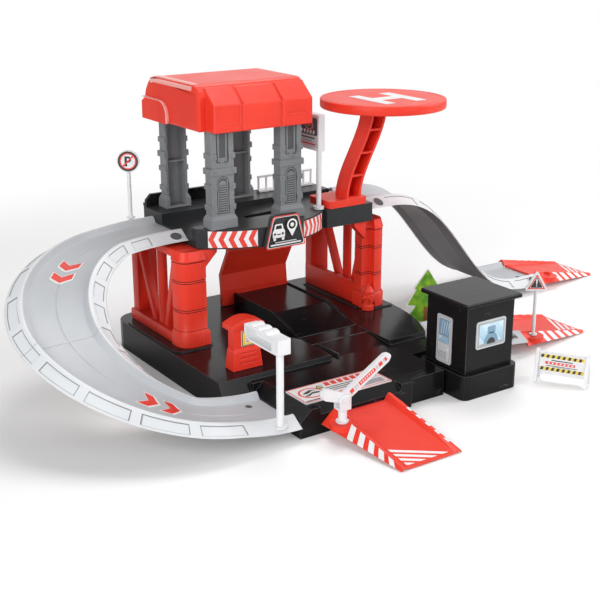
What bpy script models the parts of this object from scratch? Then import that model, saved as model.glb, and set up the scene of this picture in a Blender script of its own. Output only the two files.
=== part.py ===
"""Toy fire station: a two-storey play garage with a spiral track, a slide, ramps and a helipad.

Units are metres, Z is up. Every piece is drawn from the front left corner of the base and hangs on one
datum empty, which puts the middle of the base at the origin.
"""
import math

import bmesh
import bpy
from mathutils import Matrix, Vector

# Fits
FIT_GAP = 0.0003
PEG_CLEARANCE = 0.00025
PIN_CLEARANCE = 0.0002

# Middle of the base, from its front left corner
CENTRE_X = 0.088
CENTRE_Y = 0.120

# Base
BASE_WALL = 0.002
BASE_HEIGHT = 0.025
BASE_OVERHANG = 0.026
BASE_LEFT = -BASE_OVERHANG
BASE_RIGHT = 0.203
BASE_BACK = 0.262
BASE_FRONT = 0.074
BASE_CORNER_RADIUS = 0.018
SLANT_RUN = 0.008
SLANT_FOOT_HEIGHT = 0.010
TIER_HEIGHT = 0.0215
TIER_WIDTH = 0.146
TIER_STEP_X = 0.105
TIER_STEP_DEPTH = 0.004
LEAD_RUN = 0.010
LEAD_HEIGHT = 0.012
RAMP_LIP_RUN = 0.009
RAMP_LIP_HEIGHT = 0.015
TIER_LAP = 0.004
EXIT_FRONT_X = 0.160
EXIT_FRONT_Y = 0.046
EXIT_BACK_Y = 0.150
EXIT_BOW = 0.010
RIB_THICKNESS = 0.0016
RIB_PITCH = 0.060
RIB_LIFT = 0.0006
BOSS_RADIUS = 0.007
WALL_PAD_RISE = 0.0012
WALL_PAD_MARGIN = 0.003
PAD_LIP = 0.0004
EDGE_RADIUS = 0.0008

# Garage road
ROAD_LEFT = 0.080
ROAD_WIDTH = 0.061
ROAD_RISE = 0.010
ROAD_SLOPE_BACK_Y = 0.164
ROAD_SLOPE_FRONT_Y = 0.120
ROAD_END_Y = 0.228
ROAD_KERB_WIDTH = 0.0022
ROAD_KERB_HEIGHT = 0.0016
GULLY_FRONT_Y = 0.0755

# Side walls
WALL_HEIGHT = 0.0815
LEFT_WALL_SETBACK = 0.011
LEFT_WALL_X = BASE_LEFT + LEFT_WALL_SETBACK
RIGHT_WALL_X = 0.196
WALL_SPAN = 0.0233
WALL_THICKNESS = 0.012
WALL_FRONT_Y = 0.150
WALL_DEPTH = 0.100
WALL_REAR_LEAN = 0.010
WALL_BAND_HEIGHT = 0.011
WALL_INNER_BAND_HEIGHT = 0.020
WALL_TOP_BAND = 0.007
REAR_POST_WIDTH = 0.014
MID_POST_Y = 0.183
MID_POST_WIDTH = 0.009
BRACE_WIDTH = 0.008
BRACE_FOOT_RISE = 0.004
LEFT_COLUMN_WIDTH = 0.023
RIGHT_COLUMN_WIDTH = 0.013
COLUMN_DEPTH = 0.017
COLUMN_NOSE_RADIUS = 0.009
COLUMN_EDGE_RADIUS = 0.002
WINDOW_CORNER_RADIUS = 0.0015
COLLAR_HEIGHT = 0.011
COLLAR_FLARE = 0.002
CAPITAL_HEIGHT = 0.010
CAPITAL_FLARE = 0.003
GUSSET_REACH = 0.011
GUSSET_DROP = 0.012
COLUMN_GROOVE = 0.0005
COLUMN_GROOVE_PITCH = 0.024

# Garage back wall
BACK_WALL_LEFT = 0.068
BACK_WALL_WIDTH = 0.071
BACK_WALL_THICKNESS = 0.005
BACK_WALL_Y = 0.223
BACK_WALL_BULGE = 0.007
BACK_WALL_KNEE_LOW = 0.030
BACK_WALL_KNEE_HIGH = 0.055
BACK_WALL_TOP_SET = 0.008

# Upper deck
DECK_LEFT = 0.003
DECK_RIGHT = 0.178
DECK_BACK = 0.250
DECK_THICKNESS = 0.0165
DECK_WALL = 0.002
DECK_FRONT_Y = 0.149
DECK_BOW_RIGHT_X = 0.127
DECK_BOW_CENTRE_X = 0.067
DECK_BOW_CENTRE_Y = 0.217
DECK_BOW_RADIUS = 0.088
DECK_ROAD_FRONT_Y = 0.164
DECK_ROAD_WIDTH = 0.052
DECK_ROAD_DEPTH_LEFT = 0.009
DECK_ROAD_DEPTH_RIGHT = 0.0035
DECK_HATCH_X = 0.070
DECK_HATCH_Y = 0.178
DECK_HATCH_WIDTH = 0.030
DECK_HATCH_DEPTH = 0.016
PARAPET_HEIGHT = 0.011
PARAPET_THICKNESS = 0.003
PARAPET_WIDTH = 0.108
PARAPET_CHAMFER = 0.005
DECK_RIB_COLUMNS = 3
DECK_RIB_ROWS = 2

# Parking plate
PLATE_CENTRE_X = 0.0695
PLATE_BOTTOM_WIDTH = 0.040
PLATE_TOP_WIDTH = 0.026
PLATE_HEIGHT = 0.028
PLATE_THICKNESS = 0.0022
PLATE_DROP = 0.002
PLATE_CORNER_RADIUS = 0.003

# Deck railing
RAIL_LEFT = 0.114
RAIL_WIDTH = 0.060
RAIL_SET_BACK = 0.012
RAIL_HEIGHT = 0.015
RAIL_BAR = 0.0018
RAIL_POST_COUNT = 8

# Billboard
BILLBOARD_X = 0.1245
BILLBOARD_Y = 0.156
BILLBOARD_POST_RADIUS = 0.0022
BILLBOARD_FOOT_RADIUS = 0.0048
BILLBOARD_FOOT_HEIGHT = 0.0025
BILLBOARD_POST_HEIGHT = 0.0505
BILLBOARD_WIDTH = 0.052
BILLBOARD_HEIGHT = 0.031
BILLBOARD_THICKNESS = 0.0065
BILLBOARD_FRAME = 0.002
BILLBOARD_RECESS = 0.0008

# Tower columns
TOWER_FRONT_Y = 0.145
TOWER_BACK_SETBACK = 0.009
TOWER_BACK_Y = DECK_BACK - TOWER_BACK_SETBACK
TOWER_LEFT_X = 0.023
TOWER_RIGHT_X = 0.0885
TOWER_BACK_LEFT_X = 0.0265
TOWER_BACK_RIGHT_X = 0.091
SHAFT_WIDTH = 0.0205
SHAFT_DEPTH = 0.0105
SHAFT_WALL = 0.002
SHAFT_HEIGHT = 0.079
PLINTH_HEIGHT = 0.0105
PLINTH_FLARE = 0.002
BAND_FLARE = 0.001
BAND_HEIGHT = 0.0045
WIDE_BAND_HEIGHT = 0.005
WIDE_BAND_FLARE = 0.0016
BAND_LOW_Z = 0.015
BAND_MID_LOW_Z = 0.032
BAND_MID_Z = 0.0445
BAND_HIGH_Z = 0.057
PANEL_WIDTH = 0.0115
PANEL_DEPTH = 0.0007
PANEL_INSET = 0.0015

# Tower roof
ROOF_LEFT = 0.003
ROOF_WIDTH = 0.101
ROOF_FRONT_Y = 0.147
ROOF_BACK_SETBACK = 0.001
ROOF_DEPTH = TOWER_BACK_Y - ROOF_BACK_SETBACK - ROOF_FRONT_Y
ROOF_HEIGHT = 0.0365
ROOF_WALL = 0.0024
ROOF_FRONT_CHAMFER = 0.0075
ROOF_BACK_RADIUS = 0.022
ROOF_EDGE_RADIUS = 0.0022
AWNING_REACH = 0.012
AWNING_EDGE_RADIUS = 0.0007
AWNING_FOOT_DROP = 0.0125
AWNING_RIDGE_DROP = 0.0025
AWNING_RIDGE_DEPTH = 0.006
AWNING_ONE_X = 0.0105
AWNING_ONE_WIDTH = 0.025
AWNING_TWO_WIDTH = 0.035
AWNING_THREE_WIDTH = 0.0285
AWNING_STEP = 0.0022
AWNING_GROOVE = 0.0012
AWNING_PANEL_INSET = 0.003
AWNING_PANEL_DEPTH = 0.0007
LOBE_DEPTH = 0.043
LOBE_HEIGHT = 0.0185
LOBE_RISE = 0.0025
LOBE_RADIUS = 0.012

# Helipad
PILLAR_FOOT_X = 0.158
PILLAR_SHIFT = 0.027
PILLAR_WIDTH = 0.0155
PILLAR_FRONT_Y = 0.150
PILLAR_DEPTH = 0.017
PILLAR_WALL = 0.002
PILLAR_HEIGHT = 0.077
PILLAR_RIB_COUNT = 3
PILLAR_STATIONS = 14
FLANGE_LEFT = 0.1305
FLANGE_WIDTH = 0.041
FLANGE_DEPTH = 0.032
FLANGE_HEIGHT = 0.0065
FLANGE_RADIUS = 0.003
DISC_RADIUS = 0.055
DISC_THICKNESS = 0.008
DISC_WALL = 0.0022
DISC_X = 0.188
DISC_Y = 0.1500
DISC_EDGE_RADIUS = 0.0012
DISC_HUB_RADIUS = 0.0125

# Track section
TRACK_RIDGE_HALF = 0.0254
TRACK_SKIRT_HALF = 0.0382
TRACK_KERB_RISE = 0.005
TRACK_SKIRT_DROP = 0.0073
TRACK_WALL = 0.002
TRACK_CROWN = 0.0022
TRACK_KERB_RUN = 0.0035
SOCKET_RADIUS = 0.0048
SOCKET_DEPTH = 0.0022
FLOOR_HOLE_RADIUS = 0.0030
KERB_PANEL_LENGTH = 0.034
KERB_PANEL_PITCH = 0.0425
KERB_PANEL_DEPTH = 0.0005
KERB_PANEL_HEAD = 0.0025
KERB_PANEL_FOOT = 0.0025

# Left spiral track
SPIRAL_TOP_Y = 0.2067
SPIRAL_END_Y = 0.0350
SPIRAL_TURN_RUN = 0.0527
SPIRAL_REACH = 0.0758
SPIRAL_POWER = 1.85
SPIRAL_FALL_BLEND = 1.03
SPIRAL_FALL_POWER = 1.137
SPIRAL_STATIONS = 38
SPIRAL_SPLIT = 0.52
SPIRAL_TOP_DROP = 0.001
SPIRAL_FIRST_PANEL = 0.052

# Right slide
SLIDE_CENTRE_Y = 0.1875
SLIDE_LENGTH = 0.226
SLIDE_FLAT = 0.020
SLIDE_FALL = 0.183
SLIDE_END_FLOOR = 0.0109
SLIDE_STATIONS = 22
SLIDE_FIRST_PANEL = 0.020
SLIDE_SKIRT_FLARE = 0.001

# Side connector and ramps
CONNECTOR_CENTRE_Y = 0.068
CONNECTOR_END_X = 0.262
CONNECTOR_END_FLOOR = 0.0135
CONNECTOR_START_DROP = 0.0015
RAMP_LENGTH = 0.082
RAMP_TIP_HALF = 0.0278
RAMP_TIP_FLOOR = 0.0016
RAMP_TIP_KERB = 0.0009
RAMP_START_FLOOR = 0.0130
RAMP_TAB_RADIUS = 0.0095
RAMP_TAB_SIDE = 0.0290
RAMP_TAB_ALONG = 0.0140
RAMP_TAB_TOP = 0.0125
RAMP_FOOT_HEIGHT = 0.0075
FRONT_RAMP_X = 0.0565

# Booth
BOOTH_LEFT = 0.149
BOOTH_OVERHANG = 0.012
BOOTH_FRONT = -BOOTH_OVERHANG
BOOTH_WIDTH = 0.050
BOOTH_DEPTH = 0.048
BOOTH_HEIGHT = 0.0555
BOOTH_PLINTH_MARGIN = 0.0045
BOOTH_PLINTH_RADIUS = 0.006
BOOTH_PLINTH_HEIGHT = 0.0205
BOOTH_ROOF_MARGIN = 0.0045
BOOTH_ROOF_HEIGHT = 0.0038
BOOTH_ROOF_EDGE = 0.0014
BOOTH_WALL = 0.002
DOOR_WIDTH = 0.0175
DOOR_HEIGHT = 0.040
DOOR_FROM_FRONT = 0.017
DOOR_FOOT = 0.0025
WINDOW_WIDTH = 0.031
WINDOW_HEIGHT = 0.023
WINDOW_FROM_LEFT = 0.010
WINDOW_FOOT = 0.019
PANEL_THICKNESS = 0.0009
PANEL_RADIUS = 0.002
PANEL_SEAT = 0.0005

# Notice plate on the front tier
NOTICE_LEFT = 0.006
NOTICE_FRONT = 0.011
NOTICE_WIDTH = 0.068
NOTICE_DEPTH = 0.026
NOTICE_THICKNESS = 0.0009

# Pump kiosk
KIOSK_SETBACK = 0.0207
KIOSK_FRONT = 0.0860
KIOSK_WIDTH = 0.0270
KIOSK_DEPTH = 0.013
KIOSK_HEIGHT = 0.042
KIOSK_FOOT_HEIGHT = 0.018
KIOSK_WAIST_INSET = 0.002
KIOSK_ARCH_RISE = 0.0045
KIOSK_EAVE = 0.0025
KIOSK_LOUVRES = 3
KIOSK_LOUVRE_HEIGHT = 0.0014
KIOSK_LOUVRE_PITCH = 0.004
KIOSK_LOUVRE_FOOT = 0.0045
KIOSK_LOUVRE_DEPTH = 0.0015
KIOSK_LOUVRE_LEFT = 0.0064
KIOSK_LOUVRE_RIGHT = 0.0048
KIOSK_LABEL_WIDTH = 0.013
KIOSK_LABEL_HEIGHT = 0.013
NOZZLE_RADIUS = 0.0014

# Fire hydrant
HYDRANT_X = 0.1743
HYDRANT_Y = 0.1480
HYDRANT_RADIUS = 0.0052
HYDRANT_HEIGHT = 0.024
HYDRANT_CAP_RADIUS = 0.0026

# Tree
TREE_FROM_BASE = 0.0265
TREE_Y = 0.130
TREE_HEIGHT = 0.058
TREE_WIDTH = 0.036
TREE_THICKNESS = 0.002
TREE_TURN = math.radians(-34.0)
TREE_TIERS = 3
TREE_DROOP = 0.0016

# Barrier
BARRIER_FOOT_RADIUS = 0.0050
BARRIER_FOOT_HEIGHT = 0.0014
BARRIER_POST_RADIUS = 0.0033
BARRIER_POST_HEIGHT = 0.0120
FORK_WIDTH = 0.0095
FORK_DEPTH = 0.0085
FORK_HEIGHT = 0.0100
FORK_FLOOR = 0.0016
PIVOT_RISE = 0.0070
BARRIER_PIN_RADIUS = 0.0014
ARM_LENGTH = 0.049
ARM_HEIGHT = 0.0072
ARM_THICKNESS = 0.0040
ARM_STUB_LENGTH = 0.020
ARM_STUB_HEIGHT = 0.0090
ARM_STUB_TILT = math.radians(22.0)
ARM_REST = math.radians(31.0)
ARM_RECESS = 0.0007
PEG_RADIUS = 0.0021
PEG_LENGTH = 0.0032

# Street lamp
LAMP_ALONG = 0.0158
LAMP_FROM_RIDGE = 0.0067
LAMP_PAD_RISE = 0.0006
LAMP_POST_RADIUS = 0.0028
LAMP_FOOT_RADIUS = 0.0052
LAMP_FOOT_HEIGHT = 0.0015
LAMP_POST_HEIGHT = 0.0576
LAMP_HEAD_LENGTH = 0.0394
LAMP_HEAD_BACK = 0.0057
LAMP_HEAD_HEIGHT = 0.0118
LAMP_HEAD_WIDTH = 0.0109
LAMP_HEAD_WALL = 0.0015
LAMP_SCALLOPS = 3
LAMP_TURN = math.radians(90.0)

# Signs
SIGN_POST_RADIUS = 0.00165
SIGN_FOOT_RADIUS = 0.0036
SIGN_FOOT_HEIGHT = 0.0012
NO_PARKING_POST_HEIGHT = 0.0395
NO_PARKING_RADIUS = 0.0095
SIGN_PLATE_THICKNESS = 0.0022
WARNING_POST_HEIGHT = 0.0410
WARNING_SIDE = 0.0215
SIGN_CORNER_RADIUS = 0.0015
SIGN_TURN = math.radians(-34.0)

# Barricade
BARRICADE_X = 0.2395
BARRICADE_FORWARD = 0.031
BARRICADE_TURN = math.radians(-58.0)
BARRICADE_WIDTH = 0.038
BARRICADE_BOARD_HEIGHT = 0.0165
BARRICADE_FOOT_RISE = 0.0085
BARRICADE_LEG_WIDTH = 0.0028
BARRICADE_SPREAD = 0.017
BARRICADE_HEIGHT = 0.0270

# Levels that stack from the base up
BASE_TOP = BASE_HEIGHT + WALL_PAD_RISE
WALL_FOOT = BASE_TOP + FIT_GAP
WALL_TOP = WALL_FOOT + WALL_HEIGHT
DECK_BOTTOM = WALL_TOP + FIT_GAP
DECK_TOP = DECK_BOTTOM + DECK_THICKNESS
TOWER_FOOT = DECK_TOP + FIT_GAP
TOWER_TOP = TOWER_FOOT + SHAFT_HEIGHT
ROOF_FOOT = TOWER_TOP + FIT_GAP
ROOF_TOP = ROOF_FOOT + ROOF_HEIGHT

# Plastic colours: linear red, green and blue, then roughness
PLASTICS = {
    "red": ((0.76, 0.045, 0.025), 0.32),
    "black": ((0.012, 0.012, 0.014), 0.18),
    "deck_grey": ((0.032, 0.036, 0.040), 0.35),
    "column_grey": ((0.22, 0.23, 0.24), 0.42),
    "track_grey": ((0.53, 0.56, 0.58), 0.38),
    "white": ((0.84, 0.85, 0.86), 0.35),
    "print_black": ((0.02, 0.02, 0.02), 0.30),
    "print_white": ((0.85, 0.85, 0.85), 0.30),
    "print_blue": ((0.42, 0.62, 0.78), 0.20),
    "tree_green": ((0.10, 0.36, 0.04), 0.40),
}
BOOLEAN_REACH = 0.001
SMOOTH_ANGLE = math.radians(35.0)
BEVEL_ANGLE = math.radians(40.0)


def plastic(name):
    """Material of one moulded or printed plastic."""
    if name in bpy.data.materials:
        return bpy.data.materials[name]
    colour, roughness = PLASTICS[name]
    material = bpy.data.materials.new(name)
    material.use_nodes = True
    shader = material.node_tree.nodes["Principled BSDF"]
    shader.inputs["Base Color"].default_value = (*colour, 1.0)
    shader.inputs["Roughness"].default_value = roughness
    shader.inputs["Metallic"].default_value = 0.0
    material.diffuse_color = (*colour, 1.0)
    return material


def collection(name):
    """Collection under the scene, made on first use."""
    if name in bpy.data.collections:
        return bpy.data.collections[name]
    found = bpy.data.collections.new(name)
    bpy.context.scene.collection.children.link(found)
    return found


def workpiece(mesh):
    """Loose object that a piece is made from."""
    obj = bpy.data.objects.new("workpiece", mesh)
    collection("workpieces").objects.link(obj)
    return obj


def from_bmesh(bm):
    """Workpiece of a finished bmesh."""
    bmesh.ops.recalc_face_normals(bm, faces=bm.faces)
    mesh = bpy.data.meshes.new("workpiece")
    bm.to_mesh(mesh)
    bm.free()
    return workpiece(mesh)


def box(x, y, z):
    """Block between three pairs of limits."""
    size = Matrix.Diagonal((x[1] - x[0], y[1] - y[0], z[1] - z[0], 1.0))
    middle = Matrix.Translation(((x[0] + x[1]) / 2, (y[0] + y[1]) / 2, (z[0] + z[1]) / 2))
    bm = bmesh.new()
    bmesh.ops.create_cube(bm, size=1.0, matrix=middle @ size)
    return from_bmesh(bm)


AXIS_TURN = {
    "X": Matrix(((0, 0, 1, 0), (1, 0, 0, 0), (0, 1, 0, 0), (0, 0, 0, 1))),
    "Y": Matrix(((1, 0, 0, 0), (0, 0, -1, 0), (0, 1, 0, 0), (0, 0, 0, 1))),
    "Z": Matrix.Identity(4),
}


def prism(outline, start, end, axis="Z", holes=()):
    """Flat outline pushed along an axis: (x, y) for Z, (y, z) for X and (x, z) for Y."""
    curve = bpy.data.curves.new("outline", "CURVE")
    curve.dimensions = "2D"
    curve.fill_mode = "BOTH"
    curve.extrude = (end - start) / 2
    for loop in (outline, *holes):
        spline = curve.splines.new("POLY")
        spline.points.add(len(loop) - 1)
        for point, (u, v) in zip(spline.points, loop):
            point.co = (u, v, 0.0, 1.0)
        spline.use_cyclic_u = True
    drawn = bpy.data.objects.new("outline", curve)
    collection("workpieces").objects.link(drawn)
    seen = drawn.evaluated_get(bpy.context.evaluated_depsgraph_get())
    mesh = bpy.data.meshes.new_from_object(seen)
    bpy.data.objects.remove(drawn)
    middle = (start + end) / 2
    if axis == "Y":
        middle = -middle
    mesh.transform(AXIS_TURN[axis] @ Matrix.Translation((0.0, 0.0, middle)))
    bm = bmesh.new()
    bm.from_mesh(mesh)
    bmesh.ops.remove_doubles(bm, verts=bm.verts, dist=1e-6)
    bpy.data.meshes.remove(mesh)
    return from_bmesh(bm)


def rod(centre, radius, start, end, axis="Z", sides=20, end_radius=None):
    """Round bar or cone along an axis, its centre given on the two other axes."""
    bm = bmesh.new()
    top = radius if end_radius is None else end_radius
    bmesh.ops.create_cone(bm, cap_ends=True, segments=sides, radius1=radius, radius2=top, depth=end - start)
    lift = Matrix.Translation((0.0, 0.0, (start + end) / 2))
    if axis == "Y":
        lift = Matrix.Translation((0.0, 0.0, -(start + end) / 2))
        bmesh.ops.scale(bm, vec=(1.0, 1.0, -1.0), verts=bm.verts)
    place = {"X": (0.0, *centre), "Y": (centre[0], 0.0, centre[1]), "Z": (*centre, 0.0)}[axis]
    bmesh.ops.transform(bm, matrix=Matrix.Translation(place) @ AXIS_TURN[axis] @ lift, verts=bm.verts)
    return from_bmesh(bm)


def turned(profile, steps=32):
    """Round body from a profile of (radius, height) that runs down its outer side, from axis to axis."""
    mesh = bpy.data.meshes.new("profile")
    points = [(radius, 0.0, height) for radius, height in profile]
    mesh.from_pydata(points, [(i, i + 1) for i in range(len(points) - 1)], [])
    obj = workpiece(mesh)
    screw = obj.modifiers.new("turn", "SCREW")
    screw.steps = steps
    screw.render_steps = steps
    screw.use_merge_vertices = True
    screw.merge_threshold = 0.00001
    screw.use_normal_calculate = True
    return applied(obj)


def loft(sections):
    """Closed body through rings that all have as many corners."""
    bm = bmesh.new()
    rings = [[bm.verts.new(point) for point in ring] for ring in sections]
    count = len(rings[0])
    for near, far in zip(rings, rings[1:]):
        for i in range(count):
            j = (i + 1) % count
            bm.faces.new((near[i], near[j], far[j], far[i]))
    bm.faces.new(rings[0])
    bm.faces.new(rings[-1])
    return from_bmesh(bm)


def applied(obj):
    """The same object with its modifiers worked into the mesh."""
    seen = obj.evaluated_get(bpy.context.evaluated_depsgraph_get())
    mesh = bpy.data.meshes.new_from_object(seen)
    obj.modifiers.clear()
    obj.data = mesh
    return obj


def combined(target, operation, tools):
    """Target with each tool joined, cut or kept in common, the tools used up."""
    for tool in tools:
        step = target.modifiers.new(operation.lower(), "BOOLEAN")
        step.operation = operation
        step.solver = "EXACT"
        step.object = tool
    applied(target)
    for tool in tools:
        bpy.data.objects.remove(tool)
    return target


def fuse(target, *tools):
    """Tools joined to the target."""
    return combined(target, "UNION", tools)


def cut(target, *tools):
    """Tools taken out of the target."""
    return combined(target, "DIFFERENCE", tools)


def common(target, *tools):
    """What the target shares with the tools."""
    return combined(target, "INTERSECT", tools)


def softened(obj, width, segments=1):
    """Workpiece with its sharp edges rounded or chamfered."""
    bevel = obj.modifiers.new("soft edges", "BEVEL")
    bevel.width = width
    bevel.segments = segments
    bevel.limit_method = "ANGLE"
    bevel.angle_limit = BEVEL_ANGLE
    return applied(obj)


def moved(obj, turn=0.0, to=(0.0, 0.0, 0.0)):
    """Workpiece turned about Z and then shifted."""
    obj.data.transform(Matrix.Translation(to) @ Matrix.Rotation(turn, 4, "Z"))
    return obj


def mirrored(obj, middle_x):
    """Workpiece mirrored across the plane X = middle_x."""
    flip = Matrix.Translation((2 * middle_x, 0.0, 0.0)) @ Matrix.Diagonal((-1.0, 1.0, 1.0, 1.0))
    obj.data.transform(flip)
    obj.data.flip_normals()
    return obj


def piece(name, obj, material, edge=0.0, segments=2, at=(0.0, 0.0, 0.0), turn=0.0):
    """Names a workpiece, gives it its material, edges and place, and moves it to the station's collection."""
    obj.name = name
    obj.data.name = name
    obj.data.materials.clear()
    obj.data.materials.append(plastic(material))
    obj.data.shade_smooth()
    obj.data.set_sharp_from_angle(angle=SMOOTH_ANGLE)
    if edge > 0.0:
        bevel = obj.modifiers.new("edges", "BEVEL")
        bevel.width = edge
        bevel.segments = segments
        bevel.limit_method = "ANGLE"
        bevel.angle_limit = BEVEL_ANGLE
        bevel.use_clamp_overlap = True
    collection("workpieces").objects.unlink(obj)
    collection("toy_fire_station").objects.link(obj)
    obj.location = at
    obj.rotation_euler = (0.0, 0.0, turn)
    obj.parent = bpy.data.objects["station_datum"]
    return obj


def rounded(corners, radii, steps=4):
    """Outline with its corners rounded: one radius for each corner, in order."""
    count = len(corners)
    outline = []
    for i, corner in enumerate(corners):
        here = Vector(corner)
        back = (Vector(corners[i - 1]) - here)
        ahead = (Vector(corners[(i + 1) % count]) - here)
        radius = radii[i] if isinstance(radii, (list, tuple)) else radii
        if radius <= 0.0:
            outline.append(tuple(here))
            continue
        opening = back.angle(ahead)
        run = radius / math.tan(opening / 2)
        start = here + back.normalized() * run
        finish = here + ahead.normalized() * run
        towards = (back.normalized() + ahead.normalized()).normalized()
        middle = here + towards * (radius / math.sin(opening / 2))
        first = start - middle
        last = finish - middle
        sweep = first.angle_signed(last)
        for step in range(steps + 1):
            arm = first.copy()
            arm.rotate(Matrix.Rotation(-sweep * step / steps, 2))
            outline.append(tuple(middle + arm))
    return outline


def rectangle(x, y, radius=0.0, steps=4):
    """Rectangle outline with round corners."""
    corners = [(x[0], y[0]), (x[1], y[0]), (x[1], y[1]), (x[0], y[1])]
    return rounded(corners, radius, steps) if radius > 0.0 else corners


def inset(outline, distance):
    """Outline of a counter-clockwise polygon moved inwards by a distance."""
    count = len(outline)
    moved_in = []
    for i in range(count):
        before = Vector(outline[i]) - Vector(outline[i - 1])
        after = Vector(outline[(i + 1) % count]) - Vector(outline[i])
        left_before = Vector((-before.y, before.x)).normalized()
        left_after = Vector((-after.y, after.x)).normalized()
        middle = (left_before + left_after).normalized()
        stretch = distance / max(0.3, middle.dot(left_before))
        moved_in.append(tuple(Vector(outline[i]) + middle * stretch))
    return moved_in


def smooth_step(value):
    """Ease from 0 to 1 with level ends."""
    held = min(1.0, max(0.0, value))
    return held * held * (3.0 - 2.0 * held)


# Base

def exit_edge(steps=8):
    """Bowed right edge of the base, from the booth to the back, where the connector docks."""
    start = Vector((EXIT_FRONT_X, EXIT_FRONT_Y))
    finish = Vector((BASE_RIGHT, EXIT_BACK_Y))
    along = finish - start
    out = Vector((along.y, -along.x)).normalized()
    points = []
    for i in range(steps + 1):
        share = i / steps
        bow = 4.0 * EXIT_BOW * share * (1.0 - share)
        points.append(tuple(start + along * share + out * bow))
    return points


def exit_edge_x(y):
    """Where the bowed edge lies at a depth y."""
    points = exit_edge(40)
    for (x_a, y_a), (x_b, y_b) in zip(points, points[1:]):
        if y_a <= y <= y_b:
            return x_a + (x_b - x_a) * (y - y_a) / (y_b - y_a)
    return EXIT_FRONT_X if y < EXIT_FRONT_Y else BASE_RIGHT


def base_outline():
    """Plan of the deck part of the base."""
    foot_front = BASE_FRONT - SLANT_RUN
    edge = [point for point in exit_edge() if point[1] > foot_front + BASE_WALL]
    start = [(BASE_LEFT, foot_front), (exit_edge_x(foot_front), foot_front)]
    corners = [(BASE_RIGHT, BASE_BACK), (BASE_LEFT, BASE_BACK)]
    plain = start + edge + corners
    radii = [0.0] * (len(plain) - 2) + [BASE_CORNER_RADIUS, BASE_CORNER_RADIUS]
    return rounded(plain, radii)


def tier_outline():
    """Plan of the low front tier."""
    back = BASE_FRONT + TIER_LAP
    edge = [point for point in exit_edge() if point[1] < back - BASE_WALL]
    return [
        (0.0, 0.0), (TIER_STEP_X, 0.0), (TIER_STEP_X + TIER_STEP_DEPTH, TIER_STEP_DEPTH),
        (
            TIER_WIDTH - BOOTH_PLINTH_MARGIN, TIER_STEP_DEPTH,
        ), (TIER_WIDTH - BOOTH_PLINTH_MARGIN, EXIT_FRONT_Y),
        *edge, (exit_edge_x(back), back), (0.0, back),
    ]


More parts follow.
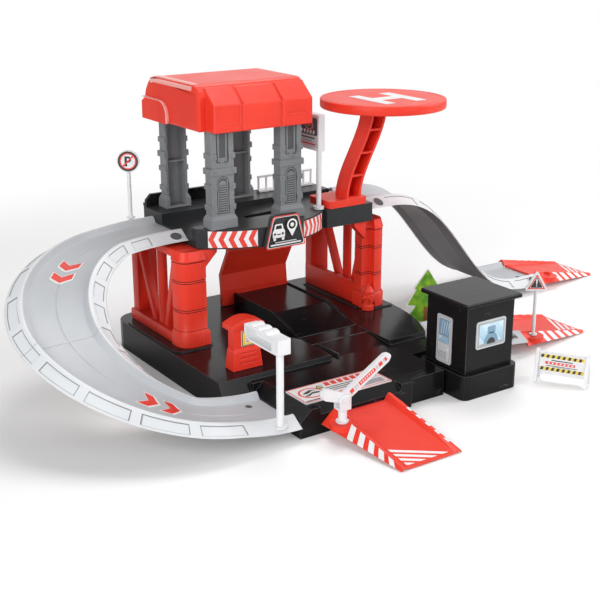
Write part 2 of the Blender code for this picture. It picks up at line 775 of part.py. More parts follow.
def build_base():
    """Open-bottomed base moulding with its front tier, ribs and support bosses."""
    deck_plan = base_outline()
    tier_plan = tier_outline()
    foot_front = BASE_FRONT - SLANT_RUN
    side = [
        (foot_front, 0.0), (BASE_BACK + BOOLEAN_REACH, 0.0), (BASE_BACK + BOOLEAN_REACH, BASE_HEIGHT),
        (BASE_FRONT, BASE_HEIGHT), (foot_front, SLANT_FOOT_HEIGHT),
    ]
    span = (BASE_LEFT - BOOLEAN_REACH, BASE_RIGHT + BOOLEAN_REACH)
    reach = BOOLEAN_REACH
    deck = prism(deck_plan, -reach, BASE_HEIGHT + reach)
    deck = common(deck, prism(side, *span, axis="X"))
    tier = prism(tier_plan, 0.0, TIER_HEIGHT)
    lead = [
        (-reach, LEAD_HEIGHT), (LEAD_RUN, TIER_HEIGHT), (LEAD_RUN, BASE_HEIGHT + reach),
        (-reach, BASE_HEIGHT + reach),
    ]
    lip = [
        (-reach, RAMP_LIP_HEIGHT), (RAMP_LIP_RUN, TIER_HEIGHT), (RAMP_LIP_RUN, BASE_HEIGHT),
        (-reach, BASE_HEIGHT),
    ]
    lip_x = (FRONT_RAMP_X - TRACK_SKIRT_HALF, FRONT_RAMP_X + TRACK_SKIRT_HALF)
    tier = cut(tier, prism(lead, -reach, foot_front, axis="Y"), prism(lip, *lip_x, axis="X"))
    shell = fuse(deck, tier)
    margin = COLLAR_FLARE + WALL_PAD_MARGIN
    pad_front = WALL_FRONT_Y - margin
    pad_back = BASE_BACK - BASE_CORNER_RADIUS
    left_pad = rectangle(
        (
            BASE_LEFT + BASE_WALL, LEFT_WALL_X + WALL_SPAN + margin,
        ), (pad_front, pad_back), COLUMN_NOSE_RADIUS,
    )
    notch_x = RIGHT_WALL_X - RIGHT_COLUMN_WIDTH - COLLAR_FLARE - PAD_LIP
    notch_y = WALL_FRONT_Y + COLUMN_DEPTH / 2 - COLLAR_FLARE / 2
    right_pad = rounded(
        [
            (notch_x, pad_front), (BASE_RIGHT - BASE_WALL, pad_front), (BASE_RIGHT - BASE_WALL, pad_back),
            (
                RIGHT_WALL_X - WALL_SPAN - margin, pad_back,
            ), (RIGHT_WALL_X - WALL_SPAN - margin, notch_y), (notch_x, notch_y),
        ],
        WALL_PAD_MARGIN / 2, 3,
    )
    for pad in (left_pad, right_pad):
        shell = fuse(shell, prism(pad, BASE_HEIGHT - BASE_WALL / 2, BASE_TOP))
    gully = [
        (ROAD_SLOPE_FRONT_Y, BASE_HEIGHT + reach), (ROAD_SLOPE_FRONT_Y, BASE_HEIGHT),
        (GULLY_FRONT_Y, TIER_HEIGHT),
        (BASE_FRONT - SLANT_RUN - reach, TIER_HEIGHT), (
            BASE_FRONT - SLANT_RUN - reach, BASE_HEIGHT + reach,
        ),
    ]
    shell = cut(shell, prism(gully, ROAD_LEFT, ROAD_LEFT + ROAD_WIDTH, axis="X"))
    inner_top = BASE_HEIGHT - BASE_WALL
    inner_tier_top = TIER_HEIGHT - BASE_WALL
    inner_deck = prism(inset(deck_plan, BASE_WALL), -reach, inner_top)
    hollow_side = [
        (foot_front + BASE_WALL, -2 * reach), (BASE_BACK + reach, -2 * reach),
        (BASE_BACK + reach, inner_top + reach),
        (BASE_FRONT + BASE_WALL / 2, inner_top + reach), (
            foot_front + BASE_WALL, SLANT_FOOT_HEIGHT - BASE_WALL / 2,
        ),
    ]
    inner_deck = common(inner_deck, prism(hollow_side, *span, axis="X"))
    gully_keep = [
        (ROAD_SLOPE_FRONT_Y + BASE_WALL, inner_top + reach), (ROAD_SLOPE_FRONT_Y + BASE_WALL, inner_top),
        (GULLY_FRONT_Y, TIER_HEIGHT - BASE_WALL), (foot_front - 2 * reach, TIER_HEIGHT - BASE_WALL),
        (foot_front - 2 * reach, inner_top + reach),
    ]
    gully_span = (ROAD_LEFT - BASE_WALL, ROAD_LEFT + ROAD_WIDTH + BASE_WALL)
    inner_deck = cut(inner_deck, prism(gully_keep, *gully_span, axis="X"))
    inner_tier = prism(inset(tier_plan, BASE_WALL), -reach, inner_tier_top)
    inner_lead = [
        (-reach, LEAD_HEIGHT - BASE_WALL), (LEAD_RUN + BASE_WALL, inner_tier_top),
        (LEAD_RUN + BASE_WALL, inner_tier_top + reach), (-reach, inner_tier_top + reach),
    ]
    inner_lip = [
        (-reach, RAMP_LIP_HEIGHT - BASE_WALL), (RAMP_LIP_RUN + BASE_WALL, inner_tier_top),
        (RAMP_LIP_RUN + BASE_WALL, inner_tier_top + reach), (-reach, inner_tier_top + reach),
    ]
    lip_keep = (lip_x[0] - BASE_WALL, lip_x[1] + BASE_WALL)
    inner_tier = cut(
        inner_tier, prism(
            inner_lead, -reach, BASE_FRONT + 3 * BASE_WALL, axis="Y",
        ), prism(inner_lip, *lip_keep, axis="X")
    )
    shell = cut(shell, inner_deck, inner_tier)
    ribs = []
    count_x = int((BASE_RIGHT - BASE_LEFT) / RIB_PITCH)
    for i in range(1, count_x + 1):
        x = BASE_LEFT + i * (BASE_RIGHT - BASE_LEFT) / (count_x + 1)
        ribs.append(
            box(
                (x - RIB_THICKNESS / 2, x + RIB_THICKNESS / 2), (BASE_WALL, BASE_BACK - BASE_WALL / 2),
                (RIB_LIFT, BASE_HEIGHT),
            )
        )
    count_y = int(BASE_BACK / RIB_PITCH)
    for i in range(1, count_y + 1):
        y = i * BASE_BACK / (count_y + 1)
        ribs.append(
            box(
                (BASE_LEFT, BASE_RIGHT), (y - RIB_THICKNESS / 2, y + RIB_THICKNESS / 2),
                (RIB_LIFT, BASE_HEIGHT),
            )
        )
    lattice = fuse(*ribs)
    filled = fuse(inner_deck_copy(deck_plan, side, span), prism(tier_plan, 0.0, SLANT_FOOT_HEIGHT))
    lattice = common(lattice, filled)
    shell = fuse(shell, lattice)
    shell = fuse(shell, rod((CENTRE_X, CENTRE_Y), BOSS_RADIUS, 0.0, BASE_HEIGHT - BASE_WALL / 2, sides=24))
    return piece("base_platform", shell, "black")


def inner_deck_copy(deck_plan, side, span):
    """Space that the base encloses, just under its skin, which the ribs may fill."""
    low = inset(deck_plan, BASE_WALL / 2)
    body = prism(low, RIB_LIFT, BASE_HEIGHT - BASE_WALL / 2)
    lowered = [(y + BASE_WALL / 2, z - BASE_WALL / 2 if z > 0.0 else z - BOOLEAN_REACH) for y, z in side]
    return common(body, prism(lowered, *span, axis="X"))


def build_garage_road():
    """Raised floor of the garage bay, which slopes down to the gully in the base."""
    foot = BASE_HEIGHT + FIT_GAP
    top = BASE_HEIGHT + ROAD_RISE
    side = [
        (ROAD_SLOPE_FRONT_Y + FIT_GAP, foot), (ROAD_END_Y, foot), (ROAD_END_Y, top),
        (ROAD_SLOPE_BACK_Y, top),
    ]
    road = prism(side, ROAD_LEFT, ROAD_LEFT + ROAD_WIDTH, axis="X")
    raised = [(y, z + ROAD_KERB_HEIGHT if z > foot else z) for y, z in side]
    raised[0] = (side[0][0] + ROAD_KERB_HEIGHT, foot)
    for x in (ROAD_LEFT, ROAD_LEFT + ROAD_WIDTH - ROAD_KERB_WIDTH):
        road = fuse(road, prism(raised, x, x + ROAD_KERB_WIDTH, axis="X"))
    under = [
        (ROAD_SLOPE_BACK_Y, foot - BOOLEAN_REACH), (ROAD_END_Y - BASE_WALL, foot - BOOLEAN_REACH),
        (ROAD_END_Y - BASE_WALL, top - BASE_WALL), (ROAD_SLOPE_BACK_Y, top - BASE_WALL),
    ]
    bays = 2
    bay_width = (ROAD_WIDTH - (bays + 1) * BASE_WALL) / bays
    for i in range(bays):
        x = ROAD_LEFT + BASE_WALL + i * (bay_width + BASE_WALL)
        road = cut(road, prism(under, x, x + bay_width, axis="X"))
    return piece("garage_road", road, "black")


# Side walls

def column_outline(width, margin=0.0):
    """Plan of a front column, x counted inwards from the wall's outer plane, with a round nose outside."""
    x = (-margin, width + margin)
    y = (WALL_FRONT_Y - margin, WALL_FRONT_Y + COLUMN_DEPTH + margin)
    corners = [(x[0], y[0]), (x[1], y[0]), (x[1], y[1]), (x[0], y[1])]
    return rounded(corners, [COLUMN_NOSE_RADIUS + margin, COLUMN_EDGE_RADIUS, 0.0, 0.0], 4)


def flared_column(width, low, high, flare_low, flare_high):
    """Slice of the column whose outline grows or shrinks with height."""
    lower = column_outline(width, flare_low)
    upper = column_outline(width, flare_high)
    return loft([[(x, y, low) for x, y in lower], [(x, y, high) for x, y in upper]])


def wall_windows():
    """Openings between the posts and braces, as outlines on the (y, z) face."""
    band = WALL_FOOT + WALL_BAND_HEIGHT
    top = WALL_TOP - WALL_TOP_BAND
    front = WALL_FRONT_Y + COLUMN_DEPTH
    rear_top = WALL_FRONT_Y + WALL_DEPTH - WALL_REAR_LEAN - REAR_POST_WIDTH
    rear_low = WALL_FRONT_Y + WALL_DEPTH - WALL_REAR_LEAN / 4 - REAR_POST_WIDTH
    half = MID_POST_WIDTH / 2
    foot = band + BRACE_FOOT_RISE
    lean_rear = Vector((rear_top - MID_POST_Y - half, top - band))
    lean_front = Vector((front - MID_POST_Y + half, top - band))
    shift_rear = BRACE_WIDTH * lean_rear.length / lean_rear.y
    shift_front = BRACE_WIDTH * lean_front.length / lean_front.y
    rear_outer = [(MID_POST_Y + half + shift_rear, band), (rear_low, band), (rear_top, top)]
    rear_inner = [
        (MID_POST_Y + half, foot + BRACE_WIDTH), (rear_top - shift_rear, top), (MID_POST_Y + half, top),
    ]
    front_inner = [
        (MID_POST_Y - half, foot + BRACE_WIDTH), (MID_POST_Y - half, top), (front + shift_front, top),
    ]
    front_outer = [(MID_POST_Y - half - shift_front, band), (front, top - BRACE_WIDTH), (front, band)]
    return [rounded(w, WINDOW_CORNER_RADIUS, 2) for w in (rear_outer, rear_inner, front_inner, front_outer)]


def build_wall(name, outer_x, inward, column_width, frame_inset):
    """Side wall: braced frame, deep lower band, front column with collar, capital and gusset."""
    front = WALL_FRONT_Y + COLUMN_DEPTH / 2
    back = WALL_FRONT_Y + WALL_DEPTH
    band_top = WALL_FOOT + WALL_BAND_HEIGHT
    face = [
        (front, WALL_FOOT), (back, WALL_FOOT), (back, band_top), (back - WALL_REAR_LEAN, WALL_TOP),
        (front, WALL_TOP),
    ]
    wall = prism(face, frame_inset, frame_inset + WALL_THICKNESS, axis="X", holes=wall_windows())
    lining = box(
        (WALL_SPAN - WALL_THICKNESS / 2, WALL_SPAN), (front, back - COLLAR_FLARE), (
            WALL_FOOT, WALL_FOOT + WALL_INNER_BAND_HEIGHT,
        )
    )
    ledge = box(
        (COLLAR_FLARE / 2, WALL_SPAN - COLLAR_FLARE / 2), (front, back - COLLAR_FLARE / 2),
        (WALL_FOOT, band_top - COLLAR_FLARE / 2),
    )
    lintel = box(
        (COLLAR_FLARE / 2, WALL_SPAN), (front, back - WALL_REAR_LEAN - COLLAR_FLARE),
        (WALL_TOP - WALL_TOP_BAND / 2, WALL_TOP),
    )
    shaft = prism(column_outline(column_width), WALL_FOOT + COLLAR_HEIGHT / 2, WALL_TOP)
    collar = prism(
        column_outline(column_width, COLLAR_FLARE), WALL_FOOT, WALL_FOOT + COLLAR_HEIGHT - COLLAR_FLARE,
    )
    skirt_foot = WALL_FOOT + COLLAR_HEIGHT - 1.5 * COLLAR_FLARE
    skirt = flared_column(
        column_width, skirt_foot, WALL_FOOT + COLLAR_HEIGHT, COLLAR_FLARE, COLUMN_GROOVE / 4,
    )
    capital_foot = WALL_TOP - CAPITAL_HEIGHT
    capital = flared_column(
        column_width, capital_foot, WALL_TOP - CAPITAL_HEIGHT / 3, COLUMN_GROOVE / 4, CAPITAL_FLARE,
    )
    crown = prism(column_outline(column_width, CAPITAL_FLARE), WALL_TOP - CAPITAL_HEIGHT / 2.5, WALL_TOP)
    root_x = column_width - COLUMN_NOSE_RADIUS / 2
    reach_x = column_width + GUSSET_REACH
    gusset_face = [
        (root_x, WALL_TOP), (root_x, WALL_TOP - GUSSET_DROP - GUSSET_REACH / 2),
        (reach_x, WALL_TOP - WALL_TOP_BAND / 3), (reach_x, WALL_TOP),
    ]
    gusset = prism(
        gusset_face, WALL_FRONT_Y + COLUMN_DEPTH / 8, WALL_FRONT_Y + COLUMN_DEPTH * 0.7, axis="Y",
    )
    wall = fuse(wall, lining, ledge, lintel, shaft, collar, skirt, capital, crown, gusset)
    height = WALL_FOOT + COLLAR_HEIGHT + COLUMN_GROOVE_PITCH
    while height < capital_foot - COLUMN_GROOVE_PITCH / 4:
        ring = prism(column_outline(column_width, COLLAR_FLARE), height, height + COLUMN_GROOVE)
        core = prism(
            column_outline(column_width, -COLUMN_GROOVE), height - BOOLEAN_REACH, height + BOOLEAN_REACH,
        )
        tip = box(
            (-COLLAR_FLARE * 2, column_width + COLLAR_FLARE * 2), (0.0, front),
            (height - BOOLEAN_REACH, height + BOOLEAN_REACH),
        )
        wall = cut(wall, common(cut(ring, core), tip))
        height += COLUMN_GROOVE_PITCH
    if inward < 0:
        wall = mirrored(wall, 0.0)
    return piece(name, moved(wall, to=(outer_x, 0.0, 0.0)), "red")


def build_back_wall():
    """Rear wall of the garage bay, folded outwards at mid height."""
    foot = BASE_HEIGHT + FIT_GAP
    front = [
        (ROAD_END_Y + FIT_GAP, foot), (ROAD_END_Y + FIT_GAP, BASE_HEIGHT + BACK_WALL_KNEE_LOW / 2),
        (BACK_WALL_Y + BACK_WALL_BULGE, BASE_HEIGHT + BACK_WALL_KNEE_LOW), (
            BACK_WALL_Y - BACK_WALL_BULGE, BASE_HEIGHT + BACK_WALL_KNEE_HIGH,
        ),
        (BACK_WALL_Y - BACK_WALL_TOP_SET, WALL_TOP),
    ]
    back = [(y + BACK_WALL_THICKNESS, z) for y, z in reversed(front)]
    wall = prism(front + back, BACK_WALL_LEFT, BACK_WALL_LEFT + BACK_WALL_WIDTH, axis="X")
    return piece("garage_back_wall", wall, "red", edge=EDGE_RADIUS / 2, segments=1)


# Upper deck

def deck_outline():
    """Plan of the upper deck, its front bowed between the left corner and the straight right part."""
    right_turn = math.asin((DECK_BOW_RIGHT_X - DECK_BOW_CENTRE_X) / DECK_BOW_RADIUS)
    left_turn = math.asin((DECK_LEFT - DECK_BOW_CENTRE_X) / DECK_BOW_RADIUS)
    steps = 14
    arc = []
    for i in range(steps + 1):
        turn = left_turn + (right_turn - left_turn) * i / steps
        arc.append(
            (
                DECK_BOW_CENTRE_X + DECK_BOW_RADIUS * math.sin(turn),
                DECK_BOW_CENTRE_Y - DECK_BOW_RADIUS * math.cos(turn),
            )
        )
    return arc + [
        (DECK_BOW_RIGHT_X + DECK_WALL, DECK_FRONT_Y), (DECK_RIGHT, DECK_FRONT_Y), (DECK_RIGHT, DECK_BACK),
        (DECK_LEFT, DECK_BACK),
    ]


def build_deck():
    """Upper deck shell with its road recess, hatch and ribs below."""
    outline = deck_outline()
    deck = prism(outline, DECK_BOTTOM, DECK_TOP)
    reach = BOOLEAN_REACH
    left = (DECK_LEFT - reach, DECK_TOP - DECK_ROAD_DEPTH_LEFT)
    right = (DECK_RIGHT + reach, DECK_TOP - DECK_ROAD_DEPTH_RIGHT)
    road = [left, right, (DECK_RIGHT + reach, DECK_TOP + reach), (DECK_LEFT - reach, DECK_TOP + reach)]
    road_y = (DECK_ROAD_FRONT_Y, DECK_ROAD_FRONT_Y + DECK_ROAD_WIDTH)
    deck = cut(deck, prism(road, *road_y, axis="Y"))
    floor = DECK_TOP - DECK_ROAD_DEPTH_LEFT - DECK_WALL
    plan = inset(outline, DECK_WALL)
    pocket = prism(plan, DECK_BOTTOM - reach, floor)
    ribs = []
    for i in range(1, DECK_RIB_COLUMNS + 1):
        x = DECK_LEFT + i * (DECK_RIGHT - DECK_LEFT) / (DECK_RIB_COLUMNS + 1)
        ribs.append(
            box(
                (x - RIB_THICKNESS / 2, x + RIB_THICKNESS / 2), (0.0, 2 * DECK_BACK),
                (DECK_BOTTOM - 2 * reach, DECK_TOP),
            )
        )
    for i in range(1, DECK_RIB_ROWS + 1):
        y = DECK_FRONT_Y + i * (DECK_BACK - DECK_FRONT_Y) / (DECK_RIB_ROWS + 1)
        ribs.append(
            box(
                (-1.0, 1.0), (y - RIB_THICKNESS / 2, y + RIB_THICKNESS / 2),
                (DECK_BOTTOM - 2 * reach, DECK_TOP),
            )
        )
    hatch = (
        (DECK_HATCH_X, DECK_HATCH_X + DECK_HATCH_WIDTH), (DECK_HATCH_Y, DECK_HATCH_Y + DECK_HATCH_DEPTH),
    )
    kept = box(
        (hatch[0][0] - DECK_WALL, hatch[0][1] + DECK_WALL),
        (hatch[1][0] - DECK_WALL, hatch[1][1] + DECK_WALL), (DECK_BOTTOM - 2 * reach, DECK_TOP),
    )
    pocket = cut(pocket, *ribs, kept)
    deck = cut(deck, pocket)
    deck = cut(deck, box(*hatch, (DECK_BOTTOM - reach, DECK_TOP + reach)))
    peg_foot = DECK_TOP - PEG_LENGTH - FIT_GAP
    deck = cut(
        deck,
        rod((BILLBOARD_X, BILLBOARD_Y), PEG_RADIUS + PEG_CLEARANCE, peg_foot, DECK_TOP + reach, sides=12),
    )
    return piece("upper_deck", deck, "deck_grey")


def build_deck_fittings():
    """Guard at the back of the deck, front sign plate and side railing."""
    foot = DECK_TOP + FIT_GAP
    top = foot + PARAPET_HEIGHT
    face = [
        (DECK_LEFT, foot), (DECK_LEFT + PARAPET_WIDTH, foot), (
            DECK_LEFT + PARAPET_WIDTH, top - PARAPET_CHAMFER,
        ),
        (
            DECK_LEFT + PARAPET_WIDTH - PARAPET_CHAMFER, top,
        ), (DECK_LEFT + PARAPET_CHAMFER, top), (DECK_LEFT, top - PARAPET_CHAMFER),
    ]
    parapet_y = TOWER_BACK_Y + WIDE_BAND_FLARE + PLINTH_FLARE + FIT_GAP
    parapet = prism(face, parapet_y, parapet_y + PARAPET_THICKNESS, axis="Y")
    parapet = fuse(
        parapet,
        box(
            (DECK_LEFT, DECK_LEFT + PARAPET_WIDTH), (parapet_y, parapet_y + 2 * PARAPET_THICKNESS),
            (foot, foot + PARAPET_THICKNESS),
        ),
    )
    piece("deck_guard", parapet, "black", edge=EDGE_RADIUS / 2, segments=1)
    bow_front = DECK_BOW_CENTRE_Y - DECK_BOW_RADIUS
    low = DECK_BOTTOM - PLATE_DROP
    half = PLATE_BOTTOM_WIDTH / 2
    half_top = PLATE_TOP_WIDTH / 2
    corners = [
        (PLATE_CENTRE_X - half, low), (PLATE_CENTRE_X + half, low),
        (PLATE_CENTRE_X + half_top, low + PLATE_HEIGHT), (PLATE_CENTRE_X - half_top, low + PLATE_HEIGHT),
    ]
    front = bow_front - FIT_GAP
    plate = prism(rounded(corners, PLATE_CORNER_RADIUS, 3), front - PLATE_THICKNESS, front, axis="Y")
    piece("parking_plate", plate, "print_black")
    bar = RAIL_BAR
    rail_y = DECK_BACK - RAIL_SET_BACK
    rail = box(
        (RAIL_LEFT, RAIL_LEFT + RAIL_WIDTH), (rail_y, rail_y + bar),
        (foot + RAIL_HEIGHT - bar, foot + RAIL_HEIGHT),
    )
    foot_rail = box(
        (RAIL_LEFT, RAIL_LEFT + RAIL_WIDTH), (rail_y - bar, rail_y + 2 * bar), (foot, foot + bar),
    )
    posts = []
    for i in range(RAIL_POST_COUNT):
        x = RAIL_LEFT + i * (RAIL_WIDTH - bar) / (RAIL_POST_COUNT - 1)
        inner = bar / 8
        posts.append(
            box(
                (x + inner, x + bar - inner), (rail_y + inner, rail_y + bar - inner),
                (foot + bar / 2, foot + RAIL_HEIGHT - bar / 2),
            )
        )
    piece("deck_railing", fuse(rail, foot_rail, *posts), "white")


def build_billboard():
    """Sign board on a round post at the right of the deck, facing the tower."""
    foot = DECK_TOP + FIT_GAP
    at = (BILLBOARD_X, BILLBOARD_Y)
    post = rod(at, BILLBOARD_FOOT_RADIUS, foot, foot + BILLBOARD_FOOT_HEIGHT, sides=20)
    stem = rod(
        at, BILLBOARD_POST_RADIUS, foot + BILLBOARD_FOOT_HEIGHT / 2, foot + BILLBOARD_POST_HEIGHT, sides=14,
    )
    peg = rod(at, PEG_RADIUS, foot - PEG_LENGTH, foot + BILLBOARD_FOOT_HEIGHT / 2, sides=12)
    piece("billboard_post", fuse(post, stem, peg), "white")
    low = foot + BILLBOARD_POST_HEIGHT + FIT_GAP
    x = (BILLBOARD_X - BILLBOARD_THICKNESS / 2, BILLBOARD_X + BILLBOARD_THICKNESS / 2)
    y = (
        BILLBOARD_Y - BILLBOARD_POST_RADIUS - BILLBOARD_FRAME,
        BILLBOARD_Y - BILLBOARD_POST_RADIUS - BILLBOARD_FRAME + BILLBOARD_WIDTH,
    )
    board = box(x, y, (low, low + BILLBOARD_HEIGHT))
    frame = BILLBOARD_FRAME
    face = box(
        (
            x[0] - BOOLEAN_REACH, x[0] + BILLBOARD_RECESS,
        ), (y[0] + frame, y[1] - frame), (low + frame, low + BILLBOARD_HEIGHT - frame)
    )
    piece("billboard_panel", cut(board, face), "white", edge=EDGE_RADIUS / 2, segments=1)


# Tower

def build_shaft_mesh():
    """Column of the tower, drawn from the middle of its foot with its panelled face towards -Y."""
    half = SHAFT_WIDTH / 2
    depth = SHAFT_DEPTH
    shaft = box((-half, half), (0.0, depth), (0.0, SHAFT_HEIGHT))
    parts = []
    for low, flare, height in (
        (BAND_LOW_Z, BAND_FLARE, BAND_HEIGHT), (BAND_MID_LOW_Z, BAND_FLARE, BAND_HEIGHT),
        (BAND_MID_Z, WIDE_BAND_FLARE, WIDE_BAND_HEIGHT), (BAND_HIGH_Z, BAND_FLARE, BAND_HEIGHT),
    ):
        parts.append(box((-half - flare, half + flare), (-flare, depth + flare / 2), (low, low + height)))
    wide = PLINTH_FLARE
    rings = []
    for rise, flare in ((0.0, wide), (PLINTH_HEIGHT * 0.7, wide * 0.9), (PLINTH_HEIGHT, wide * 0.2)):
        rings.append([
            (-half - flare, -flare, rise), (half + flare, -flare, rise),
            (half + flare, depth + flare, rise), (-half - flare, depth + flare, rise),
        ])
    parts.append(loft(rings))
    shaft = fuse(shaft, *parts)
    wall = SHAFT_WALL
    channel = box((-half + wall, half - wall), (wall, depth + 2 * wide), (wall, SHAFT_HEIGHT - wall))
    web = SHAFT_HEIGHT * 0.5
    shelf = box((-half, half), (wall / 2, depth - wall), (web, web + RIB_THICKNESS))
    shaft = cut(shaft, cut(channel, shelf))
    flat = PANEL_WIDTH / 2
    low = PLINTH_HEIGHT + PANEL_INSET
    high = BAND_MID_Z - PANEL_INSET
    arch = [(-flat, low), (flat, low)]
    for i in range(7):
        turn = math.pi * i / 6
        arch.append((flat * math.cos(turn), high - flat + flat * math.sin(turn)))
    upper_low = BAND_MID_Z + WIDE_BAND_HEIGHT + PANEL_INSET
    cove = flat * 0.6
    upper = [
        (-flat, upper_low + cove), (-flat + cove, upper_low), (flat - cove, upper_low),
        (flat, upper_low + cove),
        (flat, SHAFT_HEIGHT - PANEL_INSET), (-flat, SHAFT_HEIGHT - PANEL_INSET),
    ]
    for outline in (arch, upper):
        shaft = cut(shaft, prism(outline, -2 * WIDE_BAND_FLARE, PANEL_DEPTH, axis="Y"))
    return shaft


def build_columns():
    """Four tower columns, the rear pair turned to face the back."""
    first = build_shaft_mesh()
    places = (
        ("tower_column_front_left", TOWER_LEFT_X, TOWER_FRONT_Y, 0.0),
        ("tower_column_front_right", TOWER_RIGHT_X, TOWER_FRONT_Y, 0.0),
        ("tower_column_back_left", TOWER_BACK_LEFT_X, TOWER_BACK_Y, math.pi),
        ("tower_column_back_right", TOWER_BACK_RIGHT_X, TOWER_BACK_Y, math.pi),
    )
    for i, (name, x, y, turn) in enumerate(places):
        shaft = first if i == 0 else workpiece(first.data)
        piece(name, shaft, "column_grey", at=(x, y, TOWER_FOOT), turn=turn)


def roof_side(distance=0.0):
    """Side view of the roof shell as (y, z), moved inwards by a distance."""
    front = ROOF_FRONT_Y + distance
    back = ROOF_FRONT_Y + ROOF_DEPTH - distance
    top = ROOF_TOP - distance
    radius = ROOF_BACK_RADIUS - distance
    chamfer = ROOF_FRONT_CHAMFER
    foot = ROOF_FOOT - distance * 2
    side = [(front, foot), (back, foot)]
    for i in range(7):
        turn = math.pi / 2 * i / 6
        side.append((back - radius + radius * math.cos(turn), top - radius + radius * math.sin(turn)))
    side += [(front + chamfer, top), (front, top - chamfer * 0.9)]
    return side


def awning(x, width, set_back):
    """Sloping hood on the roof's front, its outer faces set back by a distance."""
    top = ROOF_TOP - AWNING_RIDGE_DROP - set_back
    front = ROOF_FRONT_Y - AWNING_REACH + set_back
    back = ROOF_FRONT_Y + AWNING_RIDGE_DEPTH - set_back
    side = [
        (back, ROOF_FOOT), (front, ROOF_FOOT), (front, top - AWNING_FOOT_DROP),
        (ROOF_FRONT_Y + AWNING_RIDGE_DEPTH / 2, top), (back, top),
    ]
    return prism([(y, z) for y, z in reversed(side)], x, x + width, axis="X")


def build_roof():
    """Moulded roof shell with three awnings, a raised lobe on its left end and seats for the columns."""
    right = ROOF_LEFT + ROOF_WIDTH
    roof = softened(prism(roof_side(), ROOF_LEFT, right, axis="X"), ROOF_EDGE_RADIUS, 2)
    lobe_top = ROOF_FOOT + LOBE_HEIGHT
    back = ROOF_FRONT_Y + ROOF_DEPTH
    lobe = rounded(
        [
            (back - LOBE_DEPTH, ROOF_FOOT), (back - FIT_GAP, ROOF_FOOT),
            (back - FIT_GAP, ROOF_TOP - ROOF_BACK_RADIUS), (back - LOBE_DEPTH / 6, lobe_top),
            (back - LOBE_DEPTH, lobe_top),
        ],
        [0.0, 0.0, 0.0, 0.0, LOBE_RADIUS], 4,
    )
    roof = fuse(roof, prism(lobe, ROOF_LEFT - LOBE_RISE, ROOF_LEFT + ROOF_WALL, axis="X"))
    x_one = AWNING_ONE_X
    x_two = x_one + AWNING_ONE_WIDTH + AWNING_STEP
    x_three = x_two + AWNING_TWO_WIDTH + AWNING_STEP
    for x, width, set_back in (
        (x_one, AWNING_ONE_WIDTH, 0.0), (
            x_two, AWNING_TWO_WIDTH, AWNING_GROOVE / 3,
        ), (x_three, AWNING_THREE_WIDTH, 0.0),
    ):
        roof = fuse(roof, softened(awning(x, width, set_back), AWNING_EDGE_RADIUS))
    total = x_three + AWNING_THREE_WIDTH - x_one
    roof = fuse(roof, awning(x_one + AWNING_GROOVE, total - 2 * AWNING_GROOVE, AWNING_GROOVE))
    wall = ROOF_WALL
    roof = cut(roof, prism(roof_side(wall), ROOF_LEFT + wall, right - wall, axis="X"))
    hollow = [
        (ROOF_FRONT_Y + 2 * wall, ROOF_FOOT - wall), (
            ROOF_FRONT_Y - AWNING_REACH + AWNING_GROOVE + wall, ROOF_FOOT - wall,
        ),
        (
            ROOF_FRONT_Y - AWNING_REACH + AWNING_GROOVE + wall,
            ROOF_TOP - AWNING_FOOT_DROP - AWNING_RIDGE_DROP - wall / 2,
        ),
        (ROOF_FRONT_Y + wall, ROOF_TOP - AWNING_RIDGE_DROP - 1.5 * wall), (
            ROOF_FRONT_Y + 2 * wall, ROOF_TOP - AWNING_RIDGE_DROP - 1.5 * wall,
        ),
    ]
    hollow_x = (
        x_one + AWNING_GROOVE + wall, min(x_three + AWNING_THREE_WIDTH - AWNING_GROOVE, right) - wall,
    )
    roof = cut(roof, prism([(y, z) for y, z in reversed(hollow)], *hollow_x, axis="X"))
    panel_low = ROOF_FOOT + AWNING_PANEL_INSET + BAND_HEIGHT
    panel_high = ROOF_TOP - AWNING_FOOT_DROP - AWNING_RIDGE_DROP - AWNING_GROOVE
    front = ROOF_FRONT_Y - AWNING_REACH
    first_panel = box(
        (
            x_one + AWNING_PANEL_INSET, x_one + AWNING_ONE_WIDTH - AWNING_GROOVE,
        ), (front - BOOLEAN_REACH, front + AWNING_PANEL_DEPTH), (panel_low, panel_high)
    )
    slit = box(
        (
            x_three + AWNING_PANEL_INSET, x_three + AWNING_THREE_WIDTH * 0.75,
        ), (front - BOOLEAN_REACH, front + AWNING_PANEL_DEPTH),
        (panel_low + BAND_HEIGHT / 2, panel_low + BAND_HEIGHT),
    )
    roof = cut(roof, first_panel, slit)
    seats = []
    seat_half = SHAFT_WIDTH / 2 + WIDE_BAND_FLARE
    for x in (TOWER_LEFT_X, TOWER_RIGHT_X):
        seats.append(
            box(
                (x - seat_half, x + seat_half), (TOWER_FRONT_Y + FIT_GAP, TOWER_FRONT_Y + SHAFT_DEPTH),
                (ROOF_FOOT, ROOF_TOP - ROOF_FRONT_CHAMFER),
            )
        )
    for x in (TOWER_BACK_LEFT_X, TOWER_BACK_RIGHT_X):
        seats.append(
            box(
                (x - seat_half, min(x + seat_half, right - wall / 2)),
                (TOWER_BACK_Y - SHAFT_DEPTH, back - wall / 2),
                (ROOF_FOOT, ROOF_TOP - ROOF_BACK_RADIUS - wall),
            )
        )
    roof = fuse(roof, *seats)
    return piece("tower_roof", roof, "red")


# Helipad

def pillar_centre(height):
    """Sideways place of the curved pillar at a height above its flange."""
    return PILLAR_FOOT_X + PILLAR_SHIFT * smooth_step(height / PILLAR_HEIGHT)


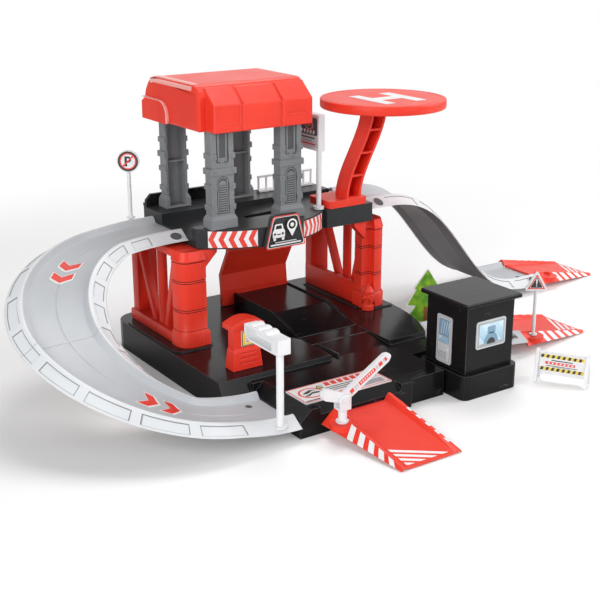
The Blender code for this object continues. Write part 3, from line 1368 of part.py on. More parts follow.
def pillar_body(low, high, side, front, back, stations):
    """Part of the curved pillar between two heights, narrowed by a wall on each side."""
    base = DECK_TOP + FIT_GAP + FLANGE_HEIGHT
    rings = []
    for i in range(stations + 1):
        height = low + (high - low) * i / stations
        x = pillar_centre(height)
        half = PILLAR_WIDTH / 2 - side
        z = base + height
        rings.append([(x - half, front, z), (x + half, front, z), (x + half, back, z), (x - half, back, z)])
    return loft(rings)


def build_helipad():
    """Curved channel pillar on a flange, and the round landing disc on top."""
    foot = DECK_TOP + FIT_GAP
    back = PILLAR_FRONT_Y + PILLAR_DEPTH
    flange_y = (
        PILLAR_FRONT_Y - FLANGE_RADIUS + BOOLEAN_REACH,
        PILLAR_FRONT_Y - FLANGE_RADIUS + BOOLEAN_REACH + FLANGE_DEPTH,
    )
    flange = prism(
        rectangle((FLANGE_LEFT, FLANGE_LEFT + FLANGE_WIDTH), flange_y, FLANGE_RADIUS), foot,
        foot + FLANGE_HEIGHT,
    )
    body = pillar_body(-FLANGE_HEIGHT / 2, PILLAR_HEIGHT, 0.0, PILLAR_FRONT_Y, back, PILLAR_STATIONS)
    pillar = fuse(flange, body)
    bays = PILLAR_RIB_COUNT + 1
    rib = RIB_THICKNESS
    for i in range(bays):
        low = i * PILLAR_HEIGHT / bays + rib / 2
        high = (i + 1) * PILLAR_HEIGHT / bays - rib / 2
        pocket = pillar_body(low, high, PILLAR_WALL, PILLAR_FRONT_Y - BOOLEAN_REACH, back - PILLAR_WALL, 4)
        pillar = cut(pillar, pocket)
    piece("helipad_pillar", pillar, "red")
    under = foot + FLANGE_HEIGHT + PILLAR_HEIGHT + FIT_GAP
    edge = DISC_EDGE_RADIUS
    thick = DISC_THICKNESS
    inner = DISC_RADIUS - DISC_WALL
    profile = [
        (0.0, thick), (DISC_RADIUS - edge, thick), (
            DISC_RADIUS - edge * 0.3, thick - edge * 0.3,
        ), (DISC_RADIUS, thick - edge),
        (DISC_RADIUS, edge * 0.5), (DISC_RADIUS - edge * 0.5, 0.0), (inner, 0.0),
        (inner, thick - DISC_WALL), (0.0, thick - DISC_WALL),
    ]
    disc = turned(profile, 42)
    hub_x = pillar_centre(PILLAR_HEIGHT) - DISC_X
    hub_y = PILLAR_FRONT_Y + PILLAR_DEPTH / 2 - DISC_Y
    hub = rod((hub_x, hub_y), DISC_HUB_RADIUS, 0.0, thick - DISC_WALL / 2, sides=28)
    disc = fuse(disc, hub)
    piece("helipad_disc", disc, "red", at=(DISC_X, DISC_Y, under))


# Tracks

def track_section(ridge, skirt_half, kerb_rise, skirt_drop, wall):
    """Cross-section of a track as (sideways, height above its floor), from the right foot round."""
    crown = TRACK_CROWN / 2
    run = TRACK_KERB_RUN
    top_half = [
        (skirt_half, kerb_rise - skirt_drop), (ridge + crown, kerb_rise), (ridge - crown, kerb_rise),
        (ridge - crown - run, 0.0),
    ]
    top = top_half + [(-x, z) for x, z in reversed(top_half)]
    under_half = [
        (
            skirt_half - wall, kerb_rise - skirt_drop,
        ), (ridge + crown * 0.4, kerb_rise - wall), (ridge - crown, kerb_rise - wall),
        (ridge - crown - run - wall * 0.5, -wall),
    ]
    under = [(-x, z) for x, z in under_half] + list(reversed(under_half))
    return top + under


def spiral_floor(share):
    """Height of the spiral's floor at a share of its length from the deck."""
    high = DECK_TOP - DECK_ROAD_DEPTH_LEFT - SPIRAL_TOP_DROP
    low = LEAD_HEIGHT
    eased = smooth_step(share ** SPIRAL_FALL_POWER)
    return high + (low - high) * (SPIRAL_FALL_BLEND * eased + (1.0 - SPIRAL_FALL_BLEND) * share)


def resampled(points, count):
    """Points at equal steps along a chain, with each one's share of the length."""
    lengths = [0.0]
    for a, b in zip(points, points[1:]):
        lengths.append(lengths[-1] + (Vector(b) - Vector(a)).length)
    result = []
    index = 0
    for i in range(count + 1):
        goal = lengths[-1] * i / count
        while index < len(points) - 2 and lengths[index + 1] < goal:
            index += 1
        share = (goal - lengths[index]) / (lengths[index + 1] - lengths[index])
        result.append(tuple(Vector(points[index]).lerp(Vector(points[index + 1]), share)))
    return result


def spiral_path():
    """Centre line of the spiral: out from the deck, round a soft half oval and back to the front tier."""
    middle = (SPIRAL_TOP_Y + SPIRAL_END_Y) / 2
    rise = (SPIRAL_TOP_Y - SPIRAL_END_Y) / 2
    points = [(DECK_LEFT - FIT_GAP, SPIRAL_TOP_Y)]
    steps = 240
    for i in range(steps + 1):
        turn = math.pi * i / steps
        side = abs(math.sin(turn)) ** (2.0 / SPIRAL_POWER)
        up = math.copysign(abs(math.cos(turn)) ** (2.0 / SPIRAL_POWER), math.cos(turn))
        points.append((-SPIRAL_TURN_RUN - SPIRAL_REACH * side, middle + rise * up))
    points.append((-FIT_GAP, SPIRAL_END_Y))
    return resampled(points, SPIRAL_STATIONS)


def spiral_frame(path, i):
    """Point, outward direction and share at a station of the spiral."""
    here = Vector(path[i])
    before = Vector(path[max(0, i - 1)])
    after = Vector(path[min(len(path) - 1, i + 1)])
    along = (after - before).normalized()
    if i == 0 or i == len(path) - 1:
        along = Vector((-1.0, 0.0)) if i == 0 else Vector((1.0, 0.0))
    out = Vector((along.y, -along.x))
    return here, out, i / (len(path) - 1)


def spiral_part(first, last):
    """Moulding of the spiral between two stations."""
    section = track_section(
        TRACK_RIDGE_HALF, TRACK_SKIRT_HALF, TRACK_KERB_RISE, TRACK_SKIRT_DROP, TRACK_WALL,
    )
    return loft(spiral_rings(spiral_path(), section, first, last))


def panel_section(side, skirt_half):
    """Cross-section of the cutter that sinks a panel into a kerb's sloping skirt, on one side of a track."""
    top = Vector((TRACK_RIDGE_HALF + TRACK_CROWN / 2, TRACK_KERB_RISE))
    foot = Vector((skirt_half, TRACK_KERB_RISE - TRACK_SKIRT_DROP))
    down = (foot - top).normalized()
    out = Vector((-down.y, down.x))
    high = top + down * KERB_PANEL_HEAD
    low = foot - down * KERB_PANEL_FOOT
    corners = (
        high + out * BOOLEAN_REACH, high - out * KERB_PANEL_DEPTH,
        low - out * KERB_PANEL_DEPTH, low + out * BOOLEAN_REACH,
    )
    return [(side * u, v) for u, v in corners]


def chain_lengths(sections):
    """Distance along a chain of sections, measured at their first corners."""
    lengths = [0.0]
    for near, far in zip(sections, sections[1:]):
        lengths.append(lengths[-1] + (Vector(far[0]) - Vector(near[0])).length)
    return lengths


def section_at(sections, lengths, goal):
    """Section between two others of a chain, at a distance along it."""
    index = max(i for i in range(len(sections) - 1) if lengths[i] <= goal)
    share = (goal - lengths[index]) / (lengths[index + 1] - lengths[index])
    return [tuple(Vector(a).lerp(Vector(b), share)) for a, b in zip(sections[index], sections[index + 1])]


def kerb_panels(sections, first_place, begin=0, end=None, steps=3):
    """Cutters for the row of panels on one kerb that lie whole between two stations of the track."""
    lengths = chain_lengths(sections)
    limits = (lengths[begin], lengths[-1 if end is None else end])
    panels = []
    start = first_place
    while start + KERB_PANEL_LENGTH < limits[1] - KERB_PANEL_HEAD:
        if start > limits[0] + KERB_PANEL_HEAD:
            places = [start + KERB_PANEL_LENGTH * i / steps for i in range(steps + 1)]
            panels.append(loft([section_at(sections, lengths, place) for place in places]))
        start += KERB_PANEL_PITCH
    return panels


def kerb_socket(x, y, z):
    """Cutter for a round socket in a kerb's top."""
    return rod((x, y), SOCKET_RADIUS, z - SOCKET_DEPTH, z + TRACK_KERB_RISE, sides=20)


def spiral_rings(path, section, first, last):
    """Copies of a cross-section at the spiral's stations, from one to another."""
    rings = []
    for i in range(first, last + 1):
        here, out, share = spiral_frame(path, i)
        floor = spiral_floor(share)
        rings.append(
            [(here.x + out.x * side, here.y + out.y * side, floor + rise) for side, rise in section]
        )
    return rings


def spiral_panels(path, first, last):
    """Cutters for the panels round the spiral's outer kerb between two stations."""
    sections = spiral_rings(path, panel_section(1.0, TRACK_SKIRT_HALF), 0, SPIRAL_STATIONS)
    return kerb_panels(sections, SPIRAL_FIRST_PANEL, first, last)


def build_spiral():
    """Two mouldings of the left spiral track, butted together near its outermost point."""
    split = round(SPIRAL_STATIONS * SPIRAL_SPLIT)
    upper = spiral_part(0, split)
    lower = spiral_part(split, SPIRAL_STATIONS)
    path = spiral_path()
    here, out, share = spiral_frame(path, split)
    along = Vector((-out.y, out.x))
    gap = box((-FIT_GAP / 2, FIT_GAP / 2), (-2 * TRACK_SKIRT_HALF, 2 * TRACK_SKIRT_HALF), (0.0, DECK_TOP))
    turn = math.atan2(along.y, along.x)
    gap_two = moved(workpiece(gap.data.copy()), turn, (here.x, here.y, 0.0))
    moved(gap, turn, (here.x, here.y, 0.0))
    upper = cut(upper, gap, *spiral_panels(path, 0, split))
    lower = cut(lower, gap_two, *spiral_panels(path, split, SPIRAL_STATIONS))
    side = TRACK_RIDGE_HALF + (TRACK_SKIRT_HALF - TRACK_RIDGE_HALF) / 2
    top_socket_x = DECK_LEFT - 2.6 * SOCKET_RADIUS
    level = spiral_floor(0.0) + TRACK_KERB_RISE / 2
    upper = cut(upper, kerb_socket(top_socket_x, SPIRAL_TOP_Y - side, level))
    sign_x, sign_y, sign_z = no_parking_place()
    upper = cut(
        upper,
        rod(
            (sign_x, sign_y), PEG_RADIUS + PEG_CLEARANCE, sign_z - 4 * PEG_LENGTH, sign_z + TRACK_KERB_RISE,
            sides=12,
        ),
    )
    lamp_x, lamp_y, lamp_z = lamp_place()
    pad = rod((lamp_x, lamp_y), LAMP_FOOT_RADIUS - PEG_CLEARANCE, lamp_z - 2 * TRACK_WALL, lamp_z, sides=20)
    above = rod(
        (lamp_x, lamp_y), LAMP_FOOT_RADIUS + PEG_CLEARANCE, lamp_z, lamp_z + 2 * TRACK_SKIRT_DROP, sides=20,
    )
    lower = fuse(lower, pad)
    hole = rod(
        (lamp_x, lamp_y), PEG_RADIUS + PEG_CLEARANCE, lamp_z - 4 * PEG_LENGTH, lamp_z + TRACK_WALL,
        sides=12,
    )
    lower = cut(lower, above, hole)
    end_hole_x = -5.0 * FLOOR_HOLE_RADIUS
    lower = cut(
        lower,
        rod(
            (end_hole_x, SPIRAL_END_Y + TRACK_RIDGE_HALF / 2), FLOOR_HOLE_RADIUS, 0.0, DECK_BOTTOM,
            sides=16,
        ),
    )
    foot_front = BASE_FRONT - SLANT_RUN - FIT_GAP
    keep_out = [
        (foot_front, 0.0), (BASE_BACK, 0.0), (BASE_BACK, BASE_HEIGHT + BOOLEAN_REACH),
        (BASE_FRONT - FIT_GAP, BASE_HEIGHT + BOOLEAN_REACH), (foot_front, SLANT_FOOT_HEIGHT - FIT_GAP),
    ]
    lower = cut(lower, prism(keep_out, BASE_LEFT - 2 * FIT_GAP, BOOLEAN_REACH, axis="X"))
    piece("spiral_track_upper", upper, "track_grey")
    piece("spiral_track_lower", lower, "track_grey")


def slide_floor(x):
    """Height of the slide's floor at a place along X."""
    high = DECK_TOP - DECK_ROAD_DEPTH_RIGHT
    start = DECK_RIGHT + SLIDE_FLAT
    share = min(1.0, max(0.0, (x - start) / SLIDE_FALL))
    eased = share ** 2 / (share ** 2 + (1.0 - share) ** 2)
    return high + (SLIDE_END_FLOOR - high) * eased


def straight_rings(xs, centre_y, floor_at, section):
    """Copies of a cross-section at places along +X."""
    return [[(x, centre_y + side, floor_at(x) + rise) for side, rise in section] for x in xs]


def build_slide():
    """Long slide from the deck down to the right."""
    skirt = TRACK_SKIRT_HALF + SLIDE_SKIRT_FLARE
    section = track_section(TRACK_RIDGE_HALF, skirt, TRACK_KERB_RISE, TRACK_SKIRT_DROP, TRACK_WALL)
    start = DECK_RIGHT + FIT_GAP
    finish = DECK_RIGHT + SLIDE_LENGTH
    xs = [start + (finish - start) * i / SLIDE_STATIONS for i in range(SLIDE_STATIONS + 1)]
    slide = loft(straight_rings(xs, SLIDE_CENTRE_Y, slide_floor, section))
    side = TRACK_RIDGE_HALF + (TRACK_SKIRT_HALF - TRACK_RIDGE_HALF) / 2
    first_x = start + 2.2 * SOCKET_RADIUS
    last_x = finish - 2.4 * SOCKET_RADIUS
    sockets = [
        kerb_socket(first_x, SLIDE_CENTRE_Y - side, slide_floor(first_x) + TRACK_KERB_RISE / 2),
        kerb_socket(last_x, SLIDE_CENTRE_Y - side, slide_floor(last_x) + TRACK_KERB_RISE / 2),
        rod(
            (finish - 5.0 * FLOOR_HOLE_RADIUS, SLIDE_CENTRE_Y - TRACK_RIDGE_HALF / 2), FLOOR_HOLE_RADIUS,
            0.0, DECK_BOTTOM / 2, sides=16,
        ),
    ]
    sections = straight_rings(xs, SLIDE_CENTRE_Y, slide_floor, panel_section(-1.0, skirt))
    panels = kerb_panels(sections, SLIDE_FIRST_PANEL)
    slide = cut(slide, *sockets, *panels)
    return piece("slide_track", slide, "track_grey")


def build_connector():
    """Short track from the base's exit to the side ramp, its near end cut to the base's bowed edge."""
    section = track_section(
        TRACK_RIDGE_HALF, TRACK_SKIRT_HALF, TRACK_KERB_RISE, TRACK_SKIRT_DROP, TRACK_WALL,
    )
    start = EXIT_FRONT_X + BASE_WALL
    high = TIER_HEIGHT - CONNECTOR_START_DROP
    finish = CONNECTOR_END_X

    def floor_at(x):
        return high + (CONNECTOR_END_FLOOR - high) * max(0.0, (x - BASE_RIGHT) / (finish - BASE_RIGHT))

    xs = [start, BASE_RIGHT, BASE_RIGHT + (finish - BASE_RIGHT) / 2, finish]
    track = loft(straight_rings(xs, CONNECTOR_CENTRE_Y, floor_at, section))
    edge = [(x + FIT_GAP, y) for x, y in exit_edge(10)]
    keep_out = [
        (EXIT_FRONT_X - BASE_RIGHT, 0.0), (EXIT_FRONT_X + 0.0, 0.0), *edge,
        (EXIT_FRONT_X - BASE_RIGHT, EXIT_BACK_Y),
    ]
    booth_edge = BOOTH_FRONT + BOOTH_DEPTH + BOOTH_PLINTH_MARGIN + FIT_GAP
    booth_side = BOOTH_LEFT + BOOTH_WIDTH + BOOTH_PLINTH_MARGIN + FIT_GAP
    track = cut(
        track, prism(keep_out, 0.0, DECK_BOTTOM),
        box((0.0, booth_side), (0.0, booth_edge), (0.0, DECK_BOTTOM)),
    )
    side = TRACK_RIDGE_HALF + (TRACK_SKIRT_HALF - TRACK_RIDGE_HALF) / 2
    socket_x = finish - 2.6 * SOCKET_RADIUS
    track = cut(
        track, kerb_socket(socket_x, CONNECTOR_CENTRE_Y - side, floor_at(socket_x) + TRACK_KERB_RISE / 2),
    )
    return piece("side_connector_track", track, "track_grey")


def ramp_mesh():
    """Exit ramp drawn along +X from its docking end, with the tab for a plug-in post at its near corner."""
    rings = []
    steps = 3
    for i in range(steps + 1):
        share = i / steps
        floor = RAMP_START_FLOOR + (RAMP_TIP_FLOOR - RAMP_START_FLOOR) * share
        rise = TRACK_KERB_RISE + (RAMP_TIP_KERB - TRACK_KERB_RISE) * share
        skirt = TRACK_SKIRT_HALF + (RAMP_TIP_HALF - TRACK_SKIRT_HALF) * share
        foot = RAMP_FOOT_HEIGHT * (1.0 - share) + FIT_GAP
        wall = TRACK_WALL + (RAMP_TIP_FLOOR * 0.6 - TRACK_WALL) * share
        section = track_section(TRACK_RIDGE_HALF, skirt, rise, floor + rise - foot, wall)
        rings.append([(RAMP_LENGTH * share, side, floor + height) for side, height in section])
    ramp = loft(rings)
    tab_at = (RAMP_TAB_ALONG, -RAMP_TAB_SIDE)
    tab = rod(tab_at, RAMP_TAB_RADIUS, RAMP_FOOT_HEIGHT, RAMP_TAB_TOP, sides=24)
    ramp = fuse(ramp, tab)
    foot_clear = rod(
        tab_at, BARRIER_FOOT_RADIUS + PEG_CLEARANCE, RAMP_TAB_TOP, RAMP_TAB_TOP + 2 * TRACK_KERB_RISE,
        sides=16,
    )
    hole = rod(tab_at, PEG_RADIUS + PEG_CLEARANCE, 0.0, RAMP_TAB_TOP + TRACK_WALL, sides=12)
    return cut(ramp, foot_clear, hole)


def ramp_places():
    """Name, place and turn of each ramp."""
    return (
        ("front_ramp", (FRONT_RAMP_X, -FIT_GAP, 0.0), -math.pi / 2),
        ("side_ramp", (CONNECTOR_END_X + FIT_GAP, CONNECTOR_CENTRE_Y, 0.0), 0.0),
        ("rear_ramp", (DECK_RIGHT + SLIDE_LENGTH + FIT_GAP, SLIDE_CENTRE_Y, 0.0), 0.0),
    )


def on_ramp(index, along, side, height):
    """Place on a ramp, given along it, to its left, and above the table."""
    _, at, turn = ramp_places()[index]
    spot = Matrix.Rotation(turn, 4, "Z") @ Vector((along, side, height))
    return tuple(Vector(at) + spot)


def build_ramps():
    """Three equal red ramps."""
    first = ramp_mesh()
    for i, (name, at, turn) in enumerate(ramp_places()):
        ramp = first if i == 0 else workpiece(first.data)
        piece(name, ramp, "red", at=at, turn=turn)


# Booth

def build_booth():
    """Ticket booth on its own plinth at the right of the front tier."""
    x = (BOOTH_LEFT, BOOTH_LEFT + BOOTH_WIDTH)
    y = (BOOTH_FRONT, BOOTH_FRONT + BOOTH_DEPTH)
    margin = BOOTH_PLINTH_MARGIN
    plan = rectangle(
        (x[0] - margin + FIT_GAP, x[1] + margin), (y[0] - margin, y[1] + margin - FIT_GAP),
        BOOTH_PLINTH_RADIUS,
    )
    plinth = prism(plan, 0.0, BOOTH_PLINTH_HEIGHT)
    hollow = prism(inset(plan, BOOTH_WALL), -BOOLEAN_REACH, BOOTH_PLINTH_HEIGHT - BOOTH_WALL)
    piece("booth_plinth", cut(plinth, hollow), "black", edge=EDGE_RADIUS, segments=1)
    foot = BOOTH_PLINTH_HEIGHT + FIT_GAP
    top = foot + BOOTH_HEIGHT
    body = box(x, y, (foot, top))
    body = cut(
        body,
        box(
            (x[0] + BOOTH_WALL, x[1] - BOOTH_WALL), (y[0] + BOOTH_WALL, y[1] - BOOTH_WALL),
            (foot - BOOLEAN_REACH, top - BOOTH_WALL),
        ),
    )
    door_y = (y[0] + DOOR_FROM_FRONT, y[0] + DOOR_FROM_FRONT + DOOR_WIDTH)
    door_z = (foot + DOOR_FOOT, foot + DOOR_FOOT + DOOR_HEIGHT)
    window_x = (x[0] + WINDOW_FROM_LEFT, x[0] + WINDOW_FROM_LEFT + WINDOW_WIDTH)
    window_z = (foot + WINDOW_FOOT, foot + WINDOW_FOOT + WINDOW_HEIGHT)
    door_plan = rectangle(door_y, door_z, PANEL_RADIUS)
    window_plan = rectangle(window_x, window_z, PANEL_RADIUS)
    loose = PIN_CLEARANCE + FIT_GAP / 2
    door_seat = prism(inset(door_plan, -loose), x[0] - BOOLEAN_REACH, x[0] + PANEL_SEAT, axis="X")
    window_seat = prism(inset(window_plan, -loose), y[0] - BOOLEAN_REACH, y[0] + PANEL_SEAT, axis="Y")
    piece("booth_body", cut(body, door_seat, window_seat), "black", edge=EDGE_RADIUS, segments=1)
    door_back = x[0] + PANEL_SEAT - FIT_GAP
    piece("booth_door", prism(door_plan, door_back - PANEL_THICKNESS, door_back, axis="X"), "print_blue")
    window_back = y[0] + PANEL_SEAT - FIT_GAP
    piece(
        "booth_window", prism(window_plan, window_back - PANEL_THICKNESS, window_back, axis="Y"),
        "print_blue",
    )
    over = BOOTH_ROOF_MARGIN
    roof_foot = top + FIT_GAP
    roof = box(
        (x[0] - over, x[1] + over), (y[0] - over, y[1] + over), (roof_foot, roof_foot + BOOTH_ROOF_HEIGHT),
    )
    piece("booth_roof", roof, "black", edge=BOOTH_ROOF_EDGE, segments=3)


def build_notice():
    """Printed plate on the front tier."""
    foot = TIER_HEIGHT + FIT_GAP
    plan = rectangle(
        (NOTICE_LEFT + LEAD_RUN / 2, NOTICE_LEFT + NOTICE_WIDTH),
        (NOTICE_FRONT, NOTICE_FRONT + NOTICE_DEPTH), PANEL_RADIUS,
    )
    piece("notice_plate", prism(plan, foot, foot + NOTICE_THICKNESS), "print_white")


def build_kiosk():
    """Arched fuel kiosk with a louvred foot and a nozzle."""
    foot = BASE_HEIGHT + FIT_GAP
    left = BASE_LEFT + KIOSK_SETBACK
    right = left + KIOSK_WIDTH
    y = (KIOSK_FRONT, KIOSK_FRONT + KIOSK_DEPTH)
    waist = foot + KIOSK_FOOT_HEIGHT
    inset_by = KIOSK_WAIST_INSET
    rings = []
    for rise, side in (
        (foot, 0.0), (foot + KIOSK_FOOT_HEIGHT * 0.8, inset_by * 0.7), (waist, inset_by * 1.3),
    ):
        rings.append([
            (left + side, y[0] + side * 0.8, rise), (right - side, y[0] + side * 0.8, rise),
            (right - side, y[1] - side / 2, rise), (left + side, y[1] - side / 2, rise),
        ])
    base = loft(rings)
    top = foot + KIOSK_HEIGHT
    shoulder = top - KIOSK_ARCH_RISE
    body_face = [(left + inset_by, waist - inset_by), (right - inset_by, waist - inset_by)]
    arch_face = []
    for i in range(9):
        share = i / 8
        x = right - inset_by - share * (KIOSK_WIDTH - 2 * inset_by)
        body_face.append((x, shoulder + KIOSK_ARCH_RISE * math.sin(math.pi * share) - KIOSK_EAVE))
    for i in range(9):
        share = i / 8
        x = right + KIOSK_EAVE / 2 - share * (KIOSK_WIDTH + KIOSK_EAVE)
        arch_face.append((x, shoulder + KIOSK_ARCH_RISE * math.sin(math.pi * share)))
    under = [(x, z - KIOSK_EAVE * 1.5) for x, z in reversed(arch_face)]
    body = prism(body_face, y[0] + inset_by, y[1] - inset_by, axis="Y")
    arch = prism(arch_face + under, y[0] - KIOSK_EAVE / 2, y[1] + KIOSK_EAVE / 2, axis="Y")
    kiosk = fuse(base, body, arch)
    slots = []
    for i in range(KIOSK_LOUVRES):
        z = foot + KIOSK_LOUVRE_FOOT + KIOSK_LOUVRE_PITCH * i
        slot_x = (left + KIOSK_LOUVRE_LEFT, right - KIOSK_LOUVRE_RIGHT)
        slots.append(
            box(slot_x, (y[0] - BOOLEAN_REACH, y[0] + KIOSK_LOUVRE_DEPTH), (z, z + KIOSK_LOUVRE_HEIGHT))
        )
    label_left = left + KIOSK_WIDTH * 0.32
    label_low = waist + inset_by / 2
    label = rectangle(
        (label_left, label_left + KIOSK_LABEL_WIDTH), (label_low, label_low + KIOSK_LABEL_HEIGHT),
        PANEL_RADIUS / 2, 2,
    )
    face_y = y[0] + inset_by
    seat = prism(inset(label, -PIN_CLEARANCE), face_y - BOOLEAN_REACH, face_y + PANEL_SEAT, axis="Y")
    kiosk = cut(kiosk, *slots, seat)
    nozzle = rod(
        (y[0] + KIOSK_DEPTH / 2, waist - inset_by), NOZZLE_RADIUS, right - 2 * inset_by, right + inset_by,
        axis="X", sides=12,
    )
    piece("pump_kiosk", fuse(kiosk, nozzle), "red")
    label_back = face_y + PANEL_SEAT - FIT_GAP
    piece("kiosk_label", prism(label, label_back - PANEL_THICKNESS, label_back, axis="Y"), "print_white")


def build_hydrant():
    """Fire hydrant: turned body with two side caps."""
    r = HYDRANT_RADIUS
    h = HYDRANT_HEIGHT
    profile = [
        (0.0, h), (r * 0.28, h), (r * 0.30, h * 0.94), (r * 0.55, h * 0.92), (r * 0.85, h * 0.82),
        (r * 1.08, h * 0.74),
        (r * 1.08, h * 0.70), (r * 0.88, h * 0.68), (r * 0.88, h * 0.20), (r * 1.04, h * 0.18),
        (r * 1.08, h * 0.04), (r * 1.08, 0.0), (0.0, 0.0),
    ]
    body = turned(profile, 12)
    cap = HYDRANT_CAP_RADIUS
    level = h * 0.50
    side = rod((0.0, level), cap, -r * 1.25, r * 1.25, axis="X", sides=12)
    front = rod((0.0, level * 0.95), cap * 1.15, -r * 1.3, 0.0, axis="Y", sides=12)
    piece("fire_hydrant", fuse(body, side, front), "red", at=(HYDRANT_X, HYDRANT_Y, BASE_HEIGHT + FIT_GAP))


def build_tree():
    """Flat tree in three tiers on a foot, standing by the slide."""
    half = TREE_WIDTH / 2
    tier_height = TREE_HEIGHT * 0.82 / TREE_TIERS
    base = TREE_HEIGHT * 0.12
    right = [(half * 0.22, TREE_THICKNESS / 2), (half * 0.22, base)]
    for i in range(TREE_TIERS):
        low = base + i * tier_height
        wide = half * (1.0 - 0.27 * i)
        top = i == TREE_TIERS - 1
        right += [
            (wide, low - TREE_DROOP),
            (0.0 if top else wide * 0.58, low + tier_height * (1.25 if top else 1.0)),
        ]
    left = [(-x, z) for x, z in reversed(right) if x > 0.0]
    outline = right + left
    tree = prism(outline, -TREE_THICKNESS / 2, TREE_THICKNESS / 2, axis="Y")
    foot = box(
        (-half * 0.45, half * 0.45), (-2.5 * TREE_THICKNESS, 2.5 * TREE_THICKNESS), (0.0, TREE_THICKNESS),
    )
    piece(
        "tree", fuse(foot, tree), "tree_green", at=(BASE_RIGHT + TREE_FROM_BASE, TREE_Y, 0.0),
        turn=TREE_TURN,
    )


# Barrier

def barrier_pivot():
    """Axis of the barrier arm."""
    x, y, z = on_ramp(0, RAMP_TAB_ALONG, -RAMP_TAB_SIDE, RAMP_TAB_TOP + FIT_GAP)
    return x, y, z + BARRIER_POST_HEIGHT + PIVOT_RISE


def build_barrier():
    """Barrier post with its fork, the pin and the arm that tips on it."""
    x, y, z = on_ramp(0, RAMP_TAB_ALONG, -RAMP_TAB_SIDE, RAMP_TAB_TOP + FIT_GAP)
    foot = rod((0.0, 0.0), BARRIER_FOOT_RADIUS, 0.0, BARRIER_FOOT_HEIGHT, sides=18)
    peg = rod((0.0, 0.0), PEG_RADIUS, -PEG_LENGTH, BARRIER_FOOT_HEIGHT / 2, sides=12)
    stem = rod(
        (0.0, 0.0), BARRIER_POST_RADIUS, BARRIER_FOOT_HEIGHT / 2, BARRIER_POST_HEIGHT - FIT_GAP, sides=14,
    )
    floor = BARRIER_POST_HEIGHT
    low = floor - FORK_FLOOR
    high = floor + FORK_HEIGHT
    side = FORK_WIDTH / 2
    fork_plan = rounded(
        [(-side, low), (side, low), (side, high), (-side, high)], [0.0, 0.0, side / 2, side / 2], 3,
    )
    fork = prism(fork_plan, -FORK_DEPTH / 2, FORK_DEPTH / 2, axis="Y")
    post = fuse(foot, peg, stem, fork)
    slot = ARM_THICKNESS / 2 + FIT_GAP
    post = cut(post, box((-FORK_WIDTH, FORK_WIDTH), (-slot, slot), (floor, high + FORK_FLOOR)))
    pivot = floor + PIVOT_RISE
    bore = rod(
        (0.0, pivot), BARRIER_PIN_RADIUS + PIN_CLEARANCE, -FORK_DEPTH, FORK_DEPTH, axis="Y", sides=12,
    )
    piece("barrier_post", cut(post, bore), "white", at=(x, y, z))
    pin = rod(
        (0.0, 0.0), BARRIER_PIN_RADIUS, -FORK_DEPTH / 2 - FIT_GAP, FORK_DEPTH / 2 + FIT_GAP, axis="Y",
        sides=16,
    )
    head = rod(
        (0.0, 0.0), BARRIER_PIN_RADIUS * 1.7, -FORK_DEPTH / 2 - FIT_GAP - BARRIER_PIN_RADIUS,
        -FORK_DEPTH / 2 - FIT_GAP, axis="Y", sides=16,
    )
    hinge = barrier_pivot()
    piece("barrier_pin", fuse(pin, moved(head, to=(0.0, FIT_GAP / 2, 0.0))), "white", at=hinge)
    half = ARM_HEIGHT / 2
    arm_face = [
        (-half, -half), (ARM_LENGTH - half, -half), (ARM_LENGTH, -half * 0.4), (ARM_LENGTH, half * 0.4),
        (ARM_LENGTH - half, half), (-half, half),
    ]
    arm = prism(rounded(arm_face, half * 0.4, 2), -ARM_THICKNESS / 2, ARM_THICKNESS / 2, axis="Y")
    stub_half = ARM_STUB_HEIGHT / 2
    stub_face = rounded(
        [
            (-ARM_STUB_LENGTH, -stub_half), (half, -stub_half * 0.8), (half, stub_half * 0.8),
            (-ARM_STUB_LENGTH, stub_half),
        ],
        [stub_half * 0.8, 0.0, 0.0, stub_half * 0.8], 3,
    )
    stub = prism(stub_face, -ARM_THICKNESS / 2, ARM_THICKNESS / 2, axis="Y")
    stub.data.transform(Matrix.Rotation(ARM_STUB_TILT + ARM_REST, 4, "Y"))
    arm = fuse(arm, stub)
    recess = rounded(
        [
            (half * 1.6, -half * 0.55), (ARM_LENGTH - half, -half * 0.55), (ARM_LENGTH - half, half * 0.55),
            (half * 1.6, half * 0.55),
        ],
        half * 0.3, 1,
    )
    front = -ARM_THICKNESS / 2
    arm = cut(arm, prism(recess, front - BOOLEAN_REACH, front + ARM_RECESS, axis="Y"))
    arm = cut(
        arm,
        rod(
            (0.0, 0.0), BARRIER_PIN_RADIUS + PIN_CLEARANCE, -ARM_THICKNESS, ARM_THICKNESS, axis="Y",
            sides=12,
        ),
    )
    arm.data.transform(Matrix.Rotation(-ARM_REST, 4, "Y"))
    piece("barrier_arm", arm, "white", at=hinge)


# Lamp and signs

def lamp_place():
    """Foot of the street lamp on the spiral's outer kerb, near its lower end."""
    side = TRACK_RIDGE_HALF + LAMP_FROM_RIDGE
    return -LAMP_ALONG, SPIRAL_END_Y - side, LEAD_HEIGHT + LAMP_PAD_RISE


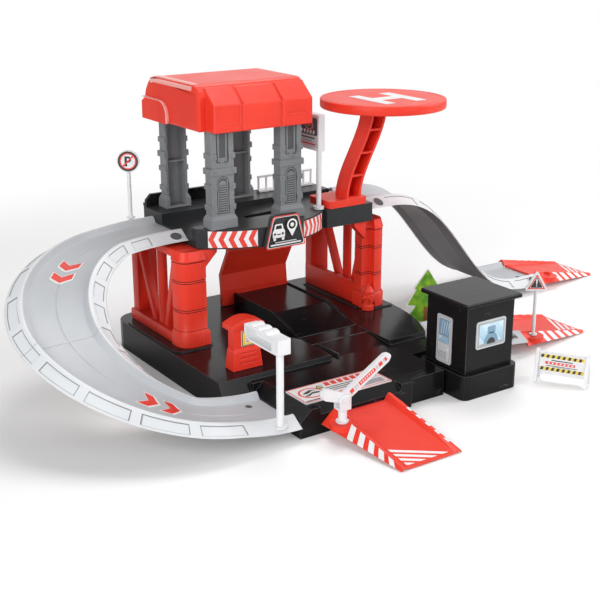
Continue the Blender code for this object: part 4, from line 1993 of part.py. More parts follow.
def build_lamp():
    """Street lamp: round post with a foot, and an open channel head over the road."""
    foot = rod((0.0, 0.0), LAMP_FOOT_RADIUS, 0.0, LAMP_FOOT_HEIGHT, sides=20)
    stem = rod((0.0, 0.0), LAMP_POST_RADIUS, LAMP_FOOT_HEIGHT / 2, LAMP_POST_HEIGHT, sides=16)
    peg = rod((0.0, 0.0), PEG_RADIUS, -PEG_LENGTH, LAMP_FOOT_HEIGHT / 2, sides=12)
    x, y, z = lamp_place()
    piece("street_lamp_post", fuse(foot, stem, peg), "white", at=(x, y, z + FIT_GAP))
    length = LAMP_HEAD_LENGTH
    high = LAMP_HEAD_HEIGHT
    back = LAMP_HEAD_BACK
    outline = [(-back, 0.0), (length - high * 0.6, 0.0)]
    for i in range(1, 5):
        turn = -math.pi / 2 + math.pi / 2 * i / 4
        outline.append(
            (length - high * 0.6 + high * 0.6 * math.cos(turn), high * 0.6 + high * 0.6 * math.sin(turn))
        )
    outline.append((length, high))
    bump = length / (LAMP_SCALLOPS + 3)
    for i in range(LAMP_SCALLOPS):
        centre = length * (0.80 - 0.24 * i)
        for step in range(5):
            turn = math.pi * step / 4
            outline.append((centre + bump * math.cos(turn) * 0.72, high + bump * 0.30 * math.sin(turn)))
    outline.append((-back, high))
    head = prism(outline, -LAMP_HEAD_WIDTH / 2, LAMP_HEAD_WIDTH / 2, axis="Y")
    wall = LAMP_HEAD_WALL
    hollow = rounded(
        [
            (LAMP_POST_RADIUS, wall), (length - wall - high * 0.15, wall), (length - wall, high - wall),
            (LAMP_POST_RADIUS, high - wall),
        ],
        [0.0, high * 0.35, 0.0, 0.0], 3,
    )
    head = cut(head, prism(hollow, wall - LAMP_HEAD_WIDTH / 2 + BOOLEAN_REACH, LAMP_HEAD_WIDTH, axis="Y"))
    piece("street_lamp_head", head, "white", at=(x, y, z + LAMP_POST_HEIGHT + 2 * FIT_GAP), turn=LAMP_TURN)


def no_parking_place():
    """Foot of the round sign on the spiral's far kerb, next to the deck."""
    side = TRACK_RIDGE_HALF + (TRACK_SKIRT_HALF - TRACK_RIDGE_HALF) * 0.35
    return DECK_LEFT - 4.0 * SOCKET_RADIUS, SPIRAL_TOP_Y + side, spiral_floor(0.02) + TRACK_KERB_RISE * 0.75


def sign_post(height):
    """Thin sign post with a round foot and a peg below it."""
    foot = rod((0.0, 0.0), SIGN_FOOT_RADIUS, 0.0, SIGN_FOOT_HEIGHT, sides=18)
    stem = rod((0.0, 0.0), SIGN_POST_RADIUS, SIGN_FOOT_HEIGHT / 2, height, sides=12)
    peg = rod((0.0, 0.0), PEG_RADIUS, -PEG_LENGTH, SIGN_FOOT_HEIGHT / 2, sides=12)
    return fuse(foot, stem, peg)


def build_signs():
    """Round sign by the deck and triangular sign on the side ramp."""
    x, y, z = no_parking_place()
    z += TRACK_KERB_RISE * 0.3
    piece("no_parking_post", sign_post(NO_PARKING_POST_HEIGHT), "white", at=(x, y, z), turn=SIGN_TURN)
    r = NO_PARKING_RADIUS
    disc = rod((0.0, r), r, -SIGN_PLATE_THICKNESS / 2, SIGN_PLATE_THICKNESS / 2, axis="Y", sides=36)
    piece("no_parking_disc", disc, "white", at=(x, y, z + NO_PARKING_POST_HEIGHT + FIT_GAP), turn=SIGN_TURN)
    spot = on_ramp(1, RAMP_TAB_ALONG, -RAMP_TAB_SIDE, RAMP_TAB_TOP + FIT_GAP)
    piece("warning_post", sign_post(WARNING_POST_HEIGHT), "white", at=spot, turn=SIGN_TURN)
    side = WARNING_SIDE
    tall = side * math.sqrt(3.0) / 2
    face = rounded([(-side / 2, 0.0), (side / 2, 0.0), (0.0, tall)], SIGN_CORNER_RADIUS, 3)
    plate = prism(face, -SIGN_PLATE_THICKNESS / 2, SIGN_PLATE_THICKNESS / 2, axis="Y")
    top = (spot[0], spot[1], spot[2] + WARNING_POST_HEIGHT + FIT_GAP)
    piece("warning_triangle", plate, "white", at=top, turn=SIGN_TURN)


def build_barricade():
    """Free-standing road-work board on two splayed legs."""
    half = BARRICADE_WIDTH / 2
    leg = BARRICADE_LEG_WIDTH
    spread = BARRICADE_SPREAD / 2
    legs = []
    for x in (-half - leg, half):
        outer = [
            (-spread, 0.0), (-spread + leg, 0.0), (0.0, BARRICADE_HEIGHT - 2 * leg), (spread - leg, 0.0),
            (spread, 0.0), (leg / 2, BARRICADE_HEIGHT), (-leg / 2, BARRICADE_HEIGHT),
        ]
        legs.append(prism(outer, x, x + leg, axis="X"))
    low = BARRICADE_FOOT_RISE
    high = low + BARRICADE_BOARD_HEIGHT
    back = box((-half - leg / 2, half + leg / 2), (-leg / 2, leg / 2), (low, high))
    rail = box((-half - leg / 2, half + leg / 2), (-leg * 0.35, leg * 0.35), (low - leg, low + leg / 2))
    frame = fuse(back, rail, *legs)
    at = (BARRICADE_X, -BARRICADE_FORWARD, 0.0)
    piece("barricade_frame", frame, "white", at=at, turn=BARRICADE_TURN)
    face = rectangle((-half + FIT_GAP, half - FIT_GAP), (low + leg / 4, high - leg / 4))
    front = -leg / 2 - FIT_GAP
    panel = prism(face, front - PANEL_THICKNESS, front, axis="Y")
    piece("barricade_panel", panel, "print_white", at=at, turn=BARRICADE_TURN)


def main():
    """Builds the whole station."""
    for obj in list(bpy.data.objects):
        bpy.data.objects.remove(obj)
    datum = bpy.data.objects.new("station_datum", None)
    collection("toy_fire_station").objects.link(datum)
    datum.location = (-CENTRE_X, -CENTRE_Y, 0.0)
    build_base()
    build_garage_road()
    build_wall("left_wall_frame", LEFT_WALL_X, 1, LEFT_COLUMN_WIDTH, 0.0)
    build_wall("right_wall_frame", RIGHT_WALL_X, -1, RIGHT_COLUMN_WIDTH, WALL_SPAN - WALL_THICKNESS)
    build_back_wall()
    build_deck()
    build_deck_fittings()
    build_billboard()
    build_columns()
    build_roof()
    build_helipad()
    build_spiral()
    build_slide()
    build_connector()
    build_ramps()
    build_booth()
    build_notice()
    build_kiosk()
    build_hydrant()
    build_tree()
    build_barrier()
    build_lamp()
    build_signs()
    build_barricade()
    workpieces = bpy.data.collections.get("workpieces")
    if workpieces:
        bpy.data.collections.remove(workpieces)


main()
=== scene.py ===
"""Looks of the toy fire station: finishes for its moulded pieces, finer tracks and walls, and its stickers.

Sizes are in metres, apart from the outlines and layers of stickers and side walls, which are in millimetres.
Places are measured from the front left corner of the base, and DATUM moves them into the part's frame.
"""

import logging
import math
from abc import ABC, abstractmethod
from bisect import bisect_left, bisect_right
from collections.abc import Callable, Sequence
from dataclasses import dataclass, field
from enum import Enum, IntEnum
from functools import partial

import bmesh
import bpy
from mathutils import Matrix, Vector

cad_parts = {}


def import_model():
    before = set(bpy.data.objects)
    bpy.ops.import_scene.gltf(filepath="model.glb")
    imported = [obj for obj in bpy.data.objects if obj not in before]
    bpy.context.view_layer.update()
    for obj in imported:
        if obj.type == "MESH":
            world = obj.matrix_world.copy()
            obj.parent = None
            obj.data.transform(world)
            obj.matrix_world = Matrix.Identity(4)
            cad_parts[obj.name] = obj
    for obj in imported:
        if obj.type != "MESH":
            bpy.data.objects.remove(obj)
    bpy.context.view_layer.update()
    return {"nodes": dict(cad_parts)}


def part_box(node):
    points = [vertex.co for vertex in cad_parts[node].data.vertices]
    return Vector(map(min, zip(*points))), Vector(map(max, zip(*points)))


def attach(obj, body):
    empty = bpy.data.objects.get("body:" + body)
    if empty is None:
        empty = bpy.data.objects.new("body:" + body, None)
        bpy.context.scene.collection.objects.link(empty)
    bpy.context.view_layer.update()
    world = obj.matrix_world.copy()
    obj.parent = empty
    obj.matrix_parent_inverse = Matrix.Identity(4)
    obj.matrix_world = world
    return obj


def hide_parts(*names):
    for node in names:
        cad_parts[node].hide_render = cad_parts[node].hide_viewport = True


Colour = tuple[float, float, float]
Flat = tuple[float, float]
Outline = list[Flat]
Faces = list[tuple[int, ...]]
Place = Callable[[float, float, float], Vector]

LOG = logging.getLogger("toy_fire_station")
DATUM = Vector((-0.088, -0.120, 0.0))
RIGHT = Vector((1.0, 0.0, 0.0))
BACK = Vector((0.0, 1.0, 0.0))
UP = Vector((0.0, 0.0, 1.0))
MM = 0.001
SIGN_TURN = -34.0


class Body(Enum):
    """Bodies of the record that printed or finer pieces ride on."""

    STATION = "station"
    BARRIER = "barrier"
    ROUND_SIGN = "no_parking_sign"
    WARNING_SIGN = "warning_sign"


class Zone(IntEnum):
    """Finish of one strip of a track."""

    ROAD = 0
    # Kerb strips, in the lighter grey of painted light.
    LIT_KERB = 1
    # Underside strips, in the dark grey of painted shade.
    UNDERSIDE_SHADE = 2
    # Edges of sunk panels, in the dark grey of painted shade.
    PANEL_SHADE_LINE = 3


class Signal:
    """Output of a shader node that Python's operators work on."""

    def __init__(self, paint: "Paint", socket: bpy.types.NodeSocket) -> None:
        """Keeps the node tree and the socket."""
        self.paint = paint
        self.socket = socket

    def _worked(self, operation: str, *values: "Signal | float") -> "Signal":
        """Adds one Math node."""
        return self.paint.node("ShaderNodeMath", {"operation": operation}, dict(enumerate(values)))

    def __add__(self, other: "Signal | float") -> "Signal":
        """Sum."""
        return self._worked("ADD", self, other)

    def __radd__(self, other: "Signal | float") -> "Signal":
        """Sum, from the right."""
        return self._worked("ADD", other, self)

    def __sub__(self, other: "Signal | float") -> "Signal":
        """Difference."""
        return self._worked("SUBTRACT", self, other)

    def __rsub__(self, other: "Signal | float") -> "Signal":
        """Difference, from the right."""
        return self._worked("SUBTRACT", other, self)

    def __mul__(self, other: "Signal | float") -> "Signal":
        """Product."""
        return self._worked("MULTIPLY", self, other)

    def __rmul__(self, other: "Signal | float") -> "Signal":
        """Product, from the right."""
        return self._worked("MULTIPLY", other, self)

    def __truediv__(self, other: "Signal | float") -> "Signal":
        """Quotient."""
        return self._worked("DIVIDE", self, other)

    def fraction(self) -> "Signal":
        """What is left after the whole number is taken off."""
        return self._worked("FRACT", self)

    def size(self) -> "Signal":
        """Absolute value."""
        return self._worked("ABSOLUTE", self)

    def beside(self, output: str | int) -> "Signal":
        """Another output of the same node."""
        return Signal(self.paint, self.socket.node.outputs[output])

    def eased(self, low: float, high: float) -> "Signal":
        """Smooth step from 0 at low to 1 at high."""
        settings = {"interpolation_type": "SMOOTHSTEP"}
        return self.paint.node("ShaderNodeMapRange", settings, {"Value": self, "From Min": low, "From Max": high})


class Paint:
    """Node tree of a material or world in the making."""

    def __init__(self, holder: bpy.types.Material | bpy.types.World) -> None:
        """Empties the tree.

        Args:
            holder: What the tree belongs to.
        """
        holder.use_nodes = True
        self.tree = holder.node_tree
        self.tree.nodes.clear()

    def node(
        self, kind: str, settings: dict[str, object] | None = None,
        inputs: dict[str | int, object] | None = None, output: str | int = 0,
    ) -> Signal:
        """Adds a node.

        Args:
            kind: Blender's type name.
            settings: Attributes that are set first; "stops" fills a colour ramp.
            inputs: Values or links of its sockets, by name or number.
            output: The socket that is handed back.

        Returns:
            The chosen output.
        """
        made = self.tree.nodes.new(kind)
        for key, value in (settings or {}).items():
            if key == "stops":
                self._fill_ramp(made.color_ramp, value)
            else:
                setattr(made, key, value)
        for key, value in (inputs or {}).items():
            socket = made.inputs[key]
            if isinstance(value, Signal):
                self.tree.links.new(value.socket, socket)
            elif isinstance(value, tuple) and socket.type == "RGBA":
                socket.default_value = (*value, 1.0)
            else:
                socket.default_value = value
        return Signal(self, made.outputs[output])

    @staticmethod
    def _fill_ramp(ramp: bpy.types.ColorRamp, stops: Sequence[tuple[float, Colour]]) -> None:
        """Sets the position and colour of a ramp's stops.

        Args:
            ramp: The ramp.
            stops: Position and colour of each stop.
        """
        while len(ramp.elements) < len(stops):
            ramp.elements.new(1.0)
        for element, (position, colour) in zip(ramp.elements, stops):
            element.position = position
            element.color = (*colour, 1.0)

    def spot(self) -> Signal:
        """Place in the object's own space."""
        return self.node("ShaderNodeTexCoord", output="Object")

    def parts(self, vector: Signal) -> tuple[Signal, Signal, Signal]:
        """X, Y and Z of a vector."""
        first = self.node("ShaderNodeSeparateXYZ", inputs={0: vector})
        return first, first.beside(1), first.beside(2)

    def vector_value(self, operation: str, *values: Signal | Colour) -> Signal:
        """Number that a Vector Math node gives."""
        return self.node("ShaderNodeVectorMath", {"operation": operation}, dict(enumerate(values)), "Value")

    def clouds(
        self, scale: float, detail: float = 3.0, stretch: Colour = (1.0, 1.0, 1.0), roughness: float = 0.5,
    ) -> Signal:
        """Soft noise between 0 and 1.

        Args:
            scale: Blotches in a metre.
            detail: Finer layers.
            stretch: Scale on each axis.
            roughness: Weight of the finer layers.

        Returns:
            The noise.
        """
        vector = self.node("ShaderNodeVectorMath", {"operation": "MULTIPLY"}, {0: self.spot(), 1: stretch})
        inputs = {"Vector": vector, "Scale": scale, "Detail": detail, "Roughness": roughness}
        return self.node("ShaderNodeTexNoise", None, inputs)

    def mixed(self, factor: Signal | float, low: Signal | Colour, high: Signal | Colour) -> Signal:
        """Colour between two."""
        settings = {"data_type": "RGBA", "blend_type": "MIX"}
        return self.node("ShaderNodeMix", settings, {0: factor, 6: low, 7: high}, output=2)

    def bumped(self, height: Signal, strength: float, distance: float, **more: Signal) -> Signal:
        """Normal of a bumpy surface."""
        inputs = {"Height": height, "Strength": strength, "Distance": distance, **more}
        return self.node("ShaderNodeBump", None, inputs)

    def rounding_and_highlight_mask(self, radius: float) -> tuple[Signal, Signal]:
        """Rounded shading normal, and a mask that is 1 on sharp edges, where the painted highlight goes.

        Args:
            radius: How far the rounding reaches.

        Returns:
            The normal and the mask.
        """
        soft = self.node("ShaderNodeBevel", {"samples": 4}, {"Radius": radius})
        flat = self.node("ShaderNodeNewGeometry", output="Normal")
        return soft, (1.0 - self.vector_value("DOT_PRODUCT", soft, flat)).eased(0.01, 0.16)

    def surface(self, base: Signal, roughness: Signal, normal: Signal, **fixed: float) -> None:
        """Ends the material in one Principled shader.

        Args:
            base: Colour.
            roughness: Roughness.
            normal: Shading normal.
            fixed: Constant values of other sockets, with _ for a space.
        """
        inputs: dict[str | int, object] = {"Base Color": base, "Roughness": roughness, "Normal": normal}
        inputs.update({key.replace("_", " "): value for key, value in fixed.items()})
        self.ended("ShaderNodeOutputMaterial", self.node("ShaderNodeBsdfPrincipled", None, inputs))

    def ended(self, kind: str, shader: Signal) -> None:
        """Links a shader to the tree's output node."""
        self.tree.links.new(shader.socket, self.tree.nodes.new(kind).inputs["Surface"])


@dataclass(frozen=True)
class Finish(ABC):
    """Finish whose material is built once."""

    name: str

    @abstractmethod
    def lay(self, paint: Paint) -> None:
        """Builds the material's nodes."""

    def material(self) -> bpy.types.Material:
        """The material, built at its first use.

        Returns:
            The material.
        """
        if self.name not in bpy.data.materials:
            self.lay(Paint(bpy.data.materials.new(self.name)))
        return bpy.data.materials[self.name]


@dataclass(frozen=True)
class MouldedPlastic(Finish):
    """Injection-moulded plastic with faint flow marks, fine grain, scratches, and softened edges with a painted
    highlight.
    """

    colour: Colour
    deep: Colour
    # Paler colour of the scratches, and of the painted highlight along sharp edges.
    wear_and_highlight: Colour
    roughness: float
    specular_level: float
    edge_radius: float = 0.0006
    grain: float = 0.06
    grain_depth: float = 0.0002
    flow_scale: float = 16.0
    smudge_scale: float = 48.0
    speckle_scale: float = 900.0
    pit_scale: float = 2600.0
    scratch_scale: float = 55.0

    def lay(self, paint: Paint) -> None:
        """Mixes the plastic.

        Args:
            paint: The material in the making.
        """
        soft, edges = paint.rounding_and_highlight_mask(self.edge_radius)
        flow = paint.clouds(self.flow_scale, 4.0, (1.0, 1.0, 0.6), 0.55)
        smudge = paint.clouds(self.smudge_scale, 3.0, (1.0, 0.7, 1.0), 0.6)
        speckle = paint.clouds(self.speckle_scale, 2.0)
        scratches = paint.clouds(self.scratch_scale, 2.0, (1.0, 14.0, 3.0), 0.7).eased(0.66, 0.72)
        body = paint.mixed(flow.eased(0.30, 0.72), self.deep, self.colour)
        # Painted highlight: sharp edges are mixed towards the paler colour.
        body = paint.mixed(edges * (0.35 + 0.4 * smudge), body, self.wear_and_highlight)
        body = paint.mixed(scratches * 0.10, body, self.wear_and_highlight)
        rough = self.roughness + (smudge - 0.5) * 0.16 + (speckle - 0.5) * 0.05 + scratches * 0.10
        height = speckle * 0.6 + paint.clouds(self.pit_scale, 1.0) * 0.4
        normal = paint.bumped(height, self.grain, self.grain_depth, Normal=soft)
        paint.surface(body, rough, normal, Specular_IOR_Level=self.specular_level, IOR=1.5)


@dataclass(frozen=True)
class PrintedInk(Finish):
    """Ink on a sticker, with a paper-fine grain and the low ripples of its film."""

    colour: Colour
    # Tint of worn ink, mixed in by random patches; ink gets no painted highlight.
    wear_and_highlight: Colour
    roughness: float = 0.30
    wash_scale: float = 70.0
    dot_scale: float = 1500.0
    film_scale: float = 140.0

    def lay(self, paint: Paint) -> None:
        """Mixes the ink.

        Args:
            paint: The material in the making.
        """
        wash = paint.clouds(self.wash_scale, 3.0)
        dots = paint.clouds(self.dot_scale, 1.0)
        body = paint.mixed(wash.eased(0.35, 0.75) * 0.5 + dots * 0.25, self.colour, self.wear_and_highlight)
        rough = self.roughness + (wash - 0.5) * 0.14
        normal = paint.bumped(paint.clouds(self.film_scale, 2.0), 0.10, 0.0003)
        paint.surface(body, rough, normal, Specular_IOR_Level=0.5)


@dataclass(frozen=True)
class LeafPrint(Finish):
    """Mottled leaves of the tree's print, with a brown trunk below."""

    trunk_top: float
    trunk_x: float
    trunk_half: float
    cell_scale: float = 190.0
    patch_scale: float = 95.0
    bark_scale: float = 260.0

    def lay(self, paint: Paint) -> None:
        """Mixes the leaves and the bark.

        Args:
            paint: The material in the making.
        """
        inputs = {"Vector": paint.spot(), "Scale": self.cell_scale, "Smoothness": 0.6}
        cells = paint.node("ShaderNodeTexVoronoi", {"feature": "SMOOTH_F1"}, inputs)
        patches = paint.clouds(self.patch_scale, 3.0)
        ramp = (
            (0.0, (0.55, 0.66, 0.05)), (0.38, (0.27, 0.48, 0.03)),
            (0.62, (0.11, 0.32, 0.02)), (1.0, (0.03, 0.16, 0.012)),
        )
        leaves = paint.node("ShaderNodeValToRGB", {"stops": ramp}, {0: cells * 0.55 + patches * 0.55})
        x, _, height = paint.parts(paint.spot())
        away = (x - self.trunk_x).size().eased(self.trunk_half * 0.8, self.trunk_half)
        trunk = (1.0 - height.eased(self.trunk_top - 0.002, self.trunk_top + 0.001)) * (1.0 - away)
        grain = paint.clouds(self.bark_scale, 2.0, (1.0, 1.0, 0.25))
        bark = paint.mixed(grain, (0.16, 0.055, 0.018), (0.30, 0.13, 0.045))
        rough = 0.32 + (patches - 0.5) * 0.12
        paint.surface(paint.mixed(trunk, leaves, bark), rough, paint.bumped(patches, 0.12, 0.0003))


@dataclass(frozen=True)
class PanePrint(Finish):
    """Printed glass: pale blue that darkens downwards, with slanting glints."""

    low: float
    high: float
    pitch: float = 0.016

    def lay(self, paint: Paint) -> None:
        """Mixes the glass.

        Args:
            paint: The material in the making.
        """
        x, y, z = paint.parts(paint.spot())
        rise = z.eased(self.low, self.high)
        sky = paint.mixed(rise, (0.30, 0.50, 0.66), (0.56, 0.76, 0.86))
        slant = ((x + y) * 0.9 + z * 0.8) / self.pitch
        band = (slant.fraction() - 0.5).size().eased(0.26, 0.30) * (1.0 - rise * 0.3)
        wash = paint.clouds(120.0, 3.0)
        body = paint.mixed(band * 0.55, sky, (0.80, 0.90, 0.95))
        paint.surface(body, 0.16 + wash * 0.10, paint.bumped(wash, 0.08, 0.0003))


def plastic(name: str, colour: Colour, deep: Colour, wear_and_highlight: Colour, *rest: float) -> MouldedPlastic:
    """Plastic with its look in short: roughness, specular level and edge radius come last."""
    return MouldedPlastic(name + "_plastic", colour, deep, wear_and_highlight, *rest)


# The third colour of each plastic tints its scratches and is painted along its sharp edges as a highlight.
RED = plastic("red", (0.86, 0.050, 0.024), (0.77, 0.032, 0.014), (0.92, 0.22, 0.17), 0.38, 0.30)
# Dark red of painted shade, in grooves and notches.
GROOVE_SHADE_RED = plastic("red_groove_shade", (0.30, 0.014, 0.008), (0.22, 0.010, 0.006), (0.50, 0.05, 0.04), 0.50, 0.20, 0.0003)
# Roof red: the same red, with a paler and narrower painted highlight along its edges.
ROOF_RED_HIGHLIT = plastic("roof", (0.86, 0.050, 0.024), (0.77, 0.032, 0.014), (0.95, 0.36, 0.32), 0.34, 0.32, 0.0003)
# Pinkish white of the painted highlight strips on the roof's left end.
ROOF_HIGHLIGHT = plastic("roof_highlight", (0.93, 0.50, 0.46), (0.90, 0.36, 0.32), (0.96, 0.80, 0.78), 0.30, 0.5, 0.0003)
BLACK = plastic("black", (0.012, 0.012, 0.013), (0.007, 0.007, 0.008), (0.26, 0.26, 0.27), 0.17, 0.16)
DECK = plastic("deck", (0.026, 0.028, 0.030), (0.018, 0.020, 0.022), (0.10, 0.105, 0.11), 0.34, 0.28)
COLUMN = plastic("column", (0.235, 0.245, 0.255), (0.17, 0.18, 0.19), (0.48, 0.49, 0.50), 0.42, 0.4, 0.0004)
# Dark grey of painted shade in the columns' recessed panels.
COLUMN_PANEL_SHADE = plastic("column_panel_shade", (0.105, 0.11, 0.115), (0.075, 0.078, 0.082), (0.22, 0.225, 0.23), 0.50, 0.25, 0.0003)
TRACK = plastic("track", (0.52, 0.54, 0.565), (0.465, 0.485, 0.51), (0.76, 0.78, 0.80), 0.42, 0.32, 0.0005)
# Lighter grey of the kerbs: painted light, as the kerbs are the same plastic as the road.
LIT_KERB = plastic("kerb", (0.74, 0.76, 0.78), (0.68, 0.70, 0.72), (0.86, 0.87, 0.88), 0.38, 0.4, 0.0005)
# Dark grey of painted shade: the tracks' undersides and the bars inside the kerb sockets.
SHADE_GREY = MouldedPlastic(
    "track_shade_grey", (0.14, 0.144, 0.15), (0.115, 0.118, 0.123), (0.22, 0.225, 0.23), 0.48, 0.3, 0.0005,
)
# Dark grey line of painted shade along the edges of the kerbs' sunk panels.
PANEL_SHADE_LINE = plastic("panel_shade_line", (0.30, 0.31, 0.32), (0.24, 0.25, 0.26), (0.42, 0.43, 0.44), 0.50, 0.25, 0.0003)
# Near-black of painted shade inside sockets and holes.
HOLE_SHADE = plastic("socket", (0.085, 0.088, 0.092), (0.06, 0.062, 0.066), (0.17, 0.175, 0.18), 0.55, 0.25, 0.0003)
WHITE = plastic("white", (0.83, 0.84, 0.85), (0.77, 0.78, 0.80), (0.90, 0.90, 0.91), 0.36, 0.45, 0.0004)
INK_RED = PrintedInk("ink_red", (0.76, 0.035, 0.020), (0.80, 0.10, 0.07))
INK_WHITE = PrintedInk("ink_white", (0.86, 0.86, 0.86), (0.78, 0.78, 0.79))
INK_BLACK = PrintedInk("ink_black", (0.018, 0.018, 0.020), (0.05, 0.05, 0.055))
INK_GREY = PrintedInk("ink_grey", (0.33, 0.35, 0.37), (0.45, 0.47, 0.49))
INK_PALE = PrintedInk("ink_pale_grey", (0.58, 0.61, 0.64), (0.68, 0.70, 0.72))
INK_YELLOW = PrintedInk("ink_yellow", (0.82, 0.60, 0.04), (0.86, 0.70, 0.15))
INK_BLUE = PrintedInk("ink_deep_blue", (0.16, 0.30, 0.42), (0.24, 0.40, 0.52))
SKY_PANE = PanePrint("sky_pane", 0.038, 0.064)
TRACK_FINISHES = (TRACK, LIT_KERB, SHADE_GREY, PANEL_SHADE_LINE)


class Layer:
    """One flat shape of a sticker: its ink, the heights it fills, and its outer outline with any holes."""

    def __init__(self, finish: Finish, low: float, high: float, *outlines: Outline) -> None:
        """Takes millimetres and keeps metres.

        Args:
            finish: Its ink.
            low: Where it starts above the surface.
            high: Where it ends.
            outlines: The outer outline and its holes.
        """
        self.finish = finish
        self.low = low * MM
        self.high = high * MM
        self.outlines = [[(u * MM, v * MM) for u, v in outline] for outline in outlines]


def smooth_step(value: float) -> float:
    """Ease from 0 to 1 with level ends."""
    held = min(1.0, max(0.0, value))
    return held * held * (3.0 - 2.0 * held)


def mix(low: float, high: float, share: float) -> float:
    """Value between two."""
    return low + (high - low) * share


def spaced(start: float, pitch: float, count: int) -> list[float]:
    """Evenly spaced places."""
    return [start + pitch * k for k in range(count)]


def arc(x: float, y: float, wide: float, tall: float, start: float, end: float, steps: int) -> Outline:
    """Arc of an ellipse round x, y, between two angles in degrees."""
    turns = [math.radians(start + (end - start) * i / steps) for i in range(steps + 1)]
    return [(x + wide * math.cos(turn), y + tall * math.sin(turn)) for turn in turns]


def circle(x: float, y: float, radius: float, steps: int = 48, stretch: float = 1.0) -> Outline:
    """Circle, or an ellipse that is stretched upwards."""
    return arc(x, y, radius, radius * stretch, 0.0, 360.0, steps)[:-1]


def box(left: float, right: float, low: float, high: float, radius: float = 0.0) -> Outline:
    """Rectangle, with round corners if a radius is given.

    Args:
        left: Its left side.
        right: Its right side.
        low: Its lower side.
        high: Its upper side.
        radius: Corner radius.

    Returns:
        The outline.
    """
    if radius <= 0.0:
        return [(left, low), (right, low), (right, high), (left, high)]
    x0, x1, y0, y1 = left + radius, right - radius, low + radius, high - radius
    corners = ((x1, y0, -90.0), (x1, y1, 0.0), (x0, y1, 90.0), (x0, y0, 180.0))
    return [point for x, y, turn in corners for point in arc(x, y, radius, radius, turn, turn + 90.0, 5)]


def slanted(left: float, right: float, low: float, high: float, lean: float) -> Outline:
    """Parallelogram whose top is shifted sideways by lean."""
    return [(left, low), (right, low), (right + lean, high), (left + lean, high)]


def chevron(x: float, width: float, low: float, high: float, point: float) -> Outline:
    """Chevron whose point is shifted sideways by point."""
    half, end = (low + high) / 2, x + width
    return [(x, low), (end, low), (end + point, half), (end, high), (x, high), (x + point, half)]


def rounded(corners: Sequence[Flat], radius: float, steps: int = 5) -> Outline:
    """Outline with each corner rounded.

    Args:
        corners: The corners.
        radius: Rounding.
        steps: Points on each corner.

    Returns:
        The outline.
    """
    outline: Outline = []
    for before, corner, after in zip([corners[-1], *corners], corners, [*corners[1:], corners[0]]):
        here = Vector(corner)
        back, ahead = Vector(before) - here, Vector(after) - here
        reach = min(radius, back.length * 0.45, ahead.length * 0.45)
        start, finish = here + back.normalized() * reach, here + ahead.normalized() * reach
        for step in range(steps + 1):
            point = start.lerp(here, step / steps).lerp(here.lerp(finish, step / steps), step / steps)
            outline.append((point.x, point.y))
    return outline


